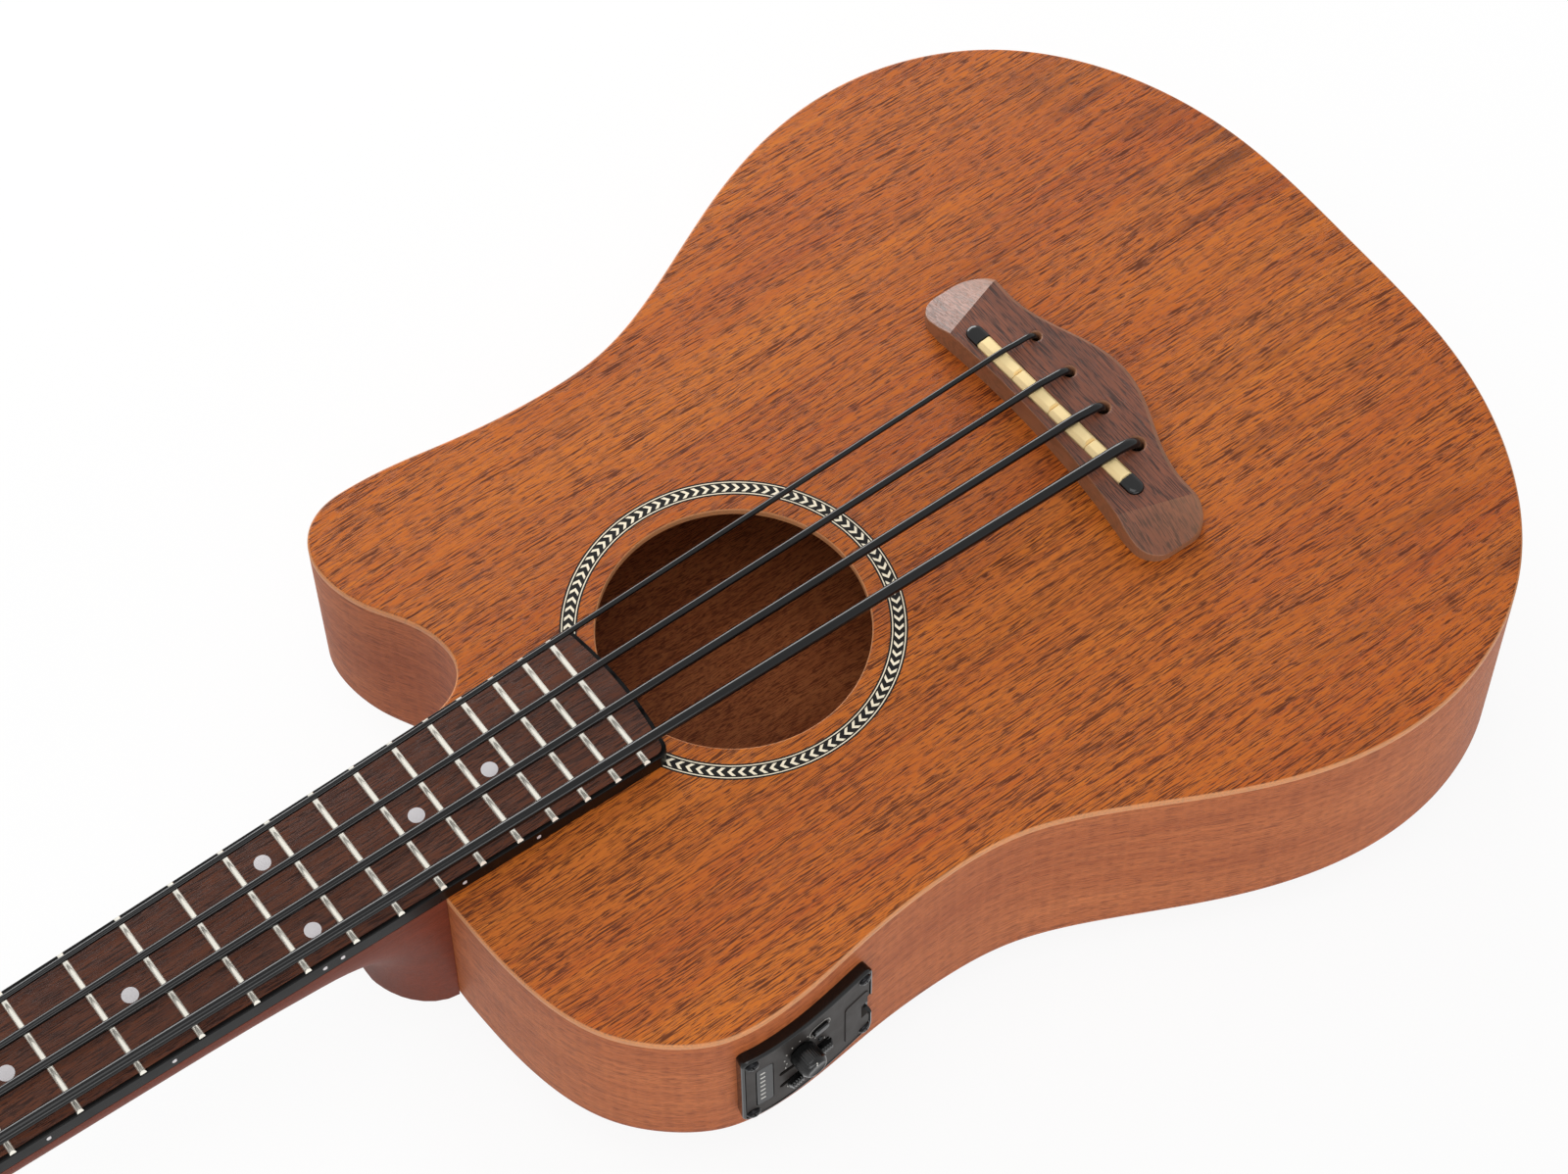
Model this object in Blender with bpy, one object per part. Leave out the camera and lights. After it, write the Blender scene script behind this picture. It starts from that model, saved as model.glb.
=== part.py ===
"""Bass ukulele with a cutaway body, a pressed arched back and a preamp in its side.

Sizes are millimetres in the instrument's own frame. The soundboard's face is z = 0, the strings
cross the saddle near y = 0, +Y runs to the headstock and +X to the treble side. One empty carries
all pieces and stands the lowest line of the back on the ground, below the middle of the whole.
"""

import math

import bmesh
import bpy
import numpy as np
from mathutils import Matrix, Vector

MM = 0.001

# General fits
GAP = 0.25
RUNNING_GAP = 0.2

# Scale and strings, from the bass side to the treble side
SCALE_LENGTH = 584.2
FRET_COUNT = 20
JOINT_FRET = 14
STRING_NAMES = ("e", "a", "d", "g")
STRING_DIAMETERS = (3.9, 3.2, 2.6, 2.0)
SADDLE_SPREAD = 54.0
NUT_SPREAD = 33.6
STRING_SIDES = 6
JOINT_Y = SCALE_LENGTH * 2 ** (-JOINT_FRET / 12)

# Body plan: half widths and distances behind the neck joint, as drawn for the sizes that follow
DRAWN_HALF_WIDTH = 158.9
DRAWN_JOINT_HALF = 29.5
DRAWN_LENGTH = 391.3
BODY_CURVE = ((0, 391.3), (60, 388.3), (104, 373.3), (139, 344.3), (156, 308.3), (158.9, 284.3),
              (154, 250.3), (140.5, 216.3), (124.5, 184.3), (114.5, 156.3), (112.6, 130.3),
              (115, 99.3), (119, 72.3), (119.8, 58.3))
BASS_SHOULDER = ((117.5, 41.3), (108.9, 26.4), (93, 12.3), (72, 4.3), (45, 0.7), (29.5, 0))
TREBLE_CUTAWAY = ((118.9, 48.3), (113.5, 38.8), (103, 33.3), (92, 33.3), (78, 37.8), (65.5, 45.3),
                  (52, 50.1), (42, 49.3), (34.5, 43.3), (30.5, 31.3), (29.5, 15.3), (29.5, 0))
LOWER_BOUT_WIDTH = 317.8
BODY_LENGTH = 391.3
LONGEST_FACET = 24.0
SHARPEST_FACET = 18.0

# Body depth and walls
NECK_DEPTH = 71.8
TAIL_DEPTH = 96.8
BACK_LENGTH_RADIUS = 2500.0
BACK_CROSS_RADIUS = 625.0
SOUNDBOARD_THICKNESS = 2.6
SIDE_THICKNESS = 2.2
BACK_THICKNESS = 2.5
LINING_HEIGHT = 11.0
LINING_WIDTH = 5.0
BACK_OUTER_SHARES = (1.0, 0.92, 0.6, 0.3)
BACK_INNER_SHARES = (1.0, 0.92, 0.5)

# Soundhole and rosette
SOUNDHOLE_BEHIND_JOINT = 129.75
SOUNDHOLE_RADIUS = 45.0
ROSETTE_INNER_RADIUS = 50.85
ROSETTE_OUTER_RADIUS = 56.55
ROSETTE_DEPTH = 1.0
RING_SEGMENTS = 48

# Blocks and braces
NECK_BLOCK_LENGTH = 43.0
TAIL_BLOCK_LENGTH = 18.0
TAIL_BLOCK_HALF = 30.0
BRACE_WIDTH = 8.0
BRACE_HEIGHT = 12.0
BRACE_END_HEIGHT = 4.0
BRACE_CREST = 2.0
UPPER_BRACE_FROM_HOLE = 16.75
MIDDLE_BRACE_FROM_HOLE = 15.25
LOWER_BRACE_FROM_PLATE = 16.07
BRIDGE_PLATE_THICKNESS = 2.5
BRIDGE_PLATE_HALF = 62.0
BRIDGE_PLATE_AHEAD = 6.0
BRIDGE_PLATE_BEHIND = 8.0
BRIDGE_PLATE_SLANT = 12.0
BLOCK_TO_LINING = 3.0

# Neck
NUT_HALF = 21.4
FINGERBOARD_SPREAD_PER_MM = 0.01754
NECK_DEPTH_AT_NUT = 15.0
NECK_DEEPENS_PER_MM = 0.0125
NECK_SECTION_POWER = 2.4
HEEL_DEPTH = 72.0
HEEL_CAP_HALF = 24.6
HEEL_CAP_REACH = 20.2
HEEL_PLAN_POWER = 1.8
HEEL_COVE_REACH = 14.8
HEEL_COVE_DEPTH = 31.0
HEEL_COVE_HEIGHT = 12.0
TENON_HALF = 11.0
TENON_LENGTH = 22.0
TENON_TOP = 4.0
TENON_BOTTOM = 55.0

# Truss rod
ROD_SIZE = 6.0
ROD_DEPTH = 6.5
ROD_NUT_RADIUS = 3.0
ROD_NUT_LENGTH = 10.0
ROD_NUT_SOCKET = 1.8
ROD_STOPS_BEFORE_NUT = 12.0

# Fingerboard, frets and nut
BOARD_BOTTOM = 0.3
BOARD_TOP = 6.6
BOARD_PAST_LAST_FRET = 11.03
BOARD_END_BULGE = 2.0
BOARD_CORNER_RADIUS = 4.5
BINDING_WIDTH = 1.5
BINDING_BELOW_FACE = 0.35
FRET_CROWN = 7.6
FRET_WIDTH = 2.2
FRET_FOOT = 0.1
NUT_LENGTH = 6.0
NUT_STRING_CLEARANCE = 0.7
NUT_ABOVE_BOARD = 3.0

# Bridge and saddle
BRIDGE_HALF = 63.5
BRIDGE_HEIGHT = 10.0
BRIDGE_TIP_HEIGHT = 3.0
BRIDGE_FRONT = 9.0
BRIDGE_FRONT_HOLLOW = 3.4
BRIDGE_REAR = -18.2
BRIDGE_BELLY = 12.5
BRIDGE_BELLY_HALF = 47.0
BRIDGE_CORNER_RADIUS = 9.0
BRIDGE_FACET_REAR = (53.0, -16.0)
BRIDGE_FACET_FRONT = (44.6, 9.3)
BRIDGE_EDGE = 1.6
STRING_HOLE_Y = -14.5
STRING_HOLE_CLEARANCE = 0.45
STRING_HOLE_FLARE = 1.6
SADDLE_SLANT = math.radians(3.2)
SADDLE_Y = -0.85
SADDLE_HOUSING_LENGTH = 86.0
SADDLE_HOUSING_WIDTH = 6.4
SADDLE_HOUSING_DOME = 1.5
SADDLE_SLOT_FLOOR = 4.0
SADDLE_SEAT = 6.5
SADDLE_ROW_LENGTH = 71.6
SADDLE_WIDTH = 5.8
SADDLE_ABOVE_BRIDGE = 1.95
SADDLE_TOP = BRIDGE_HEIGHT + SADDLE_ABOVE_BRIDGE

# Headstock, in a frame tilted back behind the nut
HEAD_TILT = math.radians(12.0)
HEAD_RISE = 1.6
OVERLAY_THICKNESS = 1.6
HEAD_THICKNESS = 14.0
HEAD_OUTLINE = ((21.4, 0), (25.0, 10), (29.3, 19), (31.0, 32), (33.0, 75), (36.0, 125), (37.5, 142))
HEAD_CROWN = ((34.0, 149.5), (22.0, 150.5), (10.0, 153.5), (0.0, 155.0))
HEAD_SLAB_START = 6.0

# Tuning machines
POST_X = 21.5
POST_Y_NEAR = 38.0
POST_Y_FAR = 92.0
POST_RADIUS = 3.9
POST_SHANK_RADIUS = 3.0
POST_TOP = 17.8
POST_SLOT_WIDTH = 3.0
POST_SLOT_DEPTH = 3.5
POST_HOLE_RADIUS = 4.35
BUSHING_RADIUS = 4.1
BUSHING_FLANGE_RADIUS = 7.0
BUSHING_FLANGE = 1.6
BUSHING_DEPTH = 9.0
PLATE_THICKNESS = 1.4
PLATE_LENGTH = 23.5
PLATE_WIDTH = 18.0
PLATE_CORNER = 3.0
HEAD_BACK = -OVERLAY_THICKNESS - GAP - HEAD_THICKNESS
PLATE_LOW = HEAD_BACK - GAP - PLATE_THICKNESS
EAR_THICKNESS = 1.4
EAR_HALF = 3.4
EAR_CLEARANCE = 0.83
KEY_SHAFT_RADIUS = 1.75
KEY_BUTTON_START = 38.0

# Worm and wheel: the thread is as wide and deep as the wheel's module says
GEAR_TEETH = 16
GEAR_MODULE = 0.8
GEAR_THICKNESS = 3.2
GEAR_BELOW_PLATE = 3.65
GEAR_Z = PLATE_LOW - GEAR_BELOW_PLATE
GEAR_PITCH_RADIUS = GEAR_TEETH * GEAR_MODULE / 2
GEAR_TIP_RADIUS = GEAR_PITCH_RADIUS + 0.75 * GEAR_MODULE
GEAR_ROOT_RADIUS = GEAR_PITCH_RADIUS - 1.25 * GEAR_MODULE
GEAR_TIP_HALF = 0.4375 * GEAR_MODULE
GEAR_ROOT_HALF = 1.0625 * GEAR_MODULE
WORM_PITCH = math.pi * GEAR_MODULE
WORM_PITCH_RADIUS = 2.6
WORM_TIP_RADIUS = WORM_PITCH_RADIUS + 0.875 * GEAR_MODULE
WORM_ROOT_RADIUS = WORM_PITCH_RADIUS - 1.0625 * GEAR_MODULE
WORM_TIP_HALF = 0.375 * GEAR_MODULE
WORM_ROOT_HALF = 0.875 * GEAR_MODULE
WORM_TURNS = 3
WORM_STEPS = 10
WORM_HALF = WORM_TURNS * WORM_PITCH / 2
MESH_CLEARANCE = 0.15
GEAR_DISTANCE = GEAR_PITCH_RADIUS + WORM_PITCH_RADIUS + MESH_CLEARANCE
EAR_OFFSET = WORM_HALF + EAR_CLEARANCE + EAR_THICKNESS / 2

# String windings
WRAP_TURNS = 2
WRAP_STEPS = 10
WRAP_ABOVE_FLANGE = 2.35
WRAP_SPACE = 0.55
WRAP_CLEARANCE = 0.3

# Preamp, set by distances behind the neck joint and depths under the soundboard's face
PANEL_START = 44.75
PANEL_END = 96.25
PANEL_TOP = 13.4
PANEL_BOTTOM = 55.4
PANEL_THICKNESS = 4.3
PANEL_CHAMFER = 1.0
PANEL_CORNER = 2.6
BOX_TOP = 17.1
BOX_BOTTOM = 51.7
BOX_DEPTH = 26.0
BOX_HEAD_HALF = 23.2
BOX_TAIL_HALF = 24.2
KNOB_PLACE = (65.25, 27.0)
KNOB_RADIUS = 4.8
KNOB_HEIGHT = 8.5
KNOB_STEM_RADIUS = 3.0
BASS_SLOT_PLACE = (67.25, 35.0)
TREBLE_SLOT_PLACE = (67.25, 42.25)
TREBLE_SLOT_TURN = math.radians(9.9)
SLOT_HALF = 10.0
SLOT_WIDTH = 2.4
SLIDER_STEM_HALF = 1.5
SLIDER_TAB = 3.0
SLIDER_TAB_HALF_WIDTH = 1.6
BASS_SLIDER_REST = 7.0
TREBLE_SLIDER_REST = -5.0
BUTTON_PLACE = (73.25, 22.7)
BUTTON_LENGTH = 6.5
BUTTON_WIDTH = 3.2
BUTTON_RISE = 1.0
DISPLAY_PLACE = (52.25, 35.25)
DISPLAY_LENGTH = 6.0
DISPLAY_HEIGHT = 25.5
DISPLAY_RECESS = 1.6
WINDOW_THICKNESS = 1.1
TRAY_PLACE = (89.0, 38.0)
TRAY_FRONT_HALF = 5.05
TRAY_FRONT_HEIGHT = 23.8
TRAY_BODY_HALF = 3.9
TRAY_BODY_HEIGHT = 22.8
TRAY_DEPTH = 22.4
TRAY_BACK_GAP = 0.4
NOTCH_HALF = 4.0
NOTCH_DEPTH = 2.2
CELL_RADIUS = 10.0
CELL_THICKNESS = 3.2
CELL_SEGMENTS = 20

# End-pin jack
JACK_DEPTH = 48.0
JACK_BARREL_RADIUS = 5.75
JACK_HOLE_RADIUS = 6.2
JACK_BORE_RADIUS = 3.25
JACK_OUTSIDE = 10.0
JACK_INSIDE = 32.0
LEAD_DIAMETER = 2.4
LEAD_X = -38.0

# Colours, roughness and metallic value of each finish
FINISHES = {
    "mahogany_top": ("#B8622F", 0.45, 0.0),
    "mahogany_side": ("#A5644A", 0.45, 0.0),
    "mahogany_neck": ("#8C4A30", 0.5, 0.0),
    "bare_wood": ("#B98A5E", 0.7, 0.0),
    "rosewood": ("#4A2A22", 0.5, 0.0),
    "walnut": ("#6E4A3C", 0.45, 0.0),
    "black_plastic": ("#1A1A1A", 0.35, 0.0),
    "charcoal_plastic": ("#3A3835", 0.5, 0.0),
    "string_black": ("#151515", 0.2, 0.0),
    "cream_bone": ("#E6C684", 0.4, 0.0),
    "rosette_inlay": ("#F0E2C0", 0.5, 0.0),
    "black_metal": ("#202022", 0.35, 0.9),
    "steel": ("#B4B4B0", 0.3, 1.0),
    "dark_glass": ("#101214", 0.1, 0.0),
}


def linear(channel):
    """One sRGB channel, 0 to 1, as linear light."""
    return channel / 12.92 if channel <= 0.04045 else ((channel + 0.055) / 1.055) ** 2.4


def finish(node_name, finish_name):
    """A Principled material of its own for one piece."""
    colour, roughness, metallic = FINISHES[finish_name]
    shades = [linear(int(colour[i:i + 2], 16) / 255) for i in (1, 3, 5)]
    material = bpy.data.materials.new(f"{node_name}_{finish_name}")
    material.use_nodes = True
    surface = material.node_tree.nodes["Principled BSDF"]
    surface.inputs["Base Color"].default_value = (*shades, 1)
    surface.inputs["Roughness"].default_value = roughness
    surface.inputs["Metallic"].default_value = metallic
    return material


def loft(rings, screwed=False):
    """A closed body through rings of equal length; a ring of one point is a pole.

    Screwed bodies are split into triangles whose diagonal climbs with the thread.
    """
    points, faces, starts = [], [], []
    for ring in rings:
        starts.append(len(points))
        points.extend(tuple(point) for point in ring)
    for here, there, ring, following in zip(starts, starts[1:], rings, rings[1:]):
        count = max(len(ring), len(following))
        for i in range(count):
            j = (i + 1) % count
            if len(ring) == 1:
                faces.append((here, there + j, there + i))
            elif len(following) == 1:
                faces.append((here + i, here + j, there))
            elif screwed:
                faces.append((here + i, here + j, there + j))
                faces.append((here + i, there + j, there + i))
            else:
                faces.append((here + i, here + j, there + j, there + i))
    if len(rings[0]) > 1:
        faces.append(tuple(reversed(range(starts[0], starts[0] + len(rings[0])))))
    if len(rings[-1]) > 1:
        faces.append(tuple(range(starts[-1], starts[-1] + len(rings[-1]))))
    return points, faces


def ring_body(rings):
    """A closed body through rings of equal length, whose last ring meets the first."""
    points = [tuple(point) for ring in rings for point in ring]
    size = len(rings[0])
    faces = []
    for i in range(len(rings)):
        here, there = i * size, (i + 1) % len(rings) * size
        for j in range(size):
            k = (j + 1) % size
            faces.append((here + j, here + k, there + k, there + j))
    return points, faces


def prism(outline, low, high):
    """An upright prism; each height is a number or a rule of x and y."""
    def at(height, x, y):
        return height(x, y) if callable(height) else height
    return loft([[(x, y, at(low, x, y)) for x, y in outline],
                 [(x, y, at(high, x, y)) for x, y in outline]])


def box(low, high):
    """A block between two corners."""
    (x0, y0, z0), (x1, y1, z1) = low, high
    return prism([(x0, y0), (x1, y0), (x1, y1), (x0, y1)], z0, z1)


def circle(radius, count, centre=(0, 0)):
    """Corners of a regular polygon that stands for a circle."""
    angles = [2 * math.pi * i / count for i in range(count)]
    return [(centre[0] + radius * math.cos(a), centre[1] + radius * math.sin(a)) for a in angles]


def turned(profile, count):
    """A body turned about Z from radius and height pairs; a zero radius is a pole."""
    rings = []
    for radius, height in profile:
        corners = circle(radius, count) if radius > 0 else [(0, 0)]
        rings.append([(x, y, height) for x, y in corners])
    return loft(rings)


def turned_ring(profile, count):
    """A ring turned about Z from a closed profile that stays off the axis."""
    angles = [2 * math.pi * i / count for i in range(count)]
    return ring_body([[(r * math.cos(a), r * math.sin(a), z) for r, z in profile] for a in angles])


def capsule(length, width, arc_steps=5):
    """Outline of a slot with half-round ends, along X."""
    radius = width / 2
    reach = length / 2 - radius
    angles = [math.pi * i / arc_steps - math.pi / 2 for i in range(arc_steps + 1)]
    right = [(reach + radius * math.cos(a), radius * math.sin(a)) for a in angles]
    return right + [(-x, -y) for x, y in right]


def rounded_box(length, width, corner, steps=3):
    """Outline of a rectangle with round corners, centred."""
    outline = []
    for quarter, (sx, sy) in enumerate(((1, 1), (-1, 1), (-1, -1), (1, -1))):
        cx, cy = sx * (length / 2 - corner), sy * (width / 2 - corner)
        for i in range(steps + 1):
            angle = math.pi / 2 * (quarter + i / steps)
            outline.append((cx + corner * math.cos(angle), cy + corner * math.sin(angle)))
    return outline


def moved(shape, matrix):
    """A shape's points taken through a matrix."""
    points, faces = shape
    return [tuple(matrix @ Vector(point)) for point in points], faces


def shifted(shape, offset):
    """A shape moved without turning."""
    return moved(shape, Matrix.Translation(offset))


def merged(shapes):
    """Several apart bodies as one mesh, for one cut or join."""
    points, faces = [], []
    for more_points, more_faces in shapes:
        start = len(points)
        points.extend(more_points)
        faces.extend(tuple(start + i for i in face) for face in more_faces)
    return points, faces


def new_object(name, shape, parent, pivot=None):
    """A mesh object whose origin is the pivot, a point or a placing matrix in the parent's frame."""
    place = pivot if isinstance(pivot, Matrix) else Matrix.Translation(pivot or (0, 0, 0))
    points, faces = shape
    back = place.inverted()
    mesh = bpy.data.meshes.new(name)
    mesh.from_pydata([(back @ Vector(point)) * MM for point in points], [], faces)
    work = bmesh.new()
    work.from_mesh(mesh)
    bmesh.ops.recalc_face_normals(work, faces=work.faces)
    work.to_mesh(mesh)
    work.free()
    mesh.shade_smooth()
    mesh.set_sharp_from_angle(angle=math.radians(35))
    obj = bpy.data.objects.new(name, mesh)
    obj.parent = parent
    obj.location = place.to_translation() * MM
    obj.rotation_euler = place.to_euler()
    bpy.context.scene.collection.objects.link(obj)
    return obj


def add_piece(name, shape, finish_name, parent, pivot=None):
    """One named piece with a material of its own."""
    obj = new_object(name, shape, parent, pivot)
    obj.data.materials.append(finish(name, finish_name))
    return obj


def reshape(obj, shape, operation, parent=None):
    """Cuts or joins a hidden helper shape, given in the frame of the piece's parent."""
    helper = new_object(f"{obj.name}_{operation.lower()}_{len(obj.modifiers)}", shape,
                        parent or obj.parent)
    helper.hide_render = True
    helper.display_type = "WIRE"
    modifier = obj.modifiers.new(helper.name, "BOOLEAN")
    modifier.operation = operation
    modifier.solver = "EXACT"
    modifier.object = helper


def cut(obj, *shapes, parent=None):
    """Takes shapes that are apart from each other out of a piece."""
    reshape(obj, merged(shapes), "DIFFERENCE", parent)


def join(obj, *shapes, parent=None):
    """Fuses shapes that are apart from each other to a piece."""
    reshape(obj, merged(shapes), "UNION", parent)


def spline(points, steps=12):
    """Fine points of the natural cubic spline through the given ones, set out by chord length."""
    p = np.array(points, float)
    run = np.linalg.norm(np.diff(p, axis=0), axis=1)
    count = len(p)
    system = np.zeros((count, count))
    right = np.zeros_like(p)
    system[0, 0] = system[-1, -1] = 1
    for i in range(1, count - 1):
        system[i, i - 1:i + 2] = run[i - 1], 2 * (run[i - 1] + run[i]), run[i]
        right[i] = 6 * ((p[i + 1] - p[i]) / run[i] - (p[i] - p[i - 1]) / run[i - 1])
    bend = np.linalg.solve(system, right)
    fine = []
    for i, h in enumerate(run):
        for u in np.linspace(0, 1, steps, endpoint=False):
            v = 1 - u
            fine.append(v * p[i] + u * p[i + 1]
                        + h * h / 6 * ((v ** 3 - v) * bend[i] + (u ** 3 - u) * bend[i + 1]))
    fine.append(p[-1])
    return np.array(fine)


def spaced(fine, longest=LONGEST_FACET, sharpest=SHARPEST_FACET):
    """Points of a fine curve, closer together where it bends."""
    steps = np.diff(fine, axis=0)
    length = np.linalg.norm(steps, axis=1)
    heading = np.unwrap(np.arctan2(steps[:, 1], steps[:, 0]))
    turn = np.abs(np.diff(heading, prepend=heading[0]))
    cost = np.concatenate([[0], np.cumsum(length / longest + turn / math.radians(sharpest))])
    wanted = np.linspace(0, cost[-1], math.ceil(cost[-1]) + 1)
    return np.column_stack([np.interp(wanted, cost, fine[:, k]) for k in (0, 1)])


def offset_path(path, inward):
    """An open plan path moved to its left, with mitred corners."""
    path = np.asarray(path, float)
    steps = np.diff(path, axis=0)
    steps /= np.linalg.norm(steps, axis=1)[:, None]
    left = np.column_stack([-steps[:, 1], steps[:, 0]])
    before = np.vstack([left[:1], left])
    after = np.vstack([left, left[-1:]])
    mitre = (before + after) / (1 + (before * after).sum(axis=1))[:, None]
    return path + inward * mitre


def along_wall(path, section):
    """A strip bent along a path; each section corner is an inward offset and a height or rule."""
    edges = [offset_path(path, inward) for inward, _ in section]
    rings = []
    for i in range(len(path)):
        ring = []
        for edge, (_, height) in zip(edges, section):
            x, y = edge[i]
            ring.append((x, y, height(x, y) if callable(height) else height))
        rings.append(ring)
    return loft(rings)


def tube(path, radii, sides=STRING_SIDES):
    """A round cord along points, its sections carried on without twist."""
    path = [Vector(point) for point in path]
    if not isinstance(radii, (list, tuple)):
        radii = [radii] * len(path)
    ways = [(path[min(i + 1, len(path) - 1)] - path[max(i - 1, 0)]).normalized()
            for i in range(len(path))]
    across = ways[0].orthogonal().normalized()
    rings = []
    for point, way, radius in zip(path, ways, radii):
        across = (across - way * across.dot(way)).normalized()
        up = way.cross(across)
        angles = [2 * math.pi * k / sides for k in range(sides)]
        rings.append([point + radius * (math.cos(a) * across + math.sin(a) * up) for a in angles])
    return loft(rings)


def plan_point(half_width, behind, side):
    """A drawn body point, stretched to the body's size and kept at the neck joint."""
    stretch = (LOWER_BOUT_WIDTH / 2 - DRAWN_JOINT_HALF) / (DRAWN_HALF_WIDTH - DRAWN_JOINT_HALF)
    beyond = max(0, half_width - DRAWN_JOINT_HALF)
    across = min(half_width, DRAWN_JOINT_HALF) + beyond * stretch
    return side * across, JOINT_Y - behind * BODY_LENGTH / DRAWN_LENGTH


def body_paths():
    """The bass half of the outline from neck to tail and the treble half from tail to neck, fine."""
    shared = len(BODY_CURVE) + len(BASS_SHOULDER)
    bass = [plan_point(w, d, -1) for w, d in reversed(BODY_CURVE[1:] + BASS_SHOULDER)]
    treble = [plan_point(w, d, 1) for w, d in BODY_CURVE + TREBLE_CUTAWAY]
    steps = 12
    whole = spline(bass + treble, steps)
    tail = (shared - 1) * steps
    return whole[:tail + 1], whole[tail:]


BASS_FINE, TREBLE_FINE = body_paths()
BASS_PATH = spaced(BASS_FINE)
TREBLE_PATH = spaced(TREBLE_FINE)
JOINT_FACE = [(share * DRAWN_JOINT_HALF, JOINT_Y) for share in (0.5, 0.0, -0.5)]
BODY_OUTLINE = np.vstack([BASS_PATH, TREBLE_PATH[1:], JOINT_FACE])
TAIL_Y = JOINT_Y - BODY_LENGTH
HOLE_Y = JOINT_Y - SOUNDHOLE_BEHIND_JOINT
PIVOT_Y = SCALE_LENGTH + NUT_LENGTH + GAP


def back_depth(x, y):
    """Depth of the back's outer face under the soundboard's face."""
    behind = JOINT_Y - y
    slope = (TAIL_DEPTH - NECK_DEPTH) * behind / BODY_LENGTH
    arch = behind * (BODY_LENGTH - behind) / (2 * BACK_LENGTH_RADIUS)
    return NECK_DEPTH + slope + arch - x * x / (2 * BACK_CROSS_RADIUS)


def above_back(x, y):
    """Height just over the back's inner face."""
    return BACK_THICKNESS + GAP - back_depth(x, y)


def block_foot(x, y):
    """Height of a block's foot, with room for the facets of the arched back."""
    return above_back(x, y) + GAP


def under_top():
    """Height just under the soundboard."""
    return -SOUNDBOARD_THICKNESS - GAP


def board_half(y):
    """Half width of the fingerboard and of the neck's top."""
    return NUT_HALF + (SCALE_LENGTH - y) * FINGERBOARD_SPREAD_PER_MM


def wall_frame(behind, depth, turn=0.0):
    """Frame on the bass side's outer face: X to the tail, Y up and Z outward."""
    y = JOINT_Y - behind
    heights = BASS_FINE[::-1, 1]
    x, ahead, after = (np.interp(v, heights, BASS_FINE[::-1, 0]) for v in (y, y + 1, y - 1))
    along = Vector((after - ahead, -2, 0)).normalized()
    up = Vector((0, 0, 1))
    out = along.cross(up)
    frame = Matrix((along, up, out)).transposed().to_4x4()
    return Matrix.Translation((x, y, -depth)) @ frame @ Matrix.Rotation(turn, 4, "Z")


def head_frame():
    """Frame of the headstock: its face is Z = 0 and it starts behind the nut."""
    return Matrix.Translation((0, PIVOT_Y, HEAD_RISE)) @ Matrix.Rotation(-HEAD_TILT, 4, "X")


def clear_scene():
    """Empties the scene."""
    for obj in list(bpy.data.objects):
        bpy.data.objects.remove(obj, do_unlink=True)


def add_empty(name, parent=None, matrix=None):
    """An empty that carries pieces."""
    empty = bpy.data.objects.new(name, None)
    empty.parent = parent
    matrix = matrix or Matrix.Identity(4)
    empty.location = matrix.to_translation() * MM
    empty.rotation_euler = matrix.to_euler()
    bpy.context.scene.collection.objects.link(empty)
    return empty


def string_x(index, spread):
    """Place of a string across the neck, from the bass side."""
    return spread * (index / (len(STRING_NAMES) - 1) - 0.5)


def saddle_y(x):
    """The slanted saddle's middle line."""
    return SADDLE_Y + x * math.tan(SADDLE_SLANT)


def make_soundboard(root):
    """Flat top with the soundhole, the rosette's groove and the string holes."""
    piece = add_piece("soundboard", prism(BODY_OUTLINE, -SOUNDBOARD_THICKNESS, 0),
                      "mahogany_top", root)
    hole = prism(circle(SOUNDHOLE_RADIUS, RING_SEGMENTS), -SOUNDBOARD_THICKNESS - 5, 5)
    groove = turned_ring(((ROSETTE_INNER_RADIUS - GAP, -ROSETTE_DEPTH - GAP),
                          (ROSETTE_OUTER_RADIUS + GAP, -ROSETTE_DEPTH - GAP),
                          (ROSETTE_OUTER_RADIUS + GAP, 5), (ROSETTE_INNER_RADIUS - GAP, 5)),
                         RING_SEGMENTS)
    cut(piece, shifted(hole, (0, HOLE_Y, 0)), shifted(groove, (0, HOLE_Y, 0)),
        *string_holes(-SOUNDBOARD_THICKNESS - 5, 5), lead_hole(-SOUNDBOARD_THICKNESS - 5, 5))


def string_holes(low, high):
    """The four string holes as cutters."""
    holes = []
    for index, diameter in enumerate(STRING_DIAMETERS):
        radius = diameter / 2 + STRING_HOLE_CLEARANCE
        centre = (string_x(index, SADDLE_SPREAD), STRING_HOLE_Y)
        holes.append(prism(circle(radius, 12, centre), low, high))
    return holes


def lead_hole(low, high):
    """Hole under the saddle's bass end for the pickup lead."""
    return prism(circle(LEAD_DIAMETER / 2 + GAP, 10, (LEAD_X, saddle_y(LEAD_X))), low, high)


def make_rosette(root):
    """Ring inlaid round the soundhole."""
    ring = turned_ring(((ROSETTE_INNER_RADIUS, -ROSETTE_DEPTH), (ROSETTE_OUTER_RADIUS, -ROSETTE_DEPTH),
                        (ROSETTE_OUTER_RADIUS, 0), (ROSETTE_INNER_RADIUS, 0)), RING_SEGMENTS)
    add_piece("rosette", shifted(ring, (0, HOLE_Y, 0)), "rosette_inlay", root)


def jack_barrel(radius, start, end):
    """A cylinder on the end-pin jack's line, from outside the tail to inside."""
    return moved(turned(((0, start), (radius, start), (radius, end), (0, end)), 16), jack_line())


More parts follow.
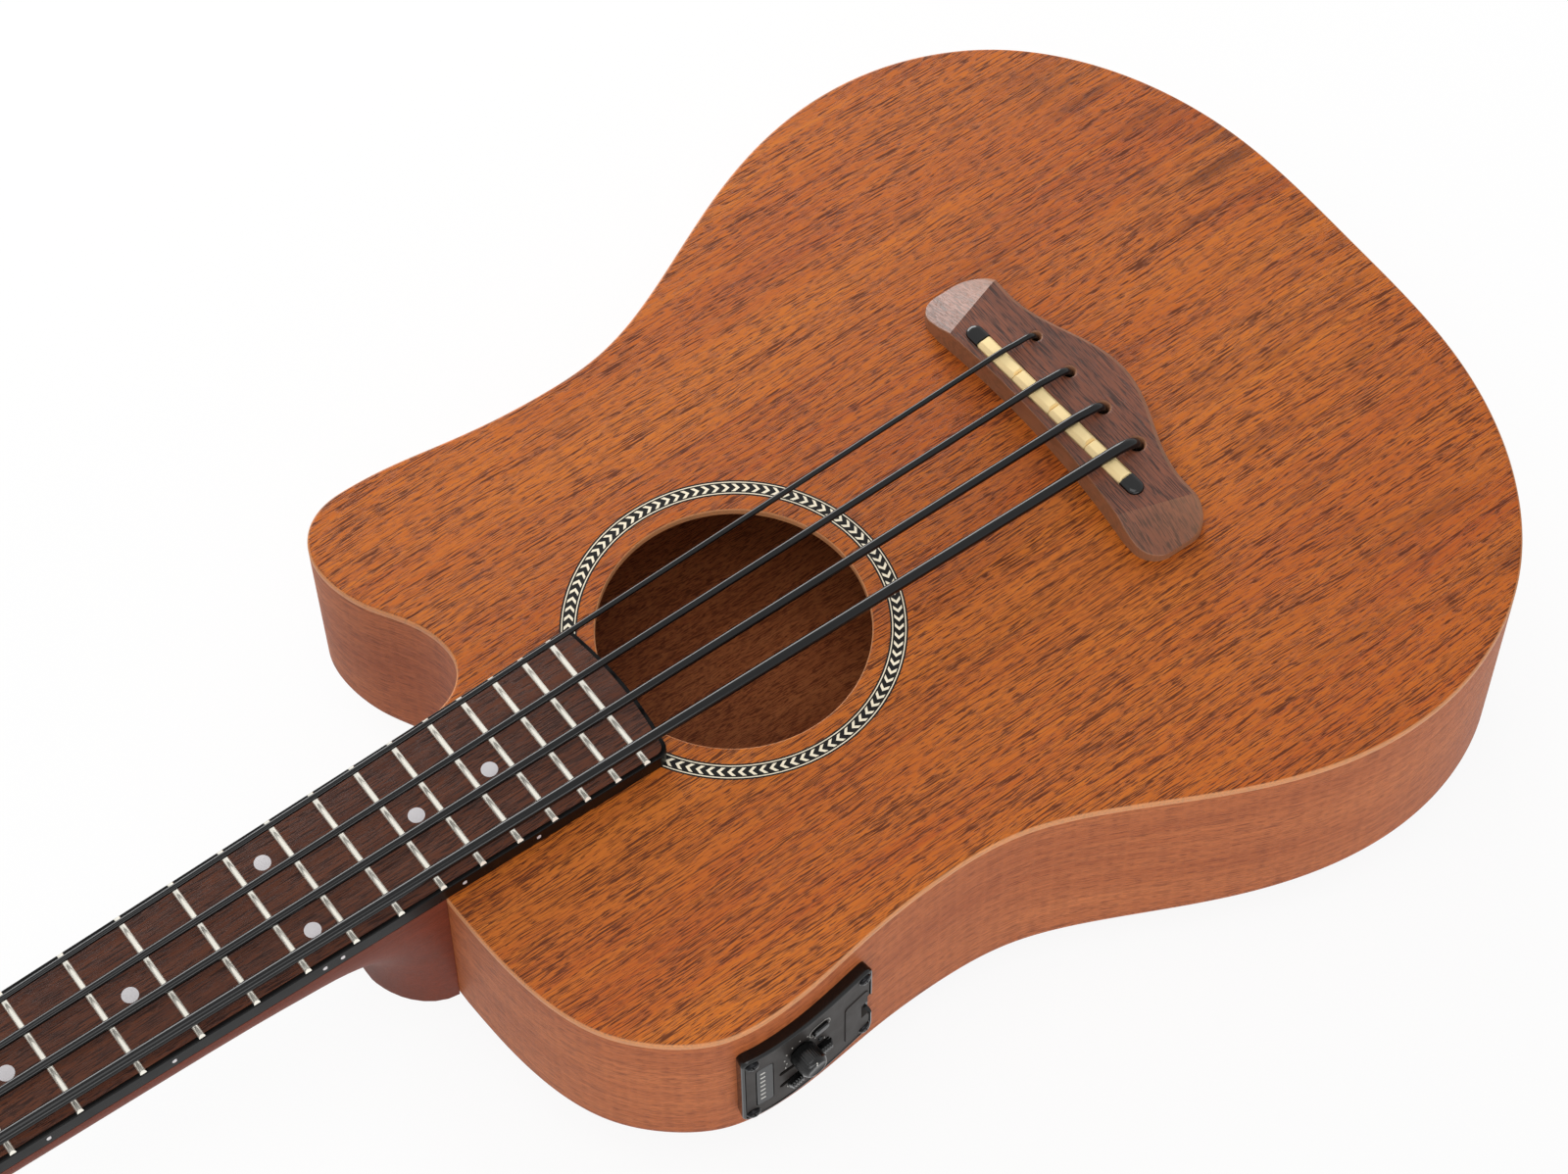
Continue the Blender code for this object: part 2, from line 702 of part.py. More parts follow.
def make_sides(root):
    """Two bent ribs that meet at the tail and stop beside the neck's tenon."""
    section = ((0, under_top()), (0, above_back), (SIDE_THICKNESS, above_back),
               (SIDE_THICKNESS, under_top()))
    stop = TENON_HALF + 2 * GAP
    tail_gap = (GAP / 2, TAIL_Y)
    bass = [(-stop, JOINT_Y), *BASS_PATH[:-1], (-tail_gap[0], tail_gap[1])]
    treble = [tail_gap, *TREBLE_PATH[1:], (stop, JOINT_Y)]
    jack_hole = jack_barrel(JACK_HOLE_RADIUS, -20, 20)
    side_bass = add_piece("side_bass", along_wall(bass, section), "mahogany_side", root)
    cut(side_bass, jack_hole, box_shape(GAP, 12.0, -12.0))
    side_treble = add_piece("side_treble", along_wall(treble, section), "mahogany_side", root)
    cut(side_treble, jack_hole)


def make_back(root):
    """Pressed back, arched along and across, closed by rings that shrink to its middle."""
    centre = np.array((0, JOINT_Y - 0.512 * BODY_LENGTH))

    def rings_at(lift, shares):
        rings = []
        for share in shares:
            plan = centre + share * (BODY_OUTLINE - centre)
            rings.append([(x, y, lift - back_depth(x, y)) for x, y in plan])
        x, y = centre
        rings.append([(x, y, lift - back_depth(x, y))])
        return rings

    shape = loft(rings_at(BACK_THICKNESS, BACK_INNER_SHARES)[::-1] + rings_at(0, BACK_OUTER_SHARES))
    add_piece("back", shape, "mahogany_side", root)


def make_blocks(root):
    """Neck block with the tenon's mortise and the tail block round the jack."""
    front = JOINT_Y - SIDE_THICKNESS - GAP
    half = DRAWN_JOINT_HALF - SIDE_THICKNESS - GAP
    outline = [(-half, front - NECK_BLOCK_LENGTH), (half, front - NECK_BLOCK_LENGTH),
               (half, front), (-half, front)]
    block = add_piece("neck_block", prism(outline, block_foot, under_top()), "bare_wood", root)
    mortise = box((-TENON_HALF - GAP, JOINT_Y - TENON_LENGTH - GAP, -TENON_BOTTOM - GAP),
                  (TENON_HALF + GAP, JOINT_Y + 5, 5))
    cut(block, mortise)
    cut(block, rod_channel(front - NECK_BLOCK_LENGTH - 5))
    inner = offset_path(BODY_OUTLINE, SIDE_THICKNESS + GAP)
    tail = [(x, y) for x, y in inner if abs(x) < TAIL_BLOCK_HALF and y < HOLE_Y - SOUNDHOLE_RADIUS]
    ends = [(side * TAIL_BLOCK_HALF, tail_wall(TAIL_BLOCK_HALF)) for side in (-1, 1)]
    inward = TAIL_Y + SIDE_THICKNESS + TAIL_BLOCK_LENGTH
    outline = [ends[0], *tail, ends[1], (TAIL_BLOCK_HALF, inward), (-TAIL_BLOCK_HALF, inward)]
    block = add_piece("tail_block", prism(outline, block_foot, under_top()), "bare_wood", root)
    cut(block, jack_barrel(JACK_HOLE_RADIUS, -20, TAIL_BLOCK_LENGTH + 20))


def tail_wall(x):
    """The sides' inner face at the tail, at a distance from the middle line."""
    inner = offset_path(TREBLE_PATH, SIDE_THICKNESS + GAP)
    near_tail = inner[inner[:, 1] < TAIL_Y + BODY_LENGTH / 4]
    rising = near_tail[near_tail[:, 0] < near_tail[:, 0].max() * 0.8]
    return float(np.interp(x, rising[:, 0], rising[:, 1]))


def lining_run(path):
    """The part of a side's path that lies beside neither block, with the reach of a lining."""
    inner = offset_path(path, SIDE_THICKNESS + GAP)
    tip = offset_path(path, SIDE_THICKNESS + GAP + LINING_WIDTH)
    block_back = JOINT_Y - SIDE_THICKNESS - NECK_BLOCK_LENGTH - BLOCK_TO_LINING
    tail_top = TAIL_Y + SIDE_THICKNESS + TAIL_BLOCK_LENGTH + BLOCK_TO_LINING
    keep = []
    for edge in (inner, tip):
        beside_neck = (edge[:, 1] > block_back) & (np.abs(edge[:, 0]) < DRAWN_JOINT_HALF + 1)
        beside_tail = (edge[:, 1] < tail_top) & (np.abs(edge[:, 0]) < TAIL_BLOCK_HALF + 1)
        keep.append(~beside_neck & ~beside_tail)
    clear = np.flatnonzero(keep[0] & keep[1])
    return path[clear[0]:clear[-1] + 1]


def make_linings(root):
    """Glue strips in the corners between the sides and the two plates."""
    wall = SIDE_THICKNESS + GAP
    top = under_top()
    top_section = ((wall, top), (wall, top - LINING_HEIGHT), (wall + LINING_WIDTH, top - 2.5),
                   (wall + LINING_WIDTH, top))

    def over_back(rise):
        return lambda x, y: above_back(x, y) + rise

    back_section = ((wall, over_back(0.1)), (wall, over_back(LINING_HEIGHT)),
                    (wall + LINING_WIDTH, over_back(2.6)), (wall + LINING_WIDTH, over_back(0.1)))
    for side, path in (("bass", BASS_PATH), ("treble", TREBLE_PATH)):
        run = lining_run(path)
        add_piece(f"top_lining_{side}", along_wall(run, top_section), "bare_wood", root)
        add_piece(f"back_lining_{side}", along_wall(run, back_section), "bare_wood", root)


def inner_reach(y, path):
    """Where a lining's inner edge lies across the body at a place along it."""
    inner = offset_path(path, SIDE_THICKNESS + 2 * GAP + LINING_WIDTH)
    order = inner[np.argsort(inner[:, 1])]
    return float(np.interp(y, order[:, 1], order[:, 0]))


def make_braces(root):
    """Three bars under the soundboard, tapered to the linings, and the bridge plate."""
    rear = BRIDGE_REAR - BRIDGE_BELLY - BRIDGE_PLATE_BEHIND
    places = {"top_brace_upper": HOLE_Y + SOUNDHOLE_RADIUS + UPPER_BRACE_FROM_HOLE,
              "top_brace_middle": HOLE_Y - SOUNDHOLE_RADIUS - MIDDLE_BRACE_FROM_HOLE,
              "top_brace_lower": rear - LOWER_BRACE_FROM_PLATE}
    for name, y in places.items():
        left = inner_reach(y, BASS_PATH) + 3
        right = inner_reach(y, TREBLE_PATH) - 3
        top = under_top()
        stations = ((left, BRACE_END_HEIGHT), (left * 0.7, BRACE_HEIGHT), (right * 0.7, BRACE_HEIGHT),
                    (right, BRACE_END_HEIGHT))
        rings = []
        for x, height in stations:
            near, far, flank = y - BRACE_WIDTH / 2, y + BRACE_WIDTH / 2, top - height + BRACE_CREST
            rings.append([(x, near, top), (x, near, flank), (x, y, top - height), (x, far, flank),
                          (x, far, top)])
        brace = add_piece(name, loft(rings), "bare_wood", root)
        if name == "top_brace_upper":
            reach = ROD_NUT_RADIUS + 1
            cut(brace, box((-reach, y - BRACE_WIDTH, -ROD_DEPTH - reach), (reach, y + BRACE_WIDTH, 5)))
    low = under_top() - BRIDGE_PLATE_THICKNESS
    front = BRIDGE_FRONT + BRIDGE_PLATE_AHEAD
    half, corner = BRIDGE_PLATE_HALF, rear + BRIDGE_PLATE_SLANT
    outline = [(-half, corner), (-half * 0.7, rear), (half * 0.7, rear), (half, corner),
               (half, front), (-half, front)]
    plate = add_piece("bridge_plate", prism(outline, low, under_top()), "bare_wood", root)
    cut(plate, *string_holes(low - 5, 5), lead_hole(low - 5, 5))


def bridge_edges(x):
    """Rear and front edge of the bridge at a distance from its middle."""
    share = min(1.0, abs(x) / 50)
    front = BRIDGE_FRONT - BRIDGE_FRONT_HOLLOW * (1 - share * share)
    rear = BRIDGE_REAR
    if abs(x) < BRIDGE_BELLY_HALF:
        rear -= BRIDGE_BELLY * math.cos(math.pi * x / (2 * BRIDGE_BELLY_HALF)) ** 2
    into_corner = abs(x) - (BRIDGE_HALF - BRIDGE_CORNER_RADIUS)
    if into_corner > 0:
        inset = BRIDGE_CORNER_RADIUS - math.sqrt(max(0.0, BRIDGE_CORNER_RADIUS ** 2 - into_corner ** 2))
        front -= inset
        rear += inset
    return rear, front


def bridge_height(x, y):
    """The flat middle and the two facets that fall to the tips."""
    (rear_x, rear_y), (front_x, front_y) = BRIDGE_FACET_REAR, BRIDGE_FACET_FRONT
    line = rear_x + (front_x - rear_x) * (y - rear_y) / (front_y - rear_y)
    beyond = max(0.0, abs(x) - line) / (BRIDGE_HALF - line)
    return BRIDGE_HEIGHT - (BRIDGE_HEIGHT - BRIDGE_TIP_HEIGHT) * beyond


def make_bridge(root):
    """Bridge with a belly behind the string holes and two sloping ends."""
    half = [0, 11, 22, 33, 44.6, 49, 53, 58, 61.6]
    stations = [-x for x in reversed(half[1:])] + half
    stations = [-BRIDGE_HALF, *stations, BRIDGE_HALF]
    rings = []
    for x in stations:
        rear, front = bridge_edges(x * 0.999)
        edge = min(BRIDGE_EDGE, (front - rear) / 4)
        profile = ((rear, GAP), (rear, bridge_height(x, rear) - edge),
                   (rear + edge, bridge_height(x, rear + edge)),
                   (rear + 0.35 * (front - rear), bridge_height(x, rear + 0.35 * (front - rear))),
                   (rear + 0.7 * (front - rear), bridge_height(x, rear + 0.7 * (front - rear))),
                   (front - edge / 2, bridge_height(x, front - edge / 2)),
                   (front, bridge_height(x, front) - edge / 2), (front, GAP))
        rings.append([(x, y, z) for y, z in profile])
    bridge = add_piece("bridge", loft(rings), "walnut", root)
    flares = []
    for index, diameter in enumerate(STRING_DIAMETERS):
        radius = diameter / 2 + STRING_HOLE_CLEARANCE
        centre = (string_x(index, SADDLE_SPREAD), STRING_HOLE_Y)
        rings = [(radius, -3), (radius, BRIDGE_HEIGHT - 2.5), (radius + STRING_HOLE_FLARE, BRIDGE_HEIGHT),
                 (radius + STRING_HOLE_FLARE, BRIDGE_HEIGHT + 3)]
        flares.append(loft([[(x, y, z) for x, y in circle(r, 12, centre)] for r, z in rings]))
    slot = prism(capsule(SADDLE_HOUSING_LENGTH + 2 * GAP, SADDLE_HOUSING_WIDTH + 2 * GAP),
                 SADDLE_SLOT_FLOOR, BRIDGE_HEIGHT + 5)
    cut(bridge, *flares)
    cut(bridge, moved(slot, saddle_frame()))
    cut(bridge, lead_hole(-3, SADDLE_SLOT_FLOOR + 2))


def saddle_frame():
    """Frame along the slanted saddle, at the soundboard's height."""
    return Matrix.Translation((0, SADDLE_Y, 0)) @ Matrix.Rotation(SADDLE_SLANT, 4, "Z")


def make_saddles(root):
    """Black housing with domed ends and four cream saddles seated in it."""
    top = BRIDGE_HEIGHT + SADDLE_HOUSING_DOME
    levels = ((0, SADDLE_SLOT_FLOOR + GAP), (0, BRIDGE_HEIGHT), (0.5, top - 0.6), (1.3, top - 0.15),
              (2.3, top))
    rings = []
    for inset, z in levels:
        outline = capsule(SADDLE_HOUSING_LENGTH - 2 * inset, SADDLE_HOUSING_WIDTH - 2 * inset)
        rings.append([(x, y, z) for x, y in outline])
    housing = add_piece("saddle_housing", moved(loft(rings), saddle_frame()), "black_plastic", root)
    row = SADDLE_ROW_LENGTH / 2 + GAP
    width = SADDLE_HOUSING_WIDTH
    cut(housing, moved(box((-row, -width, SADDLE_SEAT), (row, width, top + 5)), saddle_frame()))
    bounds = [-SADDLE_ROW_LENGTH / 2, *[(string_x(i, SADDLE_SPREAD) + string_x(i + 1, SADDLE_SPREAD)) / 2
                                        for i in range(3)], SADDLE_ROW_LENGTH / 2]
    seat = SADDLE_SEAT + GAP
    half = SADDLE_WIDTH / 2
    profile = ((-half, seat), (half, seat), (half, SADDLE_TOP - 1.6), (half * 0.5, SADDLE_TOP - 0.4),
               (0, SADDLE_TOP), (-half * 0.5, SADDLE_TOP - 0.4), (-half, SADDLE_TOP - 1.6))
    for index, name in enumerate(STRING_NAMES):
        low = bounds[index] + (GAP / 2 if index else 0)
        high = bounds[index + 1] - (GAP / 2 if index < 3 else 0)
        rings = [[(x, y, z) for y, z in profile] for x in (low, high)]
        add_piece(f"saddle_{name}", moved(loft(rings), saddle_frame()), "cream_bone", root)


def heel_reach(z):
    """How far the heel stands out from the joint at a height."""
    return HEEL_CAP_REACH + HEEL_COVE_REACH * math.exp((z + HEEL_COVE_DEPTH) / HEEL_COVE_HEIGHT)


def neck_bottom(ahead):
    """Depth of the neck under its top face, ahead of the joint: heel, cove and shaft in one."""
    shaft = NECK_DEPTH_AT_NUT + (SCALE_LENGTH - JOINT_Y - ahead) * NECK_DEEPENS_PER_MM
    past_cap = ahead - HEEL_CAP_REACH
    if past_cap <= 0:
        return HEEL_DEPTH
    cove = HEEL_COVE_DEPTH - HEEL_COVE_HEIGHT * math.log(past_cap / HEEL_COVE_REACH)
    cove = min(HEEL_DEPTH, max(cove, 1.0))
    if cove == HEEL_DEPTH:
        return HEEL_DEPTH
    return min(HEEL_DEPTH, (shaft ** 6 + cove ** 6) ** (1 / 6))


def neck_ring(ahead):
    """Section of the neck at a distance ahead of the body, from a heel's taper to a round shaft."""
    y = JOINT_Y + ahead
    half = board_half(y)
    depth = neck_bottom(ahead)
    blend = min(1.0, max(0.0, (ahead - 16) / 40))
    blend = blend * blend * (3 - 2 * blend)
    lowest = 1.0 if ahead < HEEL_CAP_REACH - 0.1 else 0.975
    shares = (0.0, 0.12, 0.3, 0.5, 0.7, 0.85, 0.94, lowest)
    side = []
    for share in shares:
        z = -share * depth
        width = HEEL_CAP_HALF + (board_half(JOINT_Y) - HEEL_CAP_HALF) * (1 + z / HEEL_DEPTH)
        plan = max(0.0, 1 - (ahead / heel_reach(z)) ** HEEL_PLAN_POWER) ** (1 / HEEL_PLAN_POWER)
        heel = width * plan if share else half
        round_x = half * (1 - share ** NECK_SECTION_POWER) ** (1 / NECK_SECTION_POWER)
        side.append(((1 - blend) * heel + blend * round_x, z))
    right = [(x, y, z) for x, z in side]
    left = [(-x, y, z) for x, z in reversed(side)]
    return right + [(0, y, -depth)] + left


def head_ring(along, power, top, bottom):
    """Section of the neck inside the headstock's tilted frame, squarer as the power grows."""
    half = head_half(along) - 0.05
    shares = (0.0, 0.12, 0.3, 0.5, 0.7, 0.85, 0.94, 0.975)
    side = [(half * (1 - share ** power) ** (1 / power), top - share * (top - bottom))
            for share in shares]
    ring = [(x, along, z) for x, z in side] + [(0, along, bottom)]
    ring += [(-x, along, z) for x, z in reversed(side)]
    frame = head_frame()
    return [tuple(frame @ Vector(point)) for point in ring]


def head_half(along):
    """Half width of the headstock at a distance behind the nut."""
    curve = spline(HEAD_OUTLINE, 8)
    return float(np.interp(along, curve[:, 1], curve[:, 0]))


def head_outline(start):
    """Outline of the headstock from a distance behind the nut to its crown."""
    curve = spaced(spline(HEAD_OUTLINE, 8), 30.0, 10.0)
    right = [(head_half(start), start)] + [(x, y) for x, y in curve if y > start + 1]
    right += list(HEAD_CROWN)
    return right + [(-x, y) for x, y in reversed(right[:-1])]


def rod_channel(start, end=None):
    """Channel for the truss rod, open to the top."""
    reach = ROD_SIZE / 2 + GAP
    end = JOINT_Y + 60 if end is None else end
    return box((-reach, start, -ROD_DEPTH - reach), (reach, end, 5))


def post_places():
    """Name, side, place along the headstock and index of each tuning machine."""
    places = []
    for index, name in enumerate(STRING_NAMES):
        side = -1 if index < 2 else 1
        along = POST_Y_NEAR if index in (0, 3) else POST_Y_FAR
        places.append((name, side, along, index))
    return places


def make_neck(root):
    """Neck, heel, tenon and headstock in one piece of wood."""
    aheads = [GAP + 0.05, 8, 14, 18, 20, 20.75, 21.6, 23.5, 27, 32, 40, 52, 70, 110, 220]
    nut_end = SCALE_LENGTH + NUT_LENGTH - JOINT_Y
    last = [ahead for ahead in aheads if ahead < nut_end - 30] + [nut_end - 8, nut_end - 1]
    rings = [neck_ring(ahead) for ahead in last]
    top = -OVERLAY_THICKNESS - GAP
    bottom = top - HEAD_THICKNESS
    rings.append(head_ring(3.0, 3.4, top - 0.05, bottom + 0.05))
    rings.append(head_ring(HEAD_SLAB_START + 2, 8.0, top - 0.05, bottom + 0.05))
    neck = add_piece("neck", loft(rings), "mahogany_neck", root)
    slab = prism(head_outline(HEAD_SLAB_START), bottom, top)
    tenon = box((-TENON_HALF, JOINT_Y - TENON_LENGTH, -TENON_BOTTOM), (TENON_HALF, JOINT_Y + 3, -TENON_TOP))
    join(neck, moved(slab, head_frame()), tenon)
    holes = [shifted(prism(circle(POST_HOLE_RADIUS, 16), bottom - 5, 5), (side * POST_X, along, 0))
             for _, side, along, _ in post_places()]
    cut(neck, *[moved(hole, head_frame()) for hole in holes])
    cut(neck, rod_channel(JOINT_Y - TENON_LENGTH - 5, SCALE_LENGTH - ROD_STOPS_BEFORE_NUT + GAP))


def make_truss_rod(root):
    """Rod under the fingerboard and the nut that is reached through the soundhole."""
    start = JOINT_Y - SIDE_THICKNESS - NECK_BLOCK_LENGTH
    half = ROD_SIZE / 2
    rod = prism(rounded_box(ROD_SIZE, ROD_SIZE, 1.0, 1), start, SCALE_LENGTH - ROD_STOPS_BEFORE_NUT)
    upright = Matrix.Translation((0, 0, -ROD_DEPTH)) @ Matrix.Rotation(-math.pi / 2, 4, "X")
    add_piece("truss_rod", moved(rod, upright), "steel", root)
    socket = [(half * 0.9, 0), (ROD_NUT_RADIUS, 0.6), (ROD_NUT_RADIUS, ROD_NUT_LENGTH - 0.6),
              (half * 0.9, ROD_NUT_LENGTH), (ROD_NUT_SOCKET, ROD_NUT_LENGTH),
              (ROD_NUT_SOCKET, ROD_NUT_LENGTH - 6)]
    rings = [[(x, y, z) for x, y in circle(r, 12)] for r, z in socket]
    place = Matrix.Translation((0, start - GAP, -ROD_DEPTH)) @ Matrix.Rotation(math.pi / 2, 4, "X")
    add_piece("truss_rod_nut", moved(loft(rings), place), "steel", root, place)


def fret_y(number):
    """Distance of a fret from the saddle."""
    return SCALE_LENGTH * 2 ** (-number / 12)


def board_path():
    """Plan path round the fingerboard: down the treble side, round the end, up the bass side."""
    end_y = fret_y(FRET_COUNT) - BOARD_PAST_LAST_FRET
    corner_y = end_y + BOARD_END_BULGE + BOARD_CORNER_RADIUS
    corner_x = board_half(corner_y) - BOARD_CORNER_RADIUS
    half = [(board_half(SCALE_LENGTH - GAP), SCALE_LENGTH - GAP)]
    for degrees in (0, 25, 50, 75):
        angle = math.radians(degrees)
        half.append((corner_x + BOARD_CORNER_RADIUS * math.cos(angle),
                     corner_y - BOARD_CORNER_RADIUS * math.sin(angle)))
    for share in (0.7, 0.35):
        half.append((corner_x * share, end_y + BOARD_END_BULGE * share * share))
    return half + [(0.0, end_y)] + [(-x, y) for x, y in reversed(half)]


def make_fingerboard(root):
    """Fingerboard with its frets pressed in, and the binding round three of its edges."""
    path = board_path()[::-1]
    inner = offset_path(path, BINDING_WIDTH + 0.15)
    board = add_piece("fingerboard", prism(inner, BOARD_BOTTOM, BOARD_TOP), "rosewood", root)
    frets = []
    for number in range(1, FRET_COUNT + 1):
        y = fret_y(number)
        reach = board_half(y) - 0.3
        low = BOARD_TOP - FRET_FOOT
        profile = ((-FRET_WIDTH / 2, low), (-FRET_WIDTH * 0.42, FRET_CROWN - 0.4),
                   (-FRET_WIDTH * 0.18, FRET_CROWN), (FRET_WIDTH * 0.18, FRET_CROWN),
                   (FRET_WIDTH * 0.42, FRET_CROWN - 0.4), (FRET_WIDTH / 2, low))
        rings = [[(side * (reach - 0.6 * (z - low)), y + dy, z) for dy, z in profile]
                 for side in (-1, 1)]
        frets.append(loft(rings))
    join(board, *frets)
    section = ((0, BOARD_BOTTOM), (0, BOARD_TOP - BINDING_BELOW_FACE),
               (BINDING_WIDTH, BOARD_TOP - BINDING_BELOW_FACE), (BINDING_WIDTH, BOARD_BOTTOM))
    add_piece("fingerboard_binding", along_wall(path, section), "black_plastic", root)


def nut_height(index):
    """Height of a string's centre over the nut."""
    return FRET_CROWN + NUT_STRING_CLEARANCE + STRING_DIAMETERS[index] / 2


def make_nut(root):
    """Slotted nut between the fingerboard and the headstock's face."""
    y0, y1 = SCALE_LENGTH, SCALE_LENGTH + NUT_LENGTH
    top = BOARD_TOP + NUT_ABOVE_BOARD
    profile = ((y0, BOARD_BOTTOM), (y0, top - 0.4), (y0 + 1.2, top), (y0 + 4, top - 0.5),
               (y1, top - 2.2), (y1, BOARD_BOTTOM))
    rings = [[(x, y, z) for y, z in profile] for x in (-NUT_HALF, NUT_HALF)]
    nut = add_piece("nut", loft(rings), "black_plastic", root)
    slots = []
    for index, diameter in enumerate(STRING_DIAMETERS):
        radius = diameter / 2 + GAP
        angles = [math.pi * (1 + k / 6) for k in range(7)]
        rings = []
        for x, y, z in nut_run(index):
            rings.append([(x + radius * math.cos(a), y, z + radius * math.sin(a)) for a in angles]
                         + [(x + radius, y, z + 8), (x - radius, y, z + 8)])
        slots.append(loft(rings))
    cut(nut, *slots)


def nut_run(index):
    """Centre points of a string from before the nut to behind it."""
    y0, y1 = SCALE_LENGTH, SCALE_LENGTH + NUT_LENGTH
    top = nut_height(index)
    x = string_x(index, NUT_SPREAD)
    saddle_x, start_y, saddle_z = saddle_crossing(index)
    slope = (top - saddle_z) / (y0 - start_y)
    lean = (x - saddle_x) / (y0 - start_y)
    return [(x - 2 * lean, y0 - 2, top - 2 * slope), (x + 1.5 * lean, y0 + 1.5, top - 0.05),
            (x + 4 * lean, y0 + 4, top - 0.55), (x + 8 * lean, y1 + 2, top - 1.7)]


def saddle_crossing(index):
    """Centre of a string over its saddle."""
    x = string_x(index, SADDLE_SPREAD)
    return x, saddle_y(x), SADDLE_TOP + GAP + STRING_DIAMETERS[index] / 2


def wrap_points(index):
    """Centre points of a string's turns round its post, in the instrument's frame."""
    _, side, along, _ = post_places()[index]
    radius = STRING_DIAMETERS[index] / 2
    wrap = POST_RADIUS + WRAP_CLEARANCE + radius
    start_z = wrap_base(index)
    pitch = 2 * radius + WRAP_SPACE
    points = []
    for k in range(WRAP_TURNS * WRAP_STEPS + 1):
        angle = 2 * math.pi * k / WRAP_STEPS
        points.append(Vector((side * (POST_X - wrap * math.cos(angle)), along + wrap * math.sin(angle),
                              start_z + pitch * k / WRAP_STEPS)))
    frame = head_frame()
    return [frame @ point for point in points]


def wrap_base(index):
    """Height of the first turn's centre over the headstock's face."""
    return BUSHING_FLANGE + WRAP_ABOVE_FLANGE + STRING_DIAMETERS[index] / 2


def make_strings(root):
    """Each string from the knot under the bridge plate to its turns round the post."""
    least = []
    for index, name in enumerate(STRING_NAMES):
        radius = STRING_DIAMETERS[index] / 2
        x, crest_y, crest_z = saddle_crossing(index)
        knot = under_top() - BRIDGE_PLATE_THICKNESS - GAP
        hole = [(x, STRING_HOLE_Y, knot - 2.4 * radius - 3), (x, STRING_HOLE_Y, knot - 2.4 * radius - 2),
                (x, STRING_HOLE_Y, knot - 1.6 * radius), (x, STRING_HOLE_Y, knot - 0.5 * radius),
                (x, STRING_HOLE_Y, knot)]
        knot_radii = [0.9 * radius, radius, 2.1 * radius, 1.9 * radius, radius]
        bend = [(x, STRING_HOLE_Y, BRIDGE_HEIGHT - 3.5), (x, STRING_HOLE_Y + 0.35, BRIDGE_HEIGHT - 0.8),
                (x, STRING_HOLE_Y + 2.2, BRIDGE_HEIGHT + 1.3 + 0.3 * radius),
                (x, (STRING_HOLE_Y + crest_y) / 2, crest_z - 0.55), (x, crest_y - 2.5, crest_z - 0.02),
                (x, crest_y + 1, crest_z)]
        bend = [tuple(point) for point in spline(bend, 2)]
        points = hole + bend + nut_run(index) + wrap_points(index)
        radii = knot_radii + [radius] * (len(points) - len(hole))
        add_piece(f"string_{name}", tube(points, radii), "string_black", root)
        least.append(turn_gap(wrap_points(index), radius))
    print("least gap between a string's own turns:", [round(gap, 2) for gap in least], "mm")


def turn_gap(points, radius):
    """Least gap of a winding to itself, measured between points at least half a turn apart."""
    half_turn = WRAP_STEPS // 2
    gaps = [(a - b).length - 2 * radius for i, a in enumerate(points) for b in points[i + half_turn:]]
    return min(gaps)


def make_headstock_face(head):
    """Veneer on the headstock's face."""
    overlay = add_piece("headstock_overlay", prism(head_outline(0.4), -OVERLAY_THICKNESS, 0),
                        "rosewood", head)
    cut(overlay, *[shifted(prism(circle(POST_HOLE_RADIUS, 16), -10, 5), (side * POST_X, along, 0))
                   for _, side, along, _ in post_places()])


def mirrored(shape, side):
    """A tuning machine's shape for its side of the headstock."""
    return moved(shape, Matrix.Scale(side, 4, (1, 0, 0)))


def gear_wheel():
    """Helical wheel about Z that meshes with the worm on its side towards the nut."""
    lead = WORM_PITCH / (2 * math.pi * WORM_PITCH_RADIUS)
    rings = []
    for height in (-GEAR_THICKNESS / 2, GEAR_THICKNESS / 2):
        twist = lead * height / GEAR_PITCH_RADIUS
        ring = []
        for tooth in range(GEAR_TEETH):
            middle = -math.pi / 2 + 2 * math.pi * (tooth + 0.5) / GEAR_TEETH + twist
            for radius, across in ((GEAR_ROOT_RADIUS, -GEAR_ROOT_HALF), (GEAR_TIP_RADIUS, -GEAR_TIP_HALF),
                                   (GEAR_TIP_RADIUS, GEAR_TIP_HALF), (GEAR_ROOT_RADIUS, GEAR_ROOT_HALF)):
                angle = middle + across / radius
                ring.append((radius * math.cos(angle), radius * math.sin(angle), height))
        rings.append(ring)
    return loft(rings)


def worm_radius(phase):
    """Radius of the worm at a phase of its thread, in turns from the ridge's middle."""
    away = abs(phase - round(phase)) * WORM_PITCH
    if away <= WORM_TIP_HALF:
        return WORM_TIP_RADIUS
    fall = (away - WORM_TIP_HALF) / (WORM_ROOT_HALF - WORM_TIP_HALF)
    return max(WORM_ROOT_RADIUS, WORM_TIP_RADIUS - fall * (WORM_TIP_RADIUS - WORM_ROOT_RADIUS))


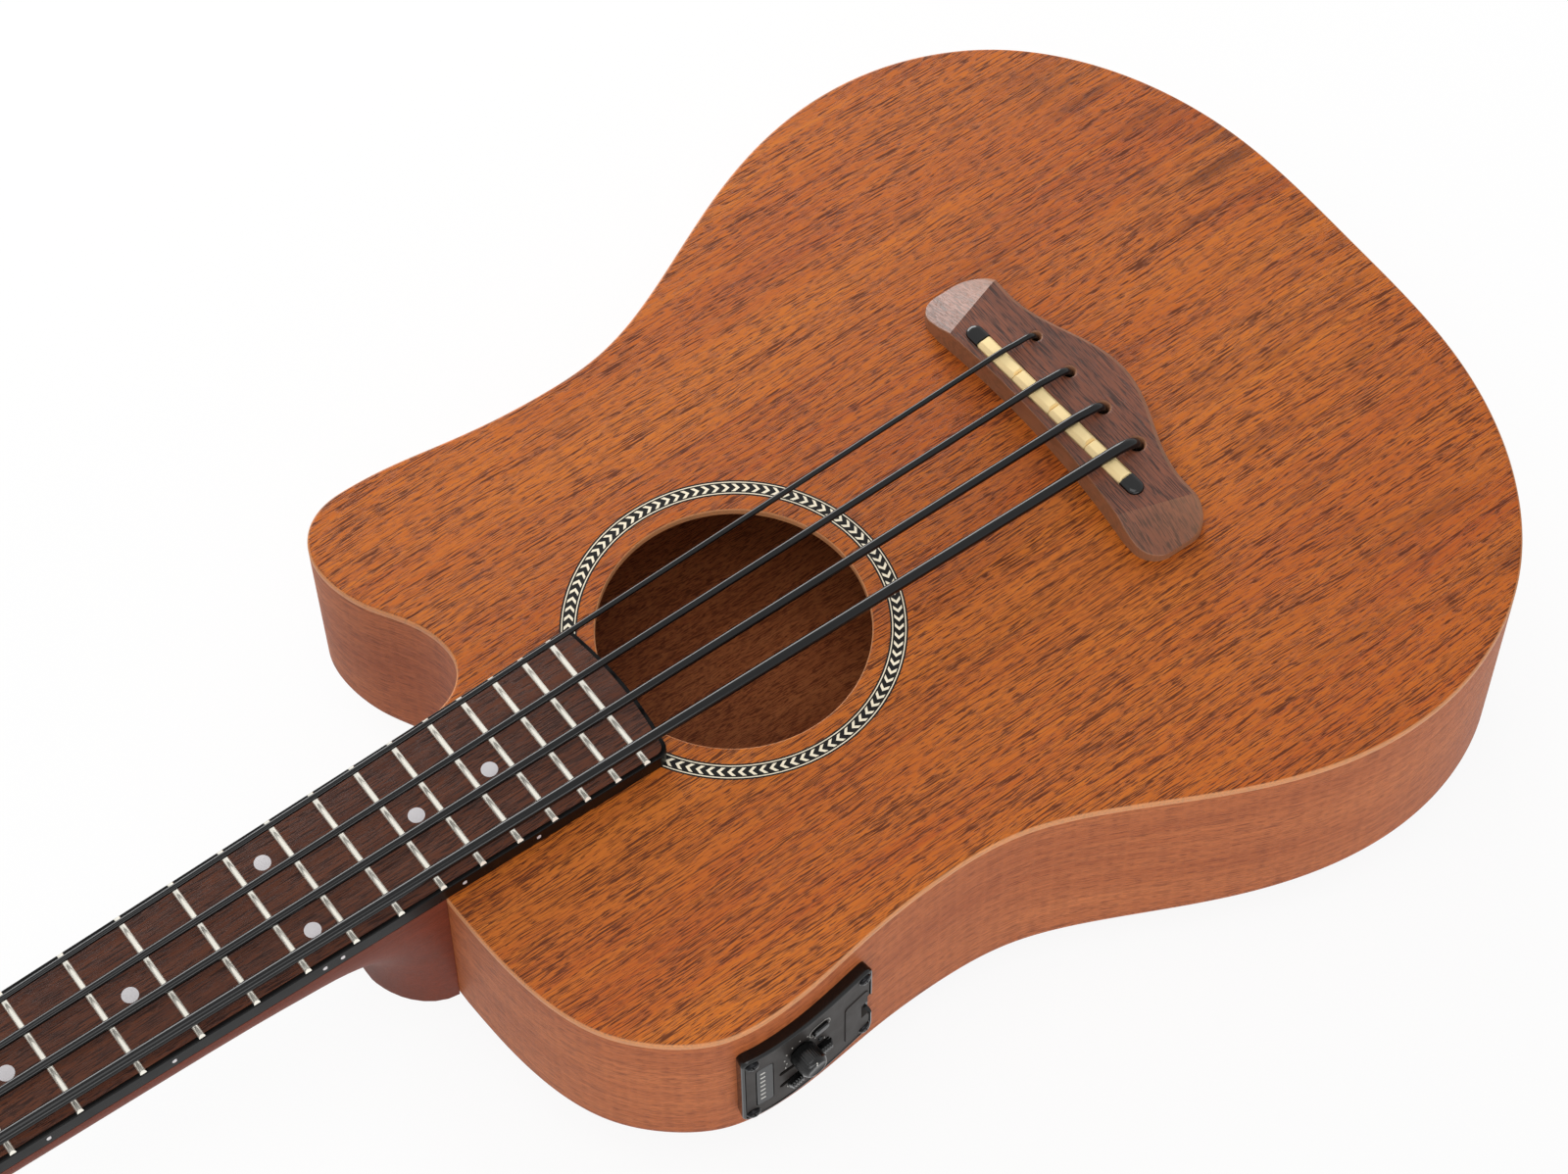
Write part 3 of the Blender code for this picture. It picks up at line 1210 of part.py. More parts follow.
def key_shape():
    """Worm, shaft and oval button along X as one body; the worm's middle is x = 0."""
    def ring(x, across, thick):
        return [(x, across * math.cos(2 * math.pi * k / WORM_STEPS),
                 thick * math.sin(2 * math.pi * k / WORM_STEPS)) for k in range(WORM_STEPS)]

    half = WORM_HALF
    shaft = KEY_SHAFT_RADIUS
    start = EAR_OFFSET + EAR_THICKNESS / 2 + 0.8
    rings = [ring(-start, shaft * 0.7, shaft * 0.7), ring(-start + 0.4, shaft, shaft),
             ring(-half - 0.1, shaft, shaft)]
    count = WORM_TURNS * WORM_STEPS
    for i in range(count + 1):
        x = -half + i * WORM_PITCH / WORM_STEPS
        inside = 0 < i < count
        section = []
        for k in range(WORM_STEPS):
            radius = worm_radius(x / WORM_PITCH - k / WORM_STEPS) if inside else WORM_ROOT_RADIUS
            angle = 2 * math.pi * k / WORM_STEPS
            section.append((x, radius * math.cos(angle), radius * math.sin(angle)))
        rings.append(section)
    rings.append(ring(half + 0.1, shaft, shaft))
    button = KEY_BUTTON_START - POST_X
    for beyond, across, thick in ((-2.5, shaft, shaft), (-2.0, 2.6, 2.6), (0.5, 2.8, 2.4), (2, 6.0, 3.0),
                                  (6, 9.0, 3.4), (11, 10.0, 3.5), (16, 9.0, 3.2), (19, 6.0, 2.6),
                                  (20.3, 2.5, 1.5)):
        rings.append(ring(button + beyond, across, thick))
    return loft(rings, screwed=True)


def post_shape():
    """String post with its collars, turned about Z, in the headstock's heights."""
    collar = PLATE_LOW - RUNNING_GAP
    low = GEAR_Z - GEAR_THICKNESS / 2
    flange = BUSHING_FLANGE + GAP
    profile = ((0, low - 1.6), (2.2, low - 1.6), (2.8, low - 1.1), (2.8, GEAR_Z + 0.5),
               (4.2, GEAR_Z + 0.6), (4.2, collar), (POST_SHANK_RADIUS, collar),
               (POST_SHANK_RADIUS, flange + 0.25), (POST_RADIUS + 0.7, flange + 0.3),
               (POST_RADIUS + 0.7, flange + 0.9), (POST_RADIUS, flange + 1.5),
               (POST_RADIUS, POST_TOP - 2.2), (POST_RADIUS + 0.6, POST_TOP - 1.4),
               (POST_RADIUS + 0.6, POST_TOP - 0.6), (POST_RADIUS - 0.2, POST_TOP), (0, POST_TOP))
    return turned(profile, 12)


def make_tuner(head, name, side, along):
    """One worm tuning machine: base plate with ears, post with wheel, key with worm, bushing."""
    base = Matrix.Translation((side * POST_X, along, 0))

    def placed(shape):
        return moved(mirrored(shape, side), base)

    plate_z = PLATE_LOW + PLATE_THICKNESS
    outline = [(x - 0.5, y - 2.3) for x, y in rounded_box(PLATE_WIDTH, PLATE_LENGTH, PLATE_CORNER, 2)]
    plate = add_piece(f"tuner_plate_{name}", placed(prism(outline, PLATE_LOW, plate_z)),
                      "black_metal", head)
    ears = []
    for x in (-EAR_OFFSET, EAR_OFFSET):
        low, high = GEAR_Z - EAR_HALF, PLATE_LOW + 0.5
        ears.append(box((x - EAR_THICKNESS / 2, -GEAR_DISTANCE - EAR_HALF, low),
                        (x + EAR_THICKNESS / 2, -GEAR_DISTANCE + EAR_HALF, high)))
    join(plate, *[placed(ear) for ear in ears])
    shaft_hole = loft([[(x, -GEAR_DISTANCE + y, GEAR_Z + z) for y, z in
                        circle(KEY_SHAFT_RADIUS + RUNNING_GAP, 12)] for x in (-9, 9)])
    post_hole = prism(circle(POST_SHANK_RADIUS + RUNNING_GAP, 12), PLATE_LOW - 5, plate_z + 5)
    cut(plate, placed(shaft_hole), placed(post_hole))

    post = add_piece(f"tuner_post_{name}", placed(post_shape()), "black_metal", head, base)
    join(post, placed(shifted(gear_wheel(), (0, 0, GEAR_Z))))
    slot = box((-POST_SLOT_WIDTH / 2, -9, POST_TOP - POST_SLOT_DEPTH),
               (POST_SLOT_WIDTH / 2, 9, POST_TOP + 5))
    cut(post, placed(slot))

    axis = base @ Matrix.Translation((0, -GEAR_DISTANCE, GEAR_Z))
    add_piece(f"tuner_key_{name}", placed(shifted(key_shape(), (0, -GEAR_DISTANCE, GEAR_Z))),
              "black_metal", head, axis)

    bore = POST_SHANK_RADIUS + RUNNING_GAP
    profile = ((bore, -BUSHING_DEPTH), (BUSHING_RADIUS, -BUSHING_DEPTH), (BUSHING_RADIUS, GAP),
               (BUSHING_FLANGE_RADIUS, GAP), (BUSHING_FLANGE_RADIUS, GAP + 0.9),
               (BUSHING_FLANGE_RADIUS - 1.2, GAP + BUSHING_FLANGE), (bore, GAP + BUSHING_FLANGE))
    add_piece(f"tuner_bushing_{name}", placed(turned_ring(profile, 12)), "black_metal", head)


def panel_middle():
    """Distance behind the joint and depth of the preamp's middle."""
    return (PANEL_START + PANEL_END) / 2, (BOX_TOP + BOX_BOTTOM) / 2


def panel_sag():
    """How far the curved side falls back from its tangent at the ends of the preamp box."""
    frame = wall_frame(*panel_middle()).inverted()
    ends = [frame @ wall_frame(behind, 0).to_translation() for behind in (PANEL_START, PANEL_END)]
    return -min(end.z for end in ends)


def box_shape(grow, outward, inward):
    """The preamp box's block, grown all round, between two distances from the side's face."""
    half = (BOX_BOTTOM - BOX_TOP) / 2 + grow
    block = box((-BOX_HEAD_HALF - grow, -half, inward), (BOX_TAIL_HALF + grow, half, outward))
    return moved(block, wall_frame(*panel_middle()))


def slot_frames():
    """Frames of the two slider slots: bass and treble."""
    return wall_frame(*BASS_SLOT_PLACE), wall_frame(*TREBLE_SLOT_PLACE, TREBLE_SLOT_TURN)


def tray_shapes():
    """Outlines of the tray's front and body, for the tray and its cavity."""
    front = rounded_box(2 * TRAY_FRONT_HALF, TRAY_FRONT_HEIGHT, 1.5, 2)
    body = rounded_box(2 * TRAY_BODY_HALF, TRAY_BODY_HEIGHT, 1.0, 1)
    return front, body


def make_preamp(root):
    """Panel on the bass side with its box, controls, display window and battery tray."""
    ends = (0, 0.8, PANEL_CORNER)
    length = PANEL_END - PANEL_START
    stations = [*ends, *np.linspace(PANEL_CORNER, length - PANEL_CORNER, 9)[1:-1],
                *[length - end for end in reversed(ends)]]
    rings = []
    for station in stations:
        from_end = min(station, length - station)
        into = max(0.0, PANEL_CORNER - from_end)
        inset = PANEL_CORNER - math.sqrt(max(0.0, PANEL_CORNER ** 2 - into ** 2))
        rise = min(PANEL_CHAMFER, PANEL_CHAMFER * (0.3 + from_end))
        frame = wall_frame(PANEL_START + station, 0)
        top, low = -PANEL_TOP - inset, -PANEL_BOTTOM + inset
        face = PANEL_THICKNESS - PANEL_CHAMFER + rise
        section = ((top, GAP), (top, PANEL_THICKNESS - PANEL_CHAMFER), (top - PANEL_CHAMFER, face),
                   (low + PANEL_CHAMFER, face), (low, PANEL_THICKNESS - PANEL_CHAMFER), (low, GAP))
        rings.append([tuple(frame @ Vector((0, z, out))) for z, out in section])
    panel = add_piece("preamp_panel", loft(rings), "charcoal_plastic", root)

    sag = panel_sag()
    box_front = -sag - 0.4
    preamp_box = add_piece("preamp_box", box_shape(0, box_front, -BOX_DEPTH), "black_plastic", root)

    knob_place = wall_frame(*KNOB_PLACE)
    slots = slot_frames()
    button_place = wall_frame(*BUTTON_PLACE)
    display_place = wall_frame(*DISPLAY_PLACE)
    tray_place = wall_frame(*TRAY_PLACE)
    front, body = tray_shapes()
    through = (-6, 12)
    cut(panel,
        moved(prism(circle(KNOB_STEM_RADIUS + RUNNING_GAP, 12), *through), knob_place),
        *[moved(prism(capsule(2 * SLOT_HALF, SLOT_WIDTH, 3), *through), slot) for slot in slots],
        moved(prism(capsule(BUTTON_LENGTH + 0.4, BUTTON_WIDTH + 0.4, 4), *through), button_place),
        moved(prism(rounded_box(DISPLAY_LENGTH + 0.4, DISPLAY_HEIGHT + 0.4, 1.2, 2),
                    PANEL_THICKNESS - DISPLAY_RECESS, 12), display_place),
        moved(prism([(x * 1.05, y * 1.02) for x, y in front], *through), tray_place))

    stem = [(KNOB_STEM_RADIUS, -1.2), (KNOB_STEM_RADIUS, PANEL_THICKNESS + 0.35),
            (KNOB_RADIUS - 0.4, PANEL_THICKNESS + 0.4), (KNOB_RADIUS, PANEL_THICKNESS + 1.0),
            (KNOB_RADIUS, PANEL_THICKNESS + KNOB_HEIGHT - 1.4),
            (KNOB_RADIUS - 1.3, PANEL_THICKNESS + KNOB_HEIGHT)]
    knob = moved(loft([[(x, y, z) for x, y in circle(r, 16)] for r, z in stem]), knob_place)
    add_piece("volume_knob", knob, "black_plastic", root, knob_place)

    for name, slot, rest in (("bass_slider", slots[0], BASS_SLIDER_REST),
                             ("treble_slider", slots[1], TREBLE_SLIDER_REST)):
        place = slot @ Matrix.Translation((rest, 0, 0))
        narrow = SLOT_WIDTH / 2 - RUNNING_GAP
        stem = box((-SLIDER_STEM_HALF, -narrow, -1.2), (SLIDER_STEM_HALF, narrow, PANEL_THICKNESS + 1))
        slider = add_piece(name, moved(stem, place), "black_plastic", root, place)
        foot = PANEL_THICKNESS + 0.45
        tab = []
        for inset, rise in ((0, 0), (0, 0.8), (0.7, 2.2)):
            long, wide = SLIDER_TAB - inset, SLIDER_TAB_HALF_WIDTH - inset
            tab.append([(-long, -wide, foot + rise), (long, -wide, foot + rise),
                        (long, wide, foot + rise), (-long, wide, foot + rise)])
        join(slider, moved(loft(tab), place))

    rise = PANEL_THICKNESS + BUTTON_RISE
    levels = ((0, -1.0), (0, rise - 0.4), (0.4, rise))
    rings = [[(x, y, z) for x, y in capsule(BUTTON_LENGTH - 2 * inset, BUTTON_WIDTH - 2 * inset, 4)]
             for inset, z in levels]
    add_piece("tuner_button", moved(loft(rings), button_place), "black_plastic", root, button_place)

    seat = PANEL_THICKNESS - DISPLAY_RECESS + GAP
    window = prism(rounded_box(DISPLAY_LENGTH, DISPLAY_HEIGHT, 1.0, 2), seat, seat + WINDOW_THICKNESS)
    add_piece("display_window", moved(window, display_place), "dark_glass", root)

    tray = add_piece("battery_tray", moved(prism(body, -TRAY_DEPTH, 1.5), tray_place),
                     "charcoal_plastic", root, tray_place)
    join(tray, moved(prism(front, 0.6, PANEL_THICKNESS + 0.15), tray_place))
    across = Matrix.Translation((0, 0, -TRAY_DEPTH / 2 + 0.4)) @ Matrix.Rotation(math.pi / 2, 4, "Y")
    pocket = prism(circle(CELL_RADIUS + RUNNING_GAP, CELL_SEGMENTS), -8, CELL_THICKNESS + RUNNING_GAP)
    cut(tray, moved(pocket, tray_place @ across))
    high = PANEL_THICKNESS + 5
    notch = box((2.4, -NOTCH_HALF, PANEL_THICKNESS - NOTCH_DEPTH), (9, NOTCH_HALF, high))
    recess = box((3, -NOTCH_HALF - 2, PANEL_THICKNESS - NOTCH_DEPTH - RUNNING_GAP),
                 (9.2, NOTCH_HALF + 2, high))
    cut(tray, moved(notch, tray_place))
    cut(panel, moved(recess, tray_place))
    cells = turned(((0, -CELL_THICKNESS), (CELL_RADIUS - 0.5, -CELL_THICKNESS),
                    (CELL_RADIUS, -CELL_THICKNESS + 0.5), (CELL_RADIUS, -0.4), (CELL_RADIUS - 0.6, 0),
                    (CELL_RADIUS, 0.4), (CELL_RADIUS, CELL_THICKNESS - 0.5),
                    (CELL_RADIUS - 0.5, CELL_THICKNESS), (0, CELL_THICKNESS)), CELL_SEGMENTS)
    add_piece("coin_cells", moved(cells, tray_place @ across), "steel", root, tray_place @ across)
    cavity = prism([(x * 1.06, y * 1.02) for x, y in body], -TRAY_DEPTH - TRAY_BACK_GAP, 12)
    cut(preamp_box, moved(cavity, tray_place))


def jack_line():
    """Frame of the end-pin jack: Z points into the body."""
    return Matrix.Translation((0, TAIL_Y, -JACK_DEPTH)) @ Matrix.Rotation(-math.pi / 2, 4, "X")


def make_jack(root):
    """End-pin jack with its strap button, bore and inner nut, and the lead to the preamp."""
    nut = SIDE_THICKNESS + TAIL_BLOCK_LENGTH + GAP
    outer = ((JACK_BORE_RADIUS + 0.6, -JACK_OUTSIDE), (7.0, -JACK_OUTSIDE + 0.6),
             (7.4, -JACK_OUTSIDE + 2.2), (5.9, -JACK_OUTSIDE + 4.2), (5.6, -3.4), (8.0, -1.8),
             (8.0, -GAP), (JACK_BARREL_RADIUS, -GAP), (JACK_BARREL_RADIUS, nut), (8.4, nut),
             (8.4, nut + 2.4),
             (JACK_BARREL_RADIUS, nut + 2.4), (JACK_BARREL_RADIUS, JACK_INSIDE - 1), (4.2, JACK_INSIDE))
    rings = [[(x, y, z) for x, y in circle(r, 16)] for r, z in reversed(outer)]
    bore = [[(x, y, z) for x, y in circle(JACK_BORE_RADIUS, 16)]
            for z in (-JACK_OUTSIDE + 0.6, JACK_INSIDE - 4)]
    add_piece("output_jack", moved(loft(rings + bore), jack_line()), "black_metal", root)


def make_leads(root):
    """Pickup lead from the saddle and jack lead from the end pin, both into the preamp box."""
    frame = wall_frame(*panel_middle())
    pickup_end = frame @ Vector((6, 6, -BOX_DEPTH - GAP))
    pickup_out = frame @ Vector((6, 6, -BOX_DEPTH - 8))
    start = (LEAD_X, saddle_y(LEAD_X))
    route = [(*start, SADDLE_SLOT_FLOOR - 0.3), (*start, -4), (*start, -9), (-48, 8, -14), (-66, 44, -17),
             (-82, 88, -18), (-90, 130, -19), tuple(pickup_out), tuple(pickup_end)]
    add_piece("pickup_lead", tube(spline(route, 2), LEAD_DIAMETER / 2), "black_plastic", root)
    jack_end = frame @ Vector((8, -8, -BOX_DEPTH - GAP))
    jack_out = frame @ Vector((8, -8, -BOX_DEPTH - 9))
    inside = TAIL_Y + JACK_INSIDE + GAP
    route = [(0, inside, -JACK_DEPTH), (0, inside + 5, -JACK_DEPTH), (-4, inside + 11, -JACK_DEPTH - 3),
             (-30, inside + 16, -66),
             (-75, inside + 16, -78), (-118, -62, -74), (-136, -22, -66), (-126, 30, -56),
             (-110, 80, -48), (-102, 120, -46), (-98, 150, -44), tuple(jack_out), tuple(jack_end)]
    add_piece("jack_lead", tube(spline(route, 2), LEAD_DIAMETER / 2), "black_plastic", root)


def ground_offset():
    """Moves the instrument over the ground: lengthwise middle at the origin, back's lowest line at 0."""
    head_end = PIVOT_Y + HEAD_CROWN[-1][1] * math.cos(HEAD_TILT)
    tail_end = TAIL_Y - JACK_OUTSIDE
    deepest = max(back_depth(0, y) for y in np.linspace(TAIL_Y, JOINT_Y, 400))
    return Vector((0, -(head_end + tail_end) / 2, deepest))


def main():
    clear_scene()
    offset = ground_offset()
    print("instrument origin in mm:", [round(value, 4) for value in offset])
    root = add_empty("instrument", matrix=Matrix.Translation(offset))
    head = add_empty("headstock_frame", root, head_frame())
    make_soundboard(root)
    make_rosette(root)
    make_sides(root)
    make_back(root)
    make_blocks(root)
    make_linings(root)
    make_braces(root)
    make_bridge(root)
    make_saddles(root)
    make_neck(root)
    make_truss_rod(root)
    make_fingerboard(root)
    make_nut(root)
    make_headstock_face(head)
    for name, side, along, _ in post_places():
        make_tuner(head, name, side, along)
    make_strings(root)
    make_preamp(root)
    make_jack(root)
    make_leads(root)


main()
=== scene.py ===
"""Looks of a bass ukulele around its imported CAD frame, laid out as a Blender add-on.

Shapes are written in millimetres in the instrument's frame: the soundboard's face is z = 0, the
strings cross the saddle near y = 0, +Y runs to the headstock and +X to the treble side. A finished
piece holds its place in its vertices, in metres of the row frame, and its object is at the origin.
"""

import functools
import math

import bmesh
import bpy
import numpy as np
from mathutils import Matrix, Vector


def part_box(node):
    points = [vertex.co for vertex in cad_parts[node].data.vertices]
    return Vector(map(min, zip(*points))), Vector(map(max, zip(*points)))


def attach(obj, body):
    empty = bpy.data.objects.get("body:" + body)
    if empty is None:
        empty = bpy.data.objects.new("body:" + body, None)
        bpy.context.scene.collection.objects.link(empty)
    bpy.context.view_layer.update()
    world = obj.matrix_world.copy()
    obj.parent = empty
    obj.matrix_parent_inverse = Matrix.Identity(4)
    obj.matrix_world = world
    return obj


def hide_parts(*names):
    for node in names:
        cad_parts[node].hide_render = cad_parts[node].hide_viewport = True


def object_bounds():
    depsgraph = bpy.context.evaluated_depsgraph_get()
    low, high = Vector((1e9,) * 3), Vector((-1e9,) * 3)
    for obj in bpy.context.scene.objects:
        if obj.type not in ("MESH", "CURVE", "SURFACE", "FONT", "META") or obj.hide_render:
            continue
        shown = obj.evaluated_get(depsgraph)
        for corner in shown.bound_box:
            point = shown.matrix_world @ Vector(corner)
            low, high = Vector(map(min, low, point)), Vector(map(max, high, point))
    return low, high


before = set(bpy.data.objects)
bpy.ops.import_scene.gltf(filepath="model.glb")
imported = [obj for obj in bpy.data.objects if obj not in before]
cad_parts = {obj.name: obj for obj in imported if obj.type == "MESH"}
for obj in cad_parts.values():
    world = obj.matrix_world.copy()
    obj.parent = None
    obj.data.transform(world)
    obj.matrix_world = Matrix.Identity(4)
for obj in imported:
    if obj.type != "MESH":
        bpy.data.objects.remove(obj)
CAD_LOW, CAD_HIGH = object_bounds()

bl_info = {
    "name": "Bass ukulele looks",
    "version": (1, 0, 0),
    "blender": (4, 5, 0),
    "location": "3D View > Sidebar > Ukulele",
    "description": "Builds the visible pieces of a bass ukulele round its CAD frame",
    "category": "Add Mesh",
}

MM = 0.001
NAMES = ("e", "a", "d", "g")

# Sizes in millimetres that the CAD part is drawn with, and the room that cutters leave
SCALE_LENGTH = 584.2
JOINT_Y = SCALE_LENGTH * 2 ** (-14 / 12)
FRET_COUNT = 20
STRING_DIAMETERS = (3.9, 3.2, 2.6, 2.0)
SADDLE_SPREAD = 54.0
NUT_SPREAD = 33.6
NECK_DEPTH = 71.8
TAIL_DEPTH = 96.8
BACK_LENGTH_RADIUS = 2500.0
BACK_CROSS_RADIUS = 625.0
TOP_THICKNESS = 2.6
SIDE_THICKNESS = 2.2
BACK_THICKNESS = 2.5
SOUNDHOLE_RADIUS = 45.0
HOLE_Y = JOINT_Y - 129.75
ROSETTE_INNER = 50.85
ROSETTE_OUTER = 56.55
ROSETTE_DEPTH = 1.0
ROSETTE_STEPS = 144
ROSETTE_ROOM = 0.04
CHEVRON_RADIUS = 53.7
TENON_HALF = 11.0
TENON_LENGTH = 22.0
TENON_DEPTH = 55.0
ROD_CHANNEL_HALF = 3.25
ROD_CHANNEL_DEPTH = 9.75
NECK_JOINT_POINTS = (14.75, 0.0, -14.75)
BACK_MIDDLE_SHARE = 0.512
NUT_HALF = 21.4
BOARD_SPREAD = 0.01754
BOARD_BOTTOM = 0.3
BOARD_TOP = 6.6
BOARD_PAST_LAST_FRET = 11.03
BOARD_END_BULGE = 2.0
BOARD_CORNER = 4.5
BINDING_WIDTH = 1.5
BINDING_TOP = BOARD_TOP - 0.35
FRET_CROWN = 7.6
FRET_WIDTH = 2.2
NUT_LENGTH = 6.0
NECK_DEPTH_AT_NUT = 15.0
NECK_DEEPENS = 0.0125
HEEL_DEPTH = 72.0
HEEL_CAP_HALF = 24.6
HEEL_CAP_REACH = 20.2
HEEL_COVE_REACH = 14.8
HEEL_COVE_DEPTH = 31.0
HEEL_COVE_HEIGHT = 12.0
HEEL_BLEND_START = 16.0
HEEL_BLEND_LENGTH = 40.0
HEEL_PLAN_POWER = 1.8
NECK_ROUND_POWER = 2.4
COVE_JOIN_POWER = 6
BRIDGE_HALF = 63.5
BRIDGE_HEIGHT = 10.0
BRIDGE_TIP_HEIGHT = 3.0
BRIDGE_FRONT = 9.0
BRIDGE_FRONT_HOLLOW = 3.4
BRIDGE_REAR = -18.2
BRIDGE_BELLY = 12.5
BRIDGE_BELLY_HALF = 47.0
BRIDGE_CORNER = 9.0
FACET_REAR = (53.0, -16.0)
FACET_FRONT = (44.6, 9.3)
STRING_HOLE_Y = -14.5
STRING_HOLE_ROOM = 0.45
SADDLE_SLANT = math.radians(3.2)
SADDLE_Y = -0.85
HOUSING_LENGTH = 86.0
HOUSING_WIDTH = 6.4
SADDLE_FLOOR = 4.0
SADDLE_SEAT = 6.5
SADDLE_ROW = 71.6
SADDLE_WIDTH = 5.8
SADDLE_TOP = 11.95
HEAD_TILT = math.radians(12.0)
HEAD_RISE = 1.6
OVERLAY = 1.6
HEAD_THICKNESS = 14.0
HEAD_OUTLINE = ((21.4, 0), (25.0, 10), (29.3, 19), (31.0, 32), (33.0, 75), (36.0, 125), (37.5, 142))
HEAD_CROWN = ((34.0, 149.5), (22.0, 150.5), (10.0, 153.5), (0.0, 155.0))
HEAD_SLAB_START = 6.0
POST_X = 21.5
POST_Y = (38.0, 92.0, 92.0, 38.0)
POST_RADIUS = 3.9
POST_SHANK = 3.0
POST_HOLE_RADIUS = 4.35
POST_TOP = 17.8
PLATE_THICKNESS = 1.4
PLATE_SIZE = (18.0, 23.5)
PLATE_SCREWS = ((-6.9, 6.9), (5.9, 6.9))
EAR_SIZE = (6.8, 7.6)
PLATE_LOW = -OVERLAY - 0.5 - HEAD_THICKNESS - PLATE_THICKNESS
GEAR_TEETH = 16
GEAR_MODULE = 0.8
GEAR_Z = PLATE_LOW - 3.65
GEAR_RADIUS = GEAR_TEETH * GEAR_MODULE / 2
WORM_RADIUS = 2.6
WORM_TIP = WORM_RADIUS + 0.875 * GEAR_MODULE
WORM_ROOT = WORM_RADIUS - 1.0625 * GEAR_MODULE
WORM_PITCH = math.pi * GEAR_MODULE
WORM_HALF = 1.5 * WORM_PITCH
GEAR_DISTANCE = GEAR_RADIUS + WORM_RADIUS + 0.15
EAR_OFFSET = WORM_HALF + 1.53
KEY_SHAFT = 1.75
KEY_REACH = 16.5
KEY_STEPS = 40
WRAP_CLEARANCE = 0.3
WRAP_SPACE = 0.55
WRAP_START = 3.95
WRAP_TURNS = 2
WRAP_STEPS = 28
PANEL_START = 44.75
PANEL_END = 96.25
PANEL_TOP = 13.4
PANEL_BOTTOM = 55.4
PANEL_MIDDLE = ((PANEL_START + PANEL_END) / 2, (PANEL_TOP + PANEL_BOTTOM) / 2)
PANEL_THICKNESS = 4.3
BEND_STRIP = 2.0
BOX_DEPTH = 26.0
BOX_HOLE = ((-23.45, -17.55, -12.0), (24.45, 17.55, 12.0))
KNOB_PLACE = (65.25, 27.0)
KNOB_HEIGHT = 8.5
KNOB_HOLE_RADIUS = 3.2
BASS_SLOT = (67.25, 35.0, 0.0)
TREBLE_SLOT = (67.25, 42.25, math.radians(9.9))
SLOT_LENGTH = 20.0
SLOT_WIDTH = 2.4
slideR_RESTS = {"bass_slider": (BASS_SLOT, 7.0), "treble_slider": (TREBLE_SLOT, -5.0)}
BUTTON_PLACE = (73.25, 22.7)
BUTTON_SIZE = (6.5, 3.2)
LAMP_PLACE = (73.25, 30.2)
DISPLAY_PLACE = (52.25, 35.25)
DISPLAY_SIZE = (6.0, 25.5)
TRAY_PLACE = (89.0, 38.0)
TRAY_FRONT = (10.1, 23.8)
TRAY_BODY = (7.8, 22.8)
TRAY_DEPTH = 22.4
CELL_RADIUS = 10.0
CELL_THICKNESS = 3.2
JACK_DEPTH = 48.0
JACK_HOLE_RADIUS = 6.2
LEAD_DIAMETER = 2.4
LEAD_X = -38.0
LEAD_ROOM = 0.25
FLOOR_HALF = 40.0
FLOOR_DROP = 0.0002
SENSOR_WIDTH = 36.0


def linear(channel):
    """One sRGB channel, 0 to 1, as linear light."""
    return channel / 12.92 if channel <= 0.04045 else ((channel + 0.055) / 1.055) ** 2.4


def colour(text):
    """Linear RGBA of an sRGB hex colour."""
    return (*[linear(int(text[i:i + 2], 16) / 255) for i in (1, 3, 5)], 1.0)


def size_setting(label, use, default):
    """A length in metres whose default is given in millimetres."""
    return bpy.props.FloatProperty(name=label, description=use, default=default * MM, min=0.0,
                                   precision=5, unit="LENGTH")


def share_setting(label, use, default):
    """A plain share or factor."""
    return bpy.props.FloatProperty(name=label, description=use, default=default, min=0.0)


def colour_setting(label, use, default):
    """A colour whose default is an sRGB hex text."""
    return bpy.props.FloatVectorProperty(name=label, description=use, default=colour(default),
                                         size=4, min=0.0, max=1.0, subtype="COLOR")


class BodySettings(bpy.types.PropertyGroup):
    """Sizes and colours of the sound box."""
    edge: size_setting("Edge rounding", "Radius of the soundboard's outer edge", 1.1)
    back_edge: size_setting("Back edge rounding", "Radius of the back's outer edge", 1.6)
    hole_edge: size_setting("Soundhole rounding", "Radius of the soundhole's upper edge", 0.7)
    glue_line: size_setting("Glue line place", "Distance of the top's glue lines from its middle",
                            65.5)
    pore_length: size_setting("Pore length", "Spacing of the wood's pores along the grain", 5.0)
    pore_width: size_setting("Pore width", "Spacing of the wood's pores across the grain", 0.23)
    chevrons: bpy.props.IntProperty(name="Chevrons", description="Chevrons round the rosette",
                                    default=100, min=8)
    top_light: colour_setting("Top, light", "Light tone of the top's mahogany", "#CC7426")
    top_dark: colour_setting("Top, dark", "Dark tone of the top's mahogany", "#A64A1A")
    top_pore: colour_setting("Top, pores", "Tone of the top's pores", "#3E1406")
    # Painted highlight: the lighter tone of the rounded edge where it catches the lamps, partly
    # sanded wood with less stain
    top_edge_highlight: colour_setting("Top, edge", "Tone of the top's rounded edge", "#E4A676")
    side_light: colour_setting("Side, light", "Light tone of the sides", "#CA7846")
    side_dark: colour_setting("Side, dark", "Dark tone of the sides", "#9E4F28")
    side_pore: colour_setting("Side, pores", "Tone of the sides' pores", "#58220F")
    inlay_light: colour_setting("Inlay, light", "Light inlay of the rosette", "#F6EAD0")


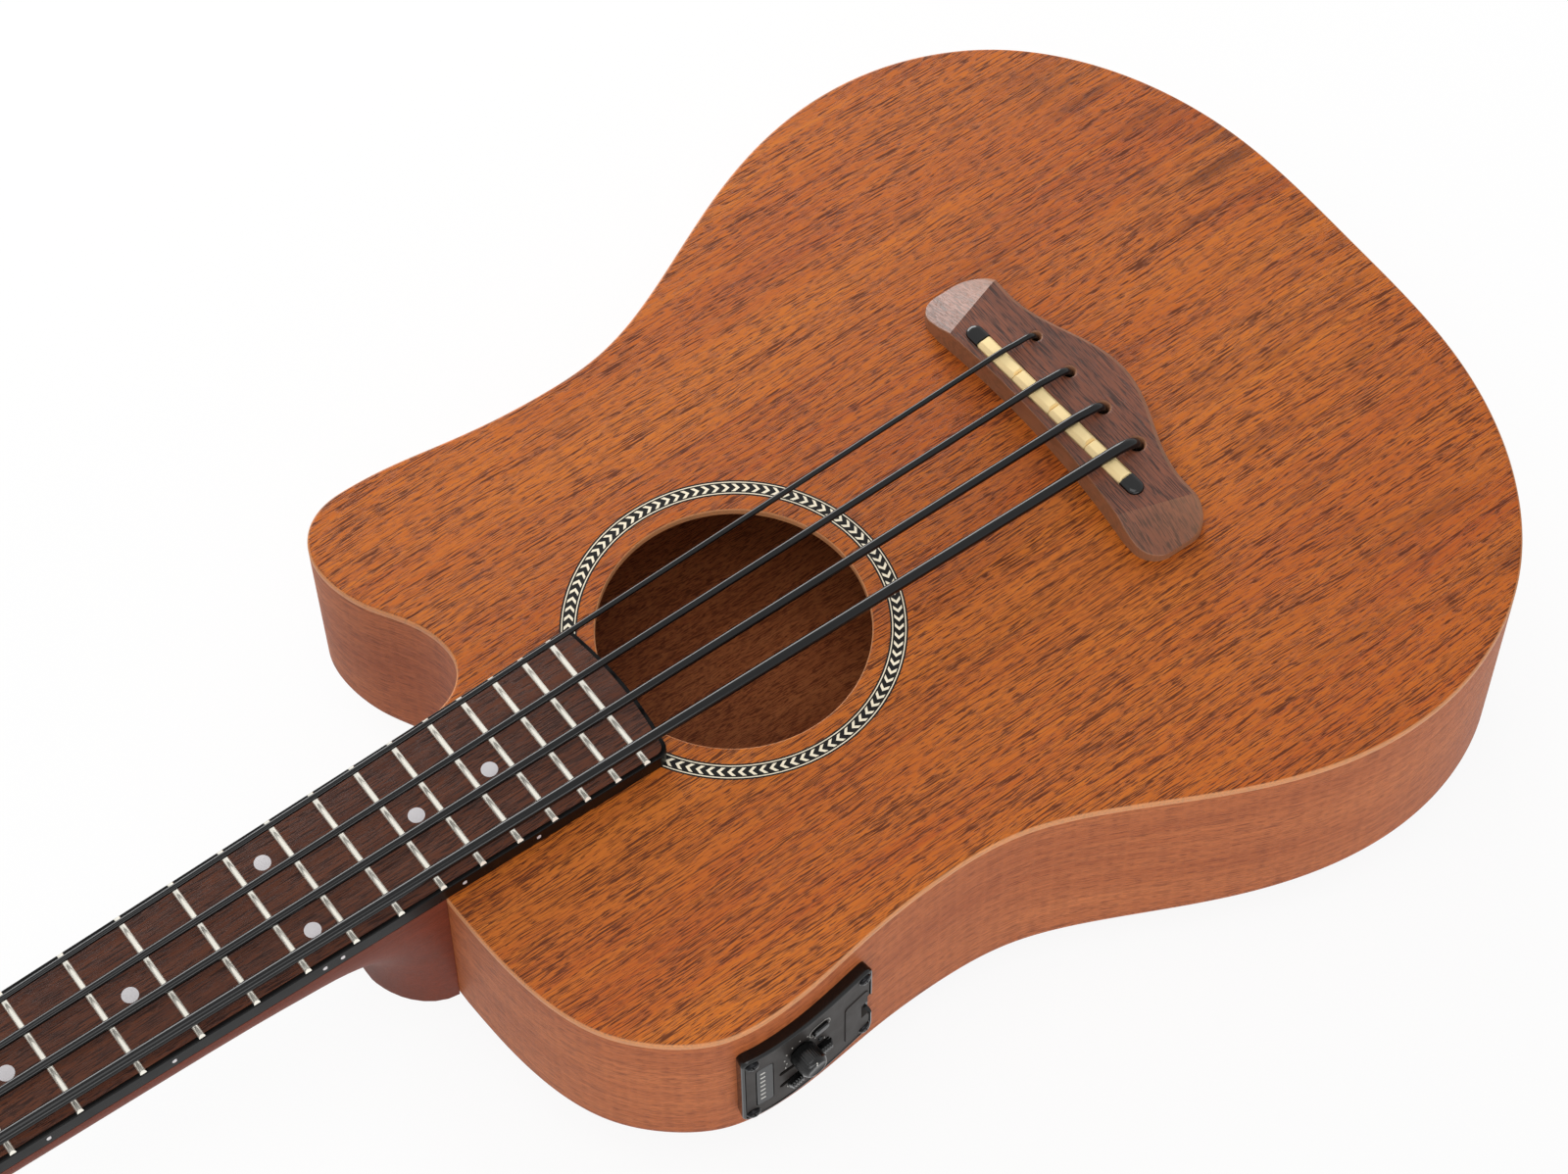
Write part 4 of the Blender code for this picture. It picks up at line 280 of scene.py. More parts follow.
class NeckSettings(bpy.types.PropertyGroup):
    """Sizes and colours of the neck and the fingerboard."""
    dot: size_setting("Face dot", "Diameter of the dots in the fingerboard's face", 5.5)
    side_dot: size_setting("Side dot", "Diameter of the dots in the binding", 2.0)
    neck_light: colour_setting("Neck, light", "Light tone of the neck", "#80361C")
    neck_dark: colour_setting("Neck, dark", "Dark tone of the neck", "#58220E")
    board_light: colour_setting("Board, light", "Light tone of the fingerboard", "#70402A")
    board_dark: colour_setting("Board, dark", "Dark tone of the fingerboard", "#3A1A10")
    pearl: colour_setting("Dots", "Colour of the dots", "#D2CED0")
    fret: colour_setting("Frets", "Colour of the fret metal", "#F2EEE2")


class BridgeSettings(bpy.types.PropertyGroup):
    """Sizes and colours of the bridge, saddles and strings."""
    belly_chamfer: size_setting("Belly chamfer", "Width of the chamfer along the bridge's rear",
                                1.6)
    edge: size_setting("Edge rounding", "Radius of the bridge's other edges", 0.45)
    hole_flare: size_setting("Hole flare", "Widening at the string holes' mouths", 1.3)
    light: colour_setting("Bridge, light", "Light tone of the walnut", "#8A5038")
    dark: colour_setting("Bridge, dark", "Dark tone of the walnut", "#4A2618")
    # Painted highlight: the lighter tone of the chamfers and sloping ends, where they catch the
    # lamps
    wear_and_highlight: colour_setting("Bridge, edges", "Tone of the walnut's chamfers and slopes", "#A87858")
    cream: colour_setting("Saddle", "Colour of the four saddles", "#FFE4A8")
    string: colour_setting("String", "Colour of the strings", "#0A0A0B")


class FittingSettings(bpy.types.PropertyGroup):
    """Sizes and colours of the tuning machines, the preamp and the jack."""
    rim: size_setting("Panel rim", "Width of the raised rim round the preamp's face", 1.0)
    screw: size_setting("Panel screw", "Diameter of the panel's screw heads", 4.6)
    flutes: bpy.props.IntProperty(name="Knob flutes", description="Grip flutes round the knob",
                                  default=36, min=6)
    face: colour_setting("Panel face", "Colour of the matte panel face", "#2E2A28")
    gloss: colour_setting("Gloss plastic", "Colour of the glossy black plastic", "#070707")
    metal: colour_setting("Black metal", "Colour of the black-plated metal", "#1C1C1E")
    print_colour: colour_setting("Print", "Colour of the printed marks", "#C4C2BC")


class StageSettings(bpy.types.PropertyGroup):
    """Camera and lights."""
    eye: bpy.props.FloatVectorProperty(name="Eye", description="Camera place", size=3,
                                       default=(-0.551292, 0.200216, 1.206806),
                                       subtype="TRANSLATION")
    target: bpy.props.FloatVectorProperty(name="Target",
                                          description="Point in the picture's middle",
                                          size=3, default=(0.002439, -0.192034, 0.097058),
                                          subtype="TRANSLATION")
    roll: bpy.props.FloatProperty(name="Roll", description="Turn of the camera about its view",
                                  default=math.radians(-1.007), subtype="ANGLE")
    lens: bpy.props.FloatProperty(name="Focal length", description="Lens for a 36 mm wide sensor",
                                  default=91.59, subtype="DISTANCE_CAMERA")
    key: bpy.props.FloatProperty(name="Key light", description="Power of the overhead soft light",
                                 default=10.5, unit="POWER")
    side: bpy.props.FloatProperty(name="Side light",
                                  description="Power of the low soft light beyond the treble side",
                                  default=30.0, unit="POWER")
    fill: bpy.props.FloatProperty(name="Fill light",
                                  description="Power of the soft light on the bass side",
                                  default=5.0, unit="POWER")
    sky: share_setting("Room light", "Strength of the even light of the room", 0.48)
    backdrop: colour_setting("Backdrop", "Colour of the floor and the room", "#FFFFFF")


class UkuleleSettings(bpy.types.PropertyGroup):
    """All sizes and colours of the looks."""
    body: bpy.props.PointerProperty(type=BodySettings)
    neck: bpy.props.PointerProperty(type=NeckSettings)
    bridge: bpy.props.PointerProperty(type=BridgeSettings)
    fittings: bpy.props.PointerProperty(type=FittingSettings)
    stage: bpy.props.PointerProperty(type=StageSettings)


def settings():
    """The scene's sizes and colours."""
    return bpy.context.scene.ukulele_looks


def loft(rings, closed=False):
    """A body through rings of equal length, whose ends are capped, or meet each other if closed.

    A ring of one point is a pole.
    """
    points, faces, rows = [], [], []
    for ring in rings:
        rows.append((len(points), len(ring)))
        points.extend(tuple(point) for point in ring)
    for (here, size), (there, following) in zip(rows, rows[1:] + (rows[:1] if closed else [])):
        count = max(size, following)
        for i in range(count):
            j = (i + 1) % count
            if size == 1:
                faces.append((here, there + j, there + i))
            elif following == 1:
                faces.append((here + i, here + j, there))
            else:
                faces.append((here + i, here + j, there + j, there + i))
    if not closed:
        for (start, size), turn in ((rows[0], -1), (rows[-1], 1)):
            if size > 1:
                faces.append(tuple(range(start, start + size))[::turn])
    return points, faces


def stacked(outlines):
    """A body through plan outlines, each with its height."""
    return loft([[(x, y, height) for x, y in outline] for outline, height in outlines])


def prism(outline, low, high):
    """An upright prism."""
    return stacked(((outline, low), (outline, high)))


def box(low, high):
    """A block between two corners."""
    (x0, y0, z0), (x1, y1, z1) = low, high
    return prism([(x0, y0), (x1, y0), (x1, y1), (x0, y1)], z0, z1)


def polar(radius, angle, centre=(0, 0)):
    """Plan point at a radius and an angle from a centre."""
    return centre[0] + radius * math.cos(angle), centre[1] + radius * math.sin(angle)


def circle(radius, count, centre=(0, 0)):
    """Corners of a regular polygon that stands for a circle."""
    return [polar(radius, 2 * math.pi * i / count, centre) for i in range(count)]


def turned(profile, count=48):
    """A body turned about Z from radius and height pairs; a zero radius is a pole."""
    return stacked((circle(radius, count) if radius > 0 else [(0, 0)], z) for radius, z in profile)


def turned_ring(profile, count=48):
    """A ring turned about Z from a closed profile that stays off the axis."""
    return loft([[(r * x, r * y, z) for r, z in profile] for x, y in circle(1, count)], closed=True)


def capsule(length, width, steps):
    """Outline of a slot with half-round ends, along X."""
    radius = width / 2
    reach = length / 2 - radius
    right = [polar(radius, math.pi * i / steps - math.pi / 2, (reach, 0)) for i in range(steps + 1)]
    return right + [(-x, -y) for x, y in right]


def rounded_box(length, width, corner, steps):
    """Outline of a rectangle with round corners, centred."""
    outline = []
    for quarter, (sx, sy) in enumerate(((1, 1), (-1, 1), (-1, -1), (1, -1))):
        centre = (sx * (length / 2 - corner), sy * (width / 2 - corner))
        outline += [polar(corner, math.pi / 2 * (quarter + i / steps), centre)
                    for i in range(steps + 1)]
    return outline


def rounding(radius, steps):
    """Inset and drop pairs of a quarter round, from the side face to the top face."""
    angles = [math.pi / 2 * i / steps for i in range(steps + 1)]
    return [(radius * (1 - math.cos(a)), radius * (1 - math.sin(a))) for a in angles]


def offset_path(path, inward, closed=False):
    """A plan path moved to its left, with mitred corners."""
    path = np.asarray(path, float)
    steps = np.roll(path, -1, axis=0) - path if closed else np.diff(path, axis=0)
    steps /= np.linalg.norm(steps, axis=1)[:, None]
    left = np.column_stack([-steps[:, 1], steps[:, 0]])
    before = np.vstack([left[-1:] if closed else left[:1], left[:len(path) - 1]])
    after = left if closed else np.vstack([left, left[-1:]])
    mitre = (before + after) / (1 + (before * after).sum(axis=1))[:, None]
    return path + inward * mitre


def offset_loop(loop, inward):
    """A closed outline that runs to the left, moved inward."""
    return offset_path(loop, inward, closed=True)


def stepped(outline, levels):
    """A body over one outline, drawn in by each level's inset at its height."""
    return stacked((offset_loop(outline, inset), z) for inset, z in levels)


def soft_prism(outline, low, high, radius, steps=3, both=False):
    """A prism with its upper edge rounded, and its lower one too where asked."""
    curve = rounding(radius, steps)
    foot = [(inset, low + drop) for inset, drop in reversed(curve)] if both else [(0, low)]
    return stepped(outline, foot + [(inset, high - drop) for inset, drop in curve])


def mirrored(rows, axis=0):
    """Rows of numbers, then their mirror image in reverse; a row on the mirror isn't repeated."""
    image = [tuple(-value if i == axis else value for i, value in enumerate(row))
             for row in reversed(rows) if row[axis]]
    return [*rows, *image]


def together(shapes):
    """Several shapes as one."""
    points, faces = [], []
    for more_points, more_faces in shapes:
        start = len(points)
        points.extend(more_points)
        faces.extend(tuple(start + i for i in face) for face in more_faces)
    return points, faces


def along_wall(path, section):
    """A strip bent along a path; each section corner is an inward offset and a height or rule."""
    edges = [offset_path(path, inward) for inward, _ in section]
    rings = []
    for i in range(len(path)):
        ring = []
        for edge, (_, height) in zip(edges, section):
            x, y = edge[i]
            ring.append((x, y, height(x, y) if callable(height) else height))
        rings.append(ring)
    return loft(rings)


def moved(shape, matrix):
    """A shape's points taken through a matrix."""
    points, faces = shape
    return [tuple(matrix @ Vector(point)) for point in points], faces


def slide(x=0.0, y=0.0, z=0.0):
    """A move without a turn."""
    return Matrix.Translation((x, y, z))


def spin(angle, axis="Z"):
    """A turn about one axis."""
    return Matrix.Rotation(angle, 4, axis)


def spline(points, steps):
    """Fine points of the natural cubic spline through the given ones, set out by chord length."""
    p = np.array(points, float)
    run = np.linalg.norm(np.diff(p, axis=0), axis=1)
    count = len(p)
    system = np.zeros((count, count))
    right = np.zeros_like(p)
    system[0, 0] = system[-1, -1] = 1
    for i in range(1, count - 1):
        system[i, i - 1:i + 2] = run[i - 1], 2 * (run[i - 1] + run[i]), run[i]
        right[i] = 6 * ((p[i + 1] - p[i]) / run[i] - (p[i] - p[i - 1]) / run[i - 1])
    bend = np.linalg.solve(system, right)
    fine = []
    for i, h in enumerate(run):
        for u in np.linspace(0, 1, steps, endpoint=False):
            v = 1 - u
            fine.append(v * p[i] + u * p[i + 1]
                        + h * h / 6 * ((v ** 3 - v) * bend[i] + (u ** 3 - u) * bend[i + 1]))
    fine.append(p[-1])
    return np.array(fine)


def packed_outline():
    """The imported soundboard's rim as a smooth open path, from the bass neck corner round."""
    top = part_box("soundboard")[1].z
    work = bmesh.new()
    work.from_mesh(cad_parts["soundboard"].data)
    bmesh.ops.remove_doubles(work, verts=work.verts, dist=1e-6)
    work.normal_update()
    start = max((v for v in work.verts if v.co.z > top - 1e-5), key=lambda v: v.co.x)
    loop, here, came = [], start, None
    while not loop or here is not start:
        loop.append((here.co.x / MM, here.co.y / MM - ORIGIN.y))
        for edge in here.link_edges:
            other = edge.other_vert(here)
            flat = sum(abs(face.normal.z) > 0.5 for face in edge.link_faces)
            if flat == 1 and other is not came and other.co.z > top - 1e-5:
                here, came = other, here
                break
    work.free()
    points = np.array(loop)
    x, y = points.T
    if (x * np.roll(y, -1) - y * np.roll(x, -1)).sum() < 0:
        points = points[::-1]
    at_neck = points[:, 1] > JOINT_Y - 0.01
    points = points[~at_neck | (np.abs(points[:, 0]) > NUT_HALF)]
    bass_corner = np.argmin(points[:, 0] + 1000 * (points[:, 1] < JOINT_Y - 0.01))
    return spline(np.roll(points, -int(bass_corner), axis=0), 6)


SOUNDBOARD_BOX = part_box("soundboard")
ORIGIN = Vector((0, SOUNDBOARD_BOX[1].y / MM - JOINT_Y, SOUNDBOARD_BOX[1].z / MM))
OUTLINE = packed_outline()
OUTLINE = OUTLINE[(np.abs(OUTLINE[:, 0]) > 0.5) | (OUTLINE[:, 1] > 0)]
TAIL = int(np.flatnonzero((OUTLINE[:, 0] > 0) & (OUTLINE[:, 1] < 0))[0])
TAIL_Y = float(np.interp(0, OUTLINE[TAIL - 1:TAIL + 1, 0], OUTLINE[TAIL - 1:TAIL + 1, 1]))
OUTLINE = np.insert(OUTLINE, TAIL, (0, TAIL_Y), axis=0)
BODY_LENGTH = JOINT_Y - TAIL_Y
BASS_FINE = OUTLINE[:TAIL + 1]
TREBLE_FINE = OUTLINE[TAIL:]


def in_row(point):
    """A point in millimetres of the instrument's frame, in metres of the row frame."""
    return (Vector(point) + ORIGIN) * MM


def back_depth(x, y):
    """Depth of the back's outer face under the soundboard's face."""
    behind = JOINT_Y - y
    slope = (TAIL_DEPTH - NECK_DEPTH) * behind / BODY_LENGTH
    arch = behind * (BODY_LENGTH - behind) / (2 * BACK_LENGTH_RADIUS)
    return NECK_DEPTH + slope + arch - x * x / (2 * BACK_CROSS_RADIUS)


def board_half(y):
    """Half width of the fingerboard and of the neck's top."""
    return NUT_HALF + (SCALE_LENGTH - y) * BOARD_SPREAD


def fret_y(number):
    """Distance of a fret from the saddle."""
    return SCALE_LENGTH * 2 ** (-number / 12)


def string_x(index, spread):
    """Place of a string across the neck, from the bass side."""
    return spread * (index / 3 - 0.5)


def saddle_y(x):
    """The slanted saddle's middle line."""
    return SADDLE_Y + x * math.tan(SADDLE_SLANT)


def saddle_frame():
    """Frame along the slanted saddle, at the soundboard's height."""
    return slide(0, SADDLE_Y, 0) @ spin(SADDLE_SLANT)


def head_frame():
    """Frame of the headstock: its face is Z = 0 and it starts behind the nut."""
    pivot = SCALE_LENGTH + NUT_LENGTH + 0.25
    return slide(0, pivot, HEAD_RISE) @ spin(-HEAD_TILT, "X")


def wall_frame(behind, depth, turn=0.0):
    """Frame on the bass side's outer face: X to the tail, Y up and Z outward."""
    y = JOINT_Y - behind
    heights = BASS_FINE[::-1, 1]
    x, ahead, after = (np.interp(v, heights, BASS_FINE[::-1, 0]) for v in (y, y + 1, y - 1))
    along = Vector((after - ahead, -2, 0)).normalized()
    up = Vector((0, 0, 1))
    axes = Matrix((along, up, along.cross(up))).transposed().to_4x4()
    return slide(x, y, -depth) @ axes @ spin(turn)


def jack_line():
    """Frame of the end-pin jack: Z points into the body."""
    return slide(0, TAIL_Y, -JACK_DEPTH) @ spin(-math.pi / 2, "X")


def feed(node, inputs):
    """Fills a node's inputs with values, outputs, or nodes whose first live output is meant."""
    for key, value in inputs.items():
        if isinstance(value, bpy.types.Node):
            value = next(socket for socket in value.outputs if socket.enabled)
        if isinstance(value, bpy.types.NodeSocket):
            node.id_data.links.new(value, node.inputs[key])
        else:
            node.inputs[key].default_value = value
    return node


def add(tree, kind, inputs=None, **values):
    """Adds a node with its settings and inputs."""
    made = tree.nodes.new(kind)
    for key, value in values.items():
        setattr(made, key, value)
    return feed(made, inputs or {})


def new_material(name):
    """A material with its tree and its Principled node."""
    material = bpy.data.materials.new(name)
    material.use_nodes = True
    return material, material.node_tree, material.node_tree.nodes["Principled BSDF"]


def wood(name, light, dark, pore, pore_size, pore_share, line=1.6, depth=1.0, crosswise=False,
         mapped=False, roughness=0.5, specular=0.3, glue_line=0.0, figure=0.0, edge=None):
    """Open-pored wood, its grain along Y, along X where crosswise, or along the piece's own map.

    Depth stretches the pattern along Z, so that a sloping face doesn't cut the grain to specks.
    """
    material, tree, surface = new_material(name)
    if mapped:
        place = add(tree, "ShaderNodeUVMap", uv_map="grain").outputs[0]
    else:
        place = add(tree, "ShaderNodeTexCoord").outputs["Object"]
    if crosswise:
        place = add(tree, "ShaderNodeVectorRotate", {"Vector": place, "Angle": math.pi / 2},
                    rotation_type="Z_AXIS").outputs[0]
    plain = place

    # Each layer: spacing across and along the grain in mm, octaves, and the noise values that the
    # layer's 0 and 1 stand for. The first one sways the grain of those after it.
    across, along = pore_size
    layers = {}
    for label, spacing, detail, (low, high) in (
            ("sway", (35, 140), 1.0, (0.2, 0.8)), ("cloud", (26, 150), 2.0, (0.3, 0.7)),
            ("lines", (line, 110), 4.0, (0.28, 0.72)),
            ("fibres", (line / 4, 22), 2.0, (0.25, 0.75)),
            ("rows", (across * 12, 70), 2.0, (0.3, 0.7)),
            ("short", (across, along), 1.0, (0.0, 1.0)),
            ("long", (across * 1.6, along * 2.4), 1.0, (0.0, 1.0)),
            ("streak", (8, 60), 2.5, (0.5, 0.68)),
            ("broad", (42, 55), 1.0, (0.4, 0.6)), ("broken", (30, 9), 2.0, (0.3, 0.55))):
        shares = [1 / (spacing[0] * MM), 1 / (spacing[1] * MM), 1 / (spacing[0] * depth * MM)]
        stretched = add(tree, "ShaderNodeVectorMath", {0: place, 1: shares}, operation="MULTIPLY")
        noise = add(tree, "ShaderNodeTexNoise",
                    {"Vector": stretched, "Scale": 1.0, "Detail": detail})
        layers[label] = add(tree, "ShaderNodeMapRange", {0: noise, 1: low, 2: high})
        if label == "sway":
            aside = add(tree, "ShaderNodeMath", {0: layers[label], 1: 4.4 * MM},
                        operation="MULTIPLY")
            shift = add(tree, "ShaderNodeCombineXYZ", {0: aside})
            place = add(tree, "ShaderNodeVectorMath", {0: place, 1: shift}).outputs[0]

    tone = 0.0
    for label, share in (("cloud", 0.4), ("lines", 0.4), ("fibres", 0.2)):
        tone = add(tree, "ShaderNodeMath", {0: layers[label], 1: share, 2: tone},
                   operation="MULTIPLY_ADD")
    shade = add(tree, "ShaderNodeMix", {0: tone, 6: dark, 7: light}, data_type="RGBA")

    # Pores are the noise's peaks, cut lower where the rows are dense
    pores = 0.0
    for label, low, high in (("short", 0.59, 0.66), ("long", 0.6, 0.66)):
        peak = add(tree, "ShaderNodeMath", {0: layers["rows"], 1: 0.085, 2: layers[label]},
                   operation="MULTIPLY_ADD")
        cut = add(tree, "ShaderNodeMapRange", {0: peak, 1: low, 2: high})
        pores = add(tree, "ShaderNodeMath", {0: pores, 1: cut}, operation="MAXIMUM")
    tints = [((pores,), pore_share, pore)]

    parts = add(tree, "ShaderNodeSeparateXYZ", {0: plain}).outputs
    if figure:
        # Ripples across the wings, behind the bridge
        behind = add(tree, "ShaderNodeMapRange", {0: parts[1], 1: -0.28, 2: -0.4})
        tints.append(((layers["streak"], layers["broad"], behind), figure, pore))
    if glue_line:
        off_middle = add(tree, "ShaderNodeMath", {0: parts[0]}, operation="ABSOLUTE")
        off_line = add(tree, "ShaderNodeMath", {0: off_middle, 1: glue_line}, operation="SUBTRACT")
        away = add(tree, "ShaderNodeMath", {0: off_line}, operation="ABSOLUTE")
        seam = add(tree, "ShaderNodeMapRange", {0: away, 1: 0.1 * MM, 2: 0.35 * MM, 3: 1.0, 4: 0.0})
        wear_and_highlight = add(tree, "ShaderNodeMapRange", {0: layers["broken"], 3: 0.3, 4: 1.0})
        tints.append(((seam, wear_and_highlight), 0.75, pore))
    if edge:
        # Painted highlight: faces turned away from upward, such as edges and slopes, get lighter
        # where lamps would glint
        normal = add(tree, "ShaderNodeNewGeometry").outputs["Normal"]
        upward = add(tree, "ShaderNodeSeparateXYZ", {0: normal}).outputs[2]
        turned_down = add(tree, "ShaderNodeMapRange", {0: upward, 1: 0.97, 2: 0.75})
        tints.append(((turned_down,), 0.6, edge))
    for masks, share, tint in tints:
        for mask in masks:
            share = add(tree, "ShaderNodeMath", {0: mask, 1: share}, operation="MULTIPLY")
        shade = add(tree, "ShaderNodeMix", {0: share, 6: shade, 7: tint}, data_type="RGBA")

    height = add(tree, "ShaderNodeMath", {0: layers["fibres"], 1: 0.15}, operation="MULTIPLY")
    height = add(tree, "ShaderNodeMath", {0: height, 1: pores}, operation="SUBTRACT")
    relief = add(tree, "ShaderNodeBump", {"Strength": 0.5, "Distance": 0.06 * MM, "Height": height})
    feed(surface, {"Base Color": shade, "Roughness": roughness, "Specular IOR Level": specular,
                   "Normal": relief})
    return material


def smooth_finish(name, base, roughness, metallic=0.0, *, relief, grain=0.35, spread=0.06,
                  specular=0.5):
    """Plastic or metal, its gloss slightly uneven, with a relief given in millimetres."""
    material, tree, surface = new_material(name)
    place = add(tree, "ShaderNodeTexCoord").outputs["Object"]
    fine = add(tree, "ShaderNodeTexNoise",
               {"Vector": place, "Scale": 1 / (grain * MM), "Detail": 2.0})
    broad = add(tree, "ShaderNodeTexNoise", {"Vector": place, "Scale": 1 / (9 * MM), "Detail": 3.0})
    gloss = add(tree, "ShaderNodeMapRange", {0: broad, 1: 0.3, 2: 0.7, 3: roughness - spread,
                                             4: roughness + spread})
    bump = add(tree, "ShaderNodeBump",
               {"Strength": 0.5, "Distance": relief * MM, "Height": fine.outputs[0]})
    feed(surface, {"Base Color": base, "Metallic": metallic, "Roughness": gloss,
                   "Specular IOR Level": specular, "Normal": bump})
    return material


@functools.cache
def materials():
    """The finishes by name, each made once."""
    looks = settings()
    body, neck, bridge, fittings = looks.body, looks.neck, looks.bridge, looks.fittings
    pores = (body.pore_width / MM, body.pore_length / MM)
    rib = (body.side_light, body.side_dark, body.side_pore)
    return {
        # Open-pored mahogany under a satin lacquer, in two book-matched wings and a middle, with a
        # painted highlight on its rounded edge
        "top": wood("mahogany_satin_top", body.top_light, body.top_dark, body.top_pore, pores, 0.85,
                    roughness=0.4, specular=0.2, glue_line=body.glue_line, figure=0.6,
                    edge=body.top_edge_highlight),
        # The same mahogany cut thin and bent, its grain running along the side
        "side": wood("mahogany_satin_side", *rib,
                     (pores[0] * 0.8, pores[1] * 0.7), 0.6, mapped=True, specular=0.15),
        "back": wood("mahogany_satin_back", *rib, pores, 0.75),
        # Quartered mahogany of the neck, closer-grained
        "neck": wood("mahogany_satin_neck", neck.neck_light, neck.neck_dark, body.side_pore,
                     (0.25, 3.5), 0.6, line=1.2, specular=0.15),
        # Unfinished softwood inside the box
        "inner": wood("bare_softwood", colour("#B88A60"), colour("#94683F"), colour("#5A3820"),
                      (0.4, 6.0), 0.35, line=1.8, roughness=0.75),
        # Oiled rosewood, dark with fine streaks
        "board": wood("rosewood_oiled", neck.board_light, neck.board_dark, colour("#1E0D09"),
                      (0.25, 5.0), 0.8, line=1.3, roughness=0.45, specular=0.2),
        # Oiled walnut of the bridge, its grain across the strings, with a painted highlight on its
        # chamfers and sloping ends
        "bridge": wood("walnut_oiled", bridge.light, bridge.dark, colour("#241009"), (0.24, 6.0),
                       0.85, line=1.3, depth=8.0, roughness=0.36, specular=0.4, crosswise=True,
                       edge=bridge.wear_and_highlight),
        # Polished cream plastic of the saddles, moulded
        "cream": smooth_finish("bone_plastic_cream", bridge.cream, 0.36, grain=0.8, relief=0.01),
        # Smooth extruded polyurethane, which mirrors lamps in a thin line
        "string": smooth_finish("polyurethane_string_black", bridge.string, 0.1, relief=0.001,
                                spread=0.02, specular=0.3),
        # Polished black ABS of knobs and rims, and its duller binding
        "gloss": smooth_finish("abs_gloss_black", fittings.gloss, 0.12, relief=0.004, spread=0.03,
                               specular=0.4),
        "binding": smooth_finish("abs_binding_black", colour("#090808"), 0.3, relief=0.008,
                                 specular=0.12),
        # Spark-eroded mould finish, matte with a fine tooth
        "face": smooth_finish("abs_matte_charcoal", fittings.face, 0.5, grain=0.25, relief=0.03,
                              specular=0.2),
        # Black-plated and bright steel, drawn and tumbled
        "metal": smooth_finish("plated_steel_black", fittings.metal, 0.2, 0.9, relief=0.004),
        "steel": smooth_finish("steel_bright", colour("#C2C2BE"), 0.28, 1.0, relief=0.006),
        # Nickel silver, polished along the fret's crown
        "fret": smooth_finish("nickel_silver_fret", neck.fret, 0.24, 0.7, grain=0.6, relief=0.004),
        "pearl": smooth_finish("pearl_plastic_dot", neck.pearl, 0.35, relief=0.006),
        # Dyed and natural fibre strips of the rosette, level with the lacquer
        "inlay_light": smooth_finish("maple_inlay_cream", body.inlay_light, 0.5, relief=0.006,
                                     specular=0.3),
        "inlay_dark": smooth_finish("fibre_inlay_black", colour("#080605"), 0.5, relief=0.006,
                                    specular=0.2),
        # Smoked acrylic over the display
        "glass": smooth_finish("smoked_display_window", colour("#16181A"), 0.14, relief=0.002,
                               spread=0.03, specular=0.25),
        # Pad-printed ink
        "print": smooth_finish("screen_print_pale", fittings.print_colour, 0.5, relief=0.004),
    }


def closed_mesh(name, points, faces):
    """A mesh in metres whose faces point outward."""
    mesh = bpy.data.meshes.new(name)
    mesh.from_pydata(points, [], faces)
    work = bmesh.new()
    work.from_mesh(mesh)
    bmesh.ops.recalc_face_normals(work, faces=work.faces)
    work.to_mesh(mesh)
    work.free()
    return mesh


def mesh_of(name, parts, maps=None):
    """One mesh from shapes in millimetres, each with its finish, and a map value for each point."""
    points, faces = together([shape for shape, _ in parts])
    mesh = closed_mesh(name, [in_row(point) for point in points], faces)
    finishes = list(dict.fromkeys(finish for _, finish in parts))
    for finish in finishes:
        if finish:
            mesh.materials.append(materials()[finish])
    indices = [finishes.index(finish) for (_, more), finish in parts for _ in more]
    mesh.polygons.foreach_set("material_index", indices)
    if maps is not None:
        layer = mesh.uv_layers.new(name="grain")
        for loop in mesh.loops:
            layer.data[loop.index].uv = maps[loop.vertex_index]
    return mesh


def local_mesh(name, shape):
    """A template's mesh, in metres about its own origin."""
    points, faces = shape
    return closed_mesh(name, [Vector(point) * MM for point in points], faces)


def new_object(name, mesh):
    """A linked object at the origin."""
    obj = bpy.data.objects.new(name, mesh)
    bpy.context.scene.collection.objects.link(obj)
    return obj


def settle(obj):
    """Gives the object the plain mesh that its modifiers make."""
    graph = bpy.context.evaluated_depsgraph_get()
    made = bpy.data.meshes.new_from_object(obj.evaluated_get(graph), preserve_all_data_layers=True,
                                           depsgraph=graph)
    obj.modifiers.clear()
    old, obj.data = obj.data, made
    made.name = obj.name
    bpy.data.meshes.remove(old)


def reshape(obj, helper_mesh, operation):
    """Cuts or joins what a mesh holds, and drops that mesh."""
    modifier = obj.modifiers.new("reshape", "BOOLEAN")
    modifier.operation, modifier.solver = operation, "EXACT"
    modifier.object = new_object("helper", helper_mesh)
    settle(obj)
    bpy.data.meshes.remove(helper_mesh)


def carved(shape, cutters):
    """A shape less its cutters, one after another, still in plain millimetres."""
    host = new_object("host", local_mesh("host", shape))
    for cutter in cutters:
        reshape(host, local_mesh("cutter", cutter), "DIFFERENCE")
    points = [tuple(vertex.co / MM) for vertex in host.data.vertices]
    faces = [tuple(face.vertices) for face in host.data.polygons]
    bpy.data.meshes.remove(host.data)
    return points, faces


def finish_piece(obj, body="instrument", node=None, angle=32):
    """Shades a piece, lets it ride on its body and stand for its CAD node."""
    obj.data.shade_smooth()
    obj.data.set_sharp_from_angle(angle=math.radians(angle))
    modifier = obj.modifiers.new("normals", "WEIGHTED_NORMAL")
    modifier.keep_sharp = True
    settle(obj)
    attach(obj, body)
    if node:
        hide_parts(node)


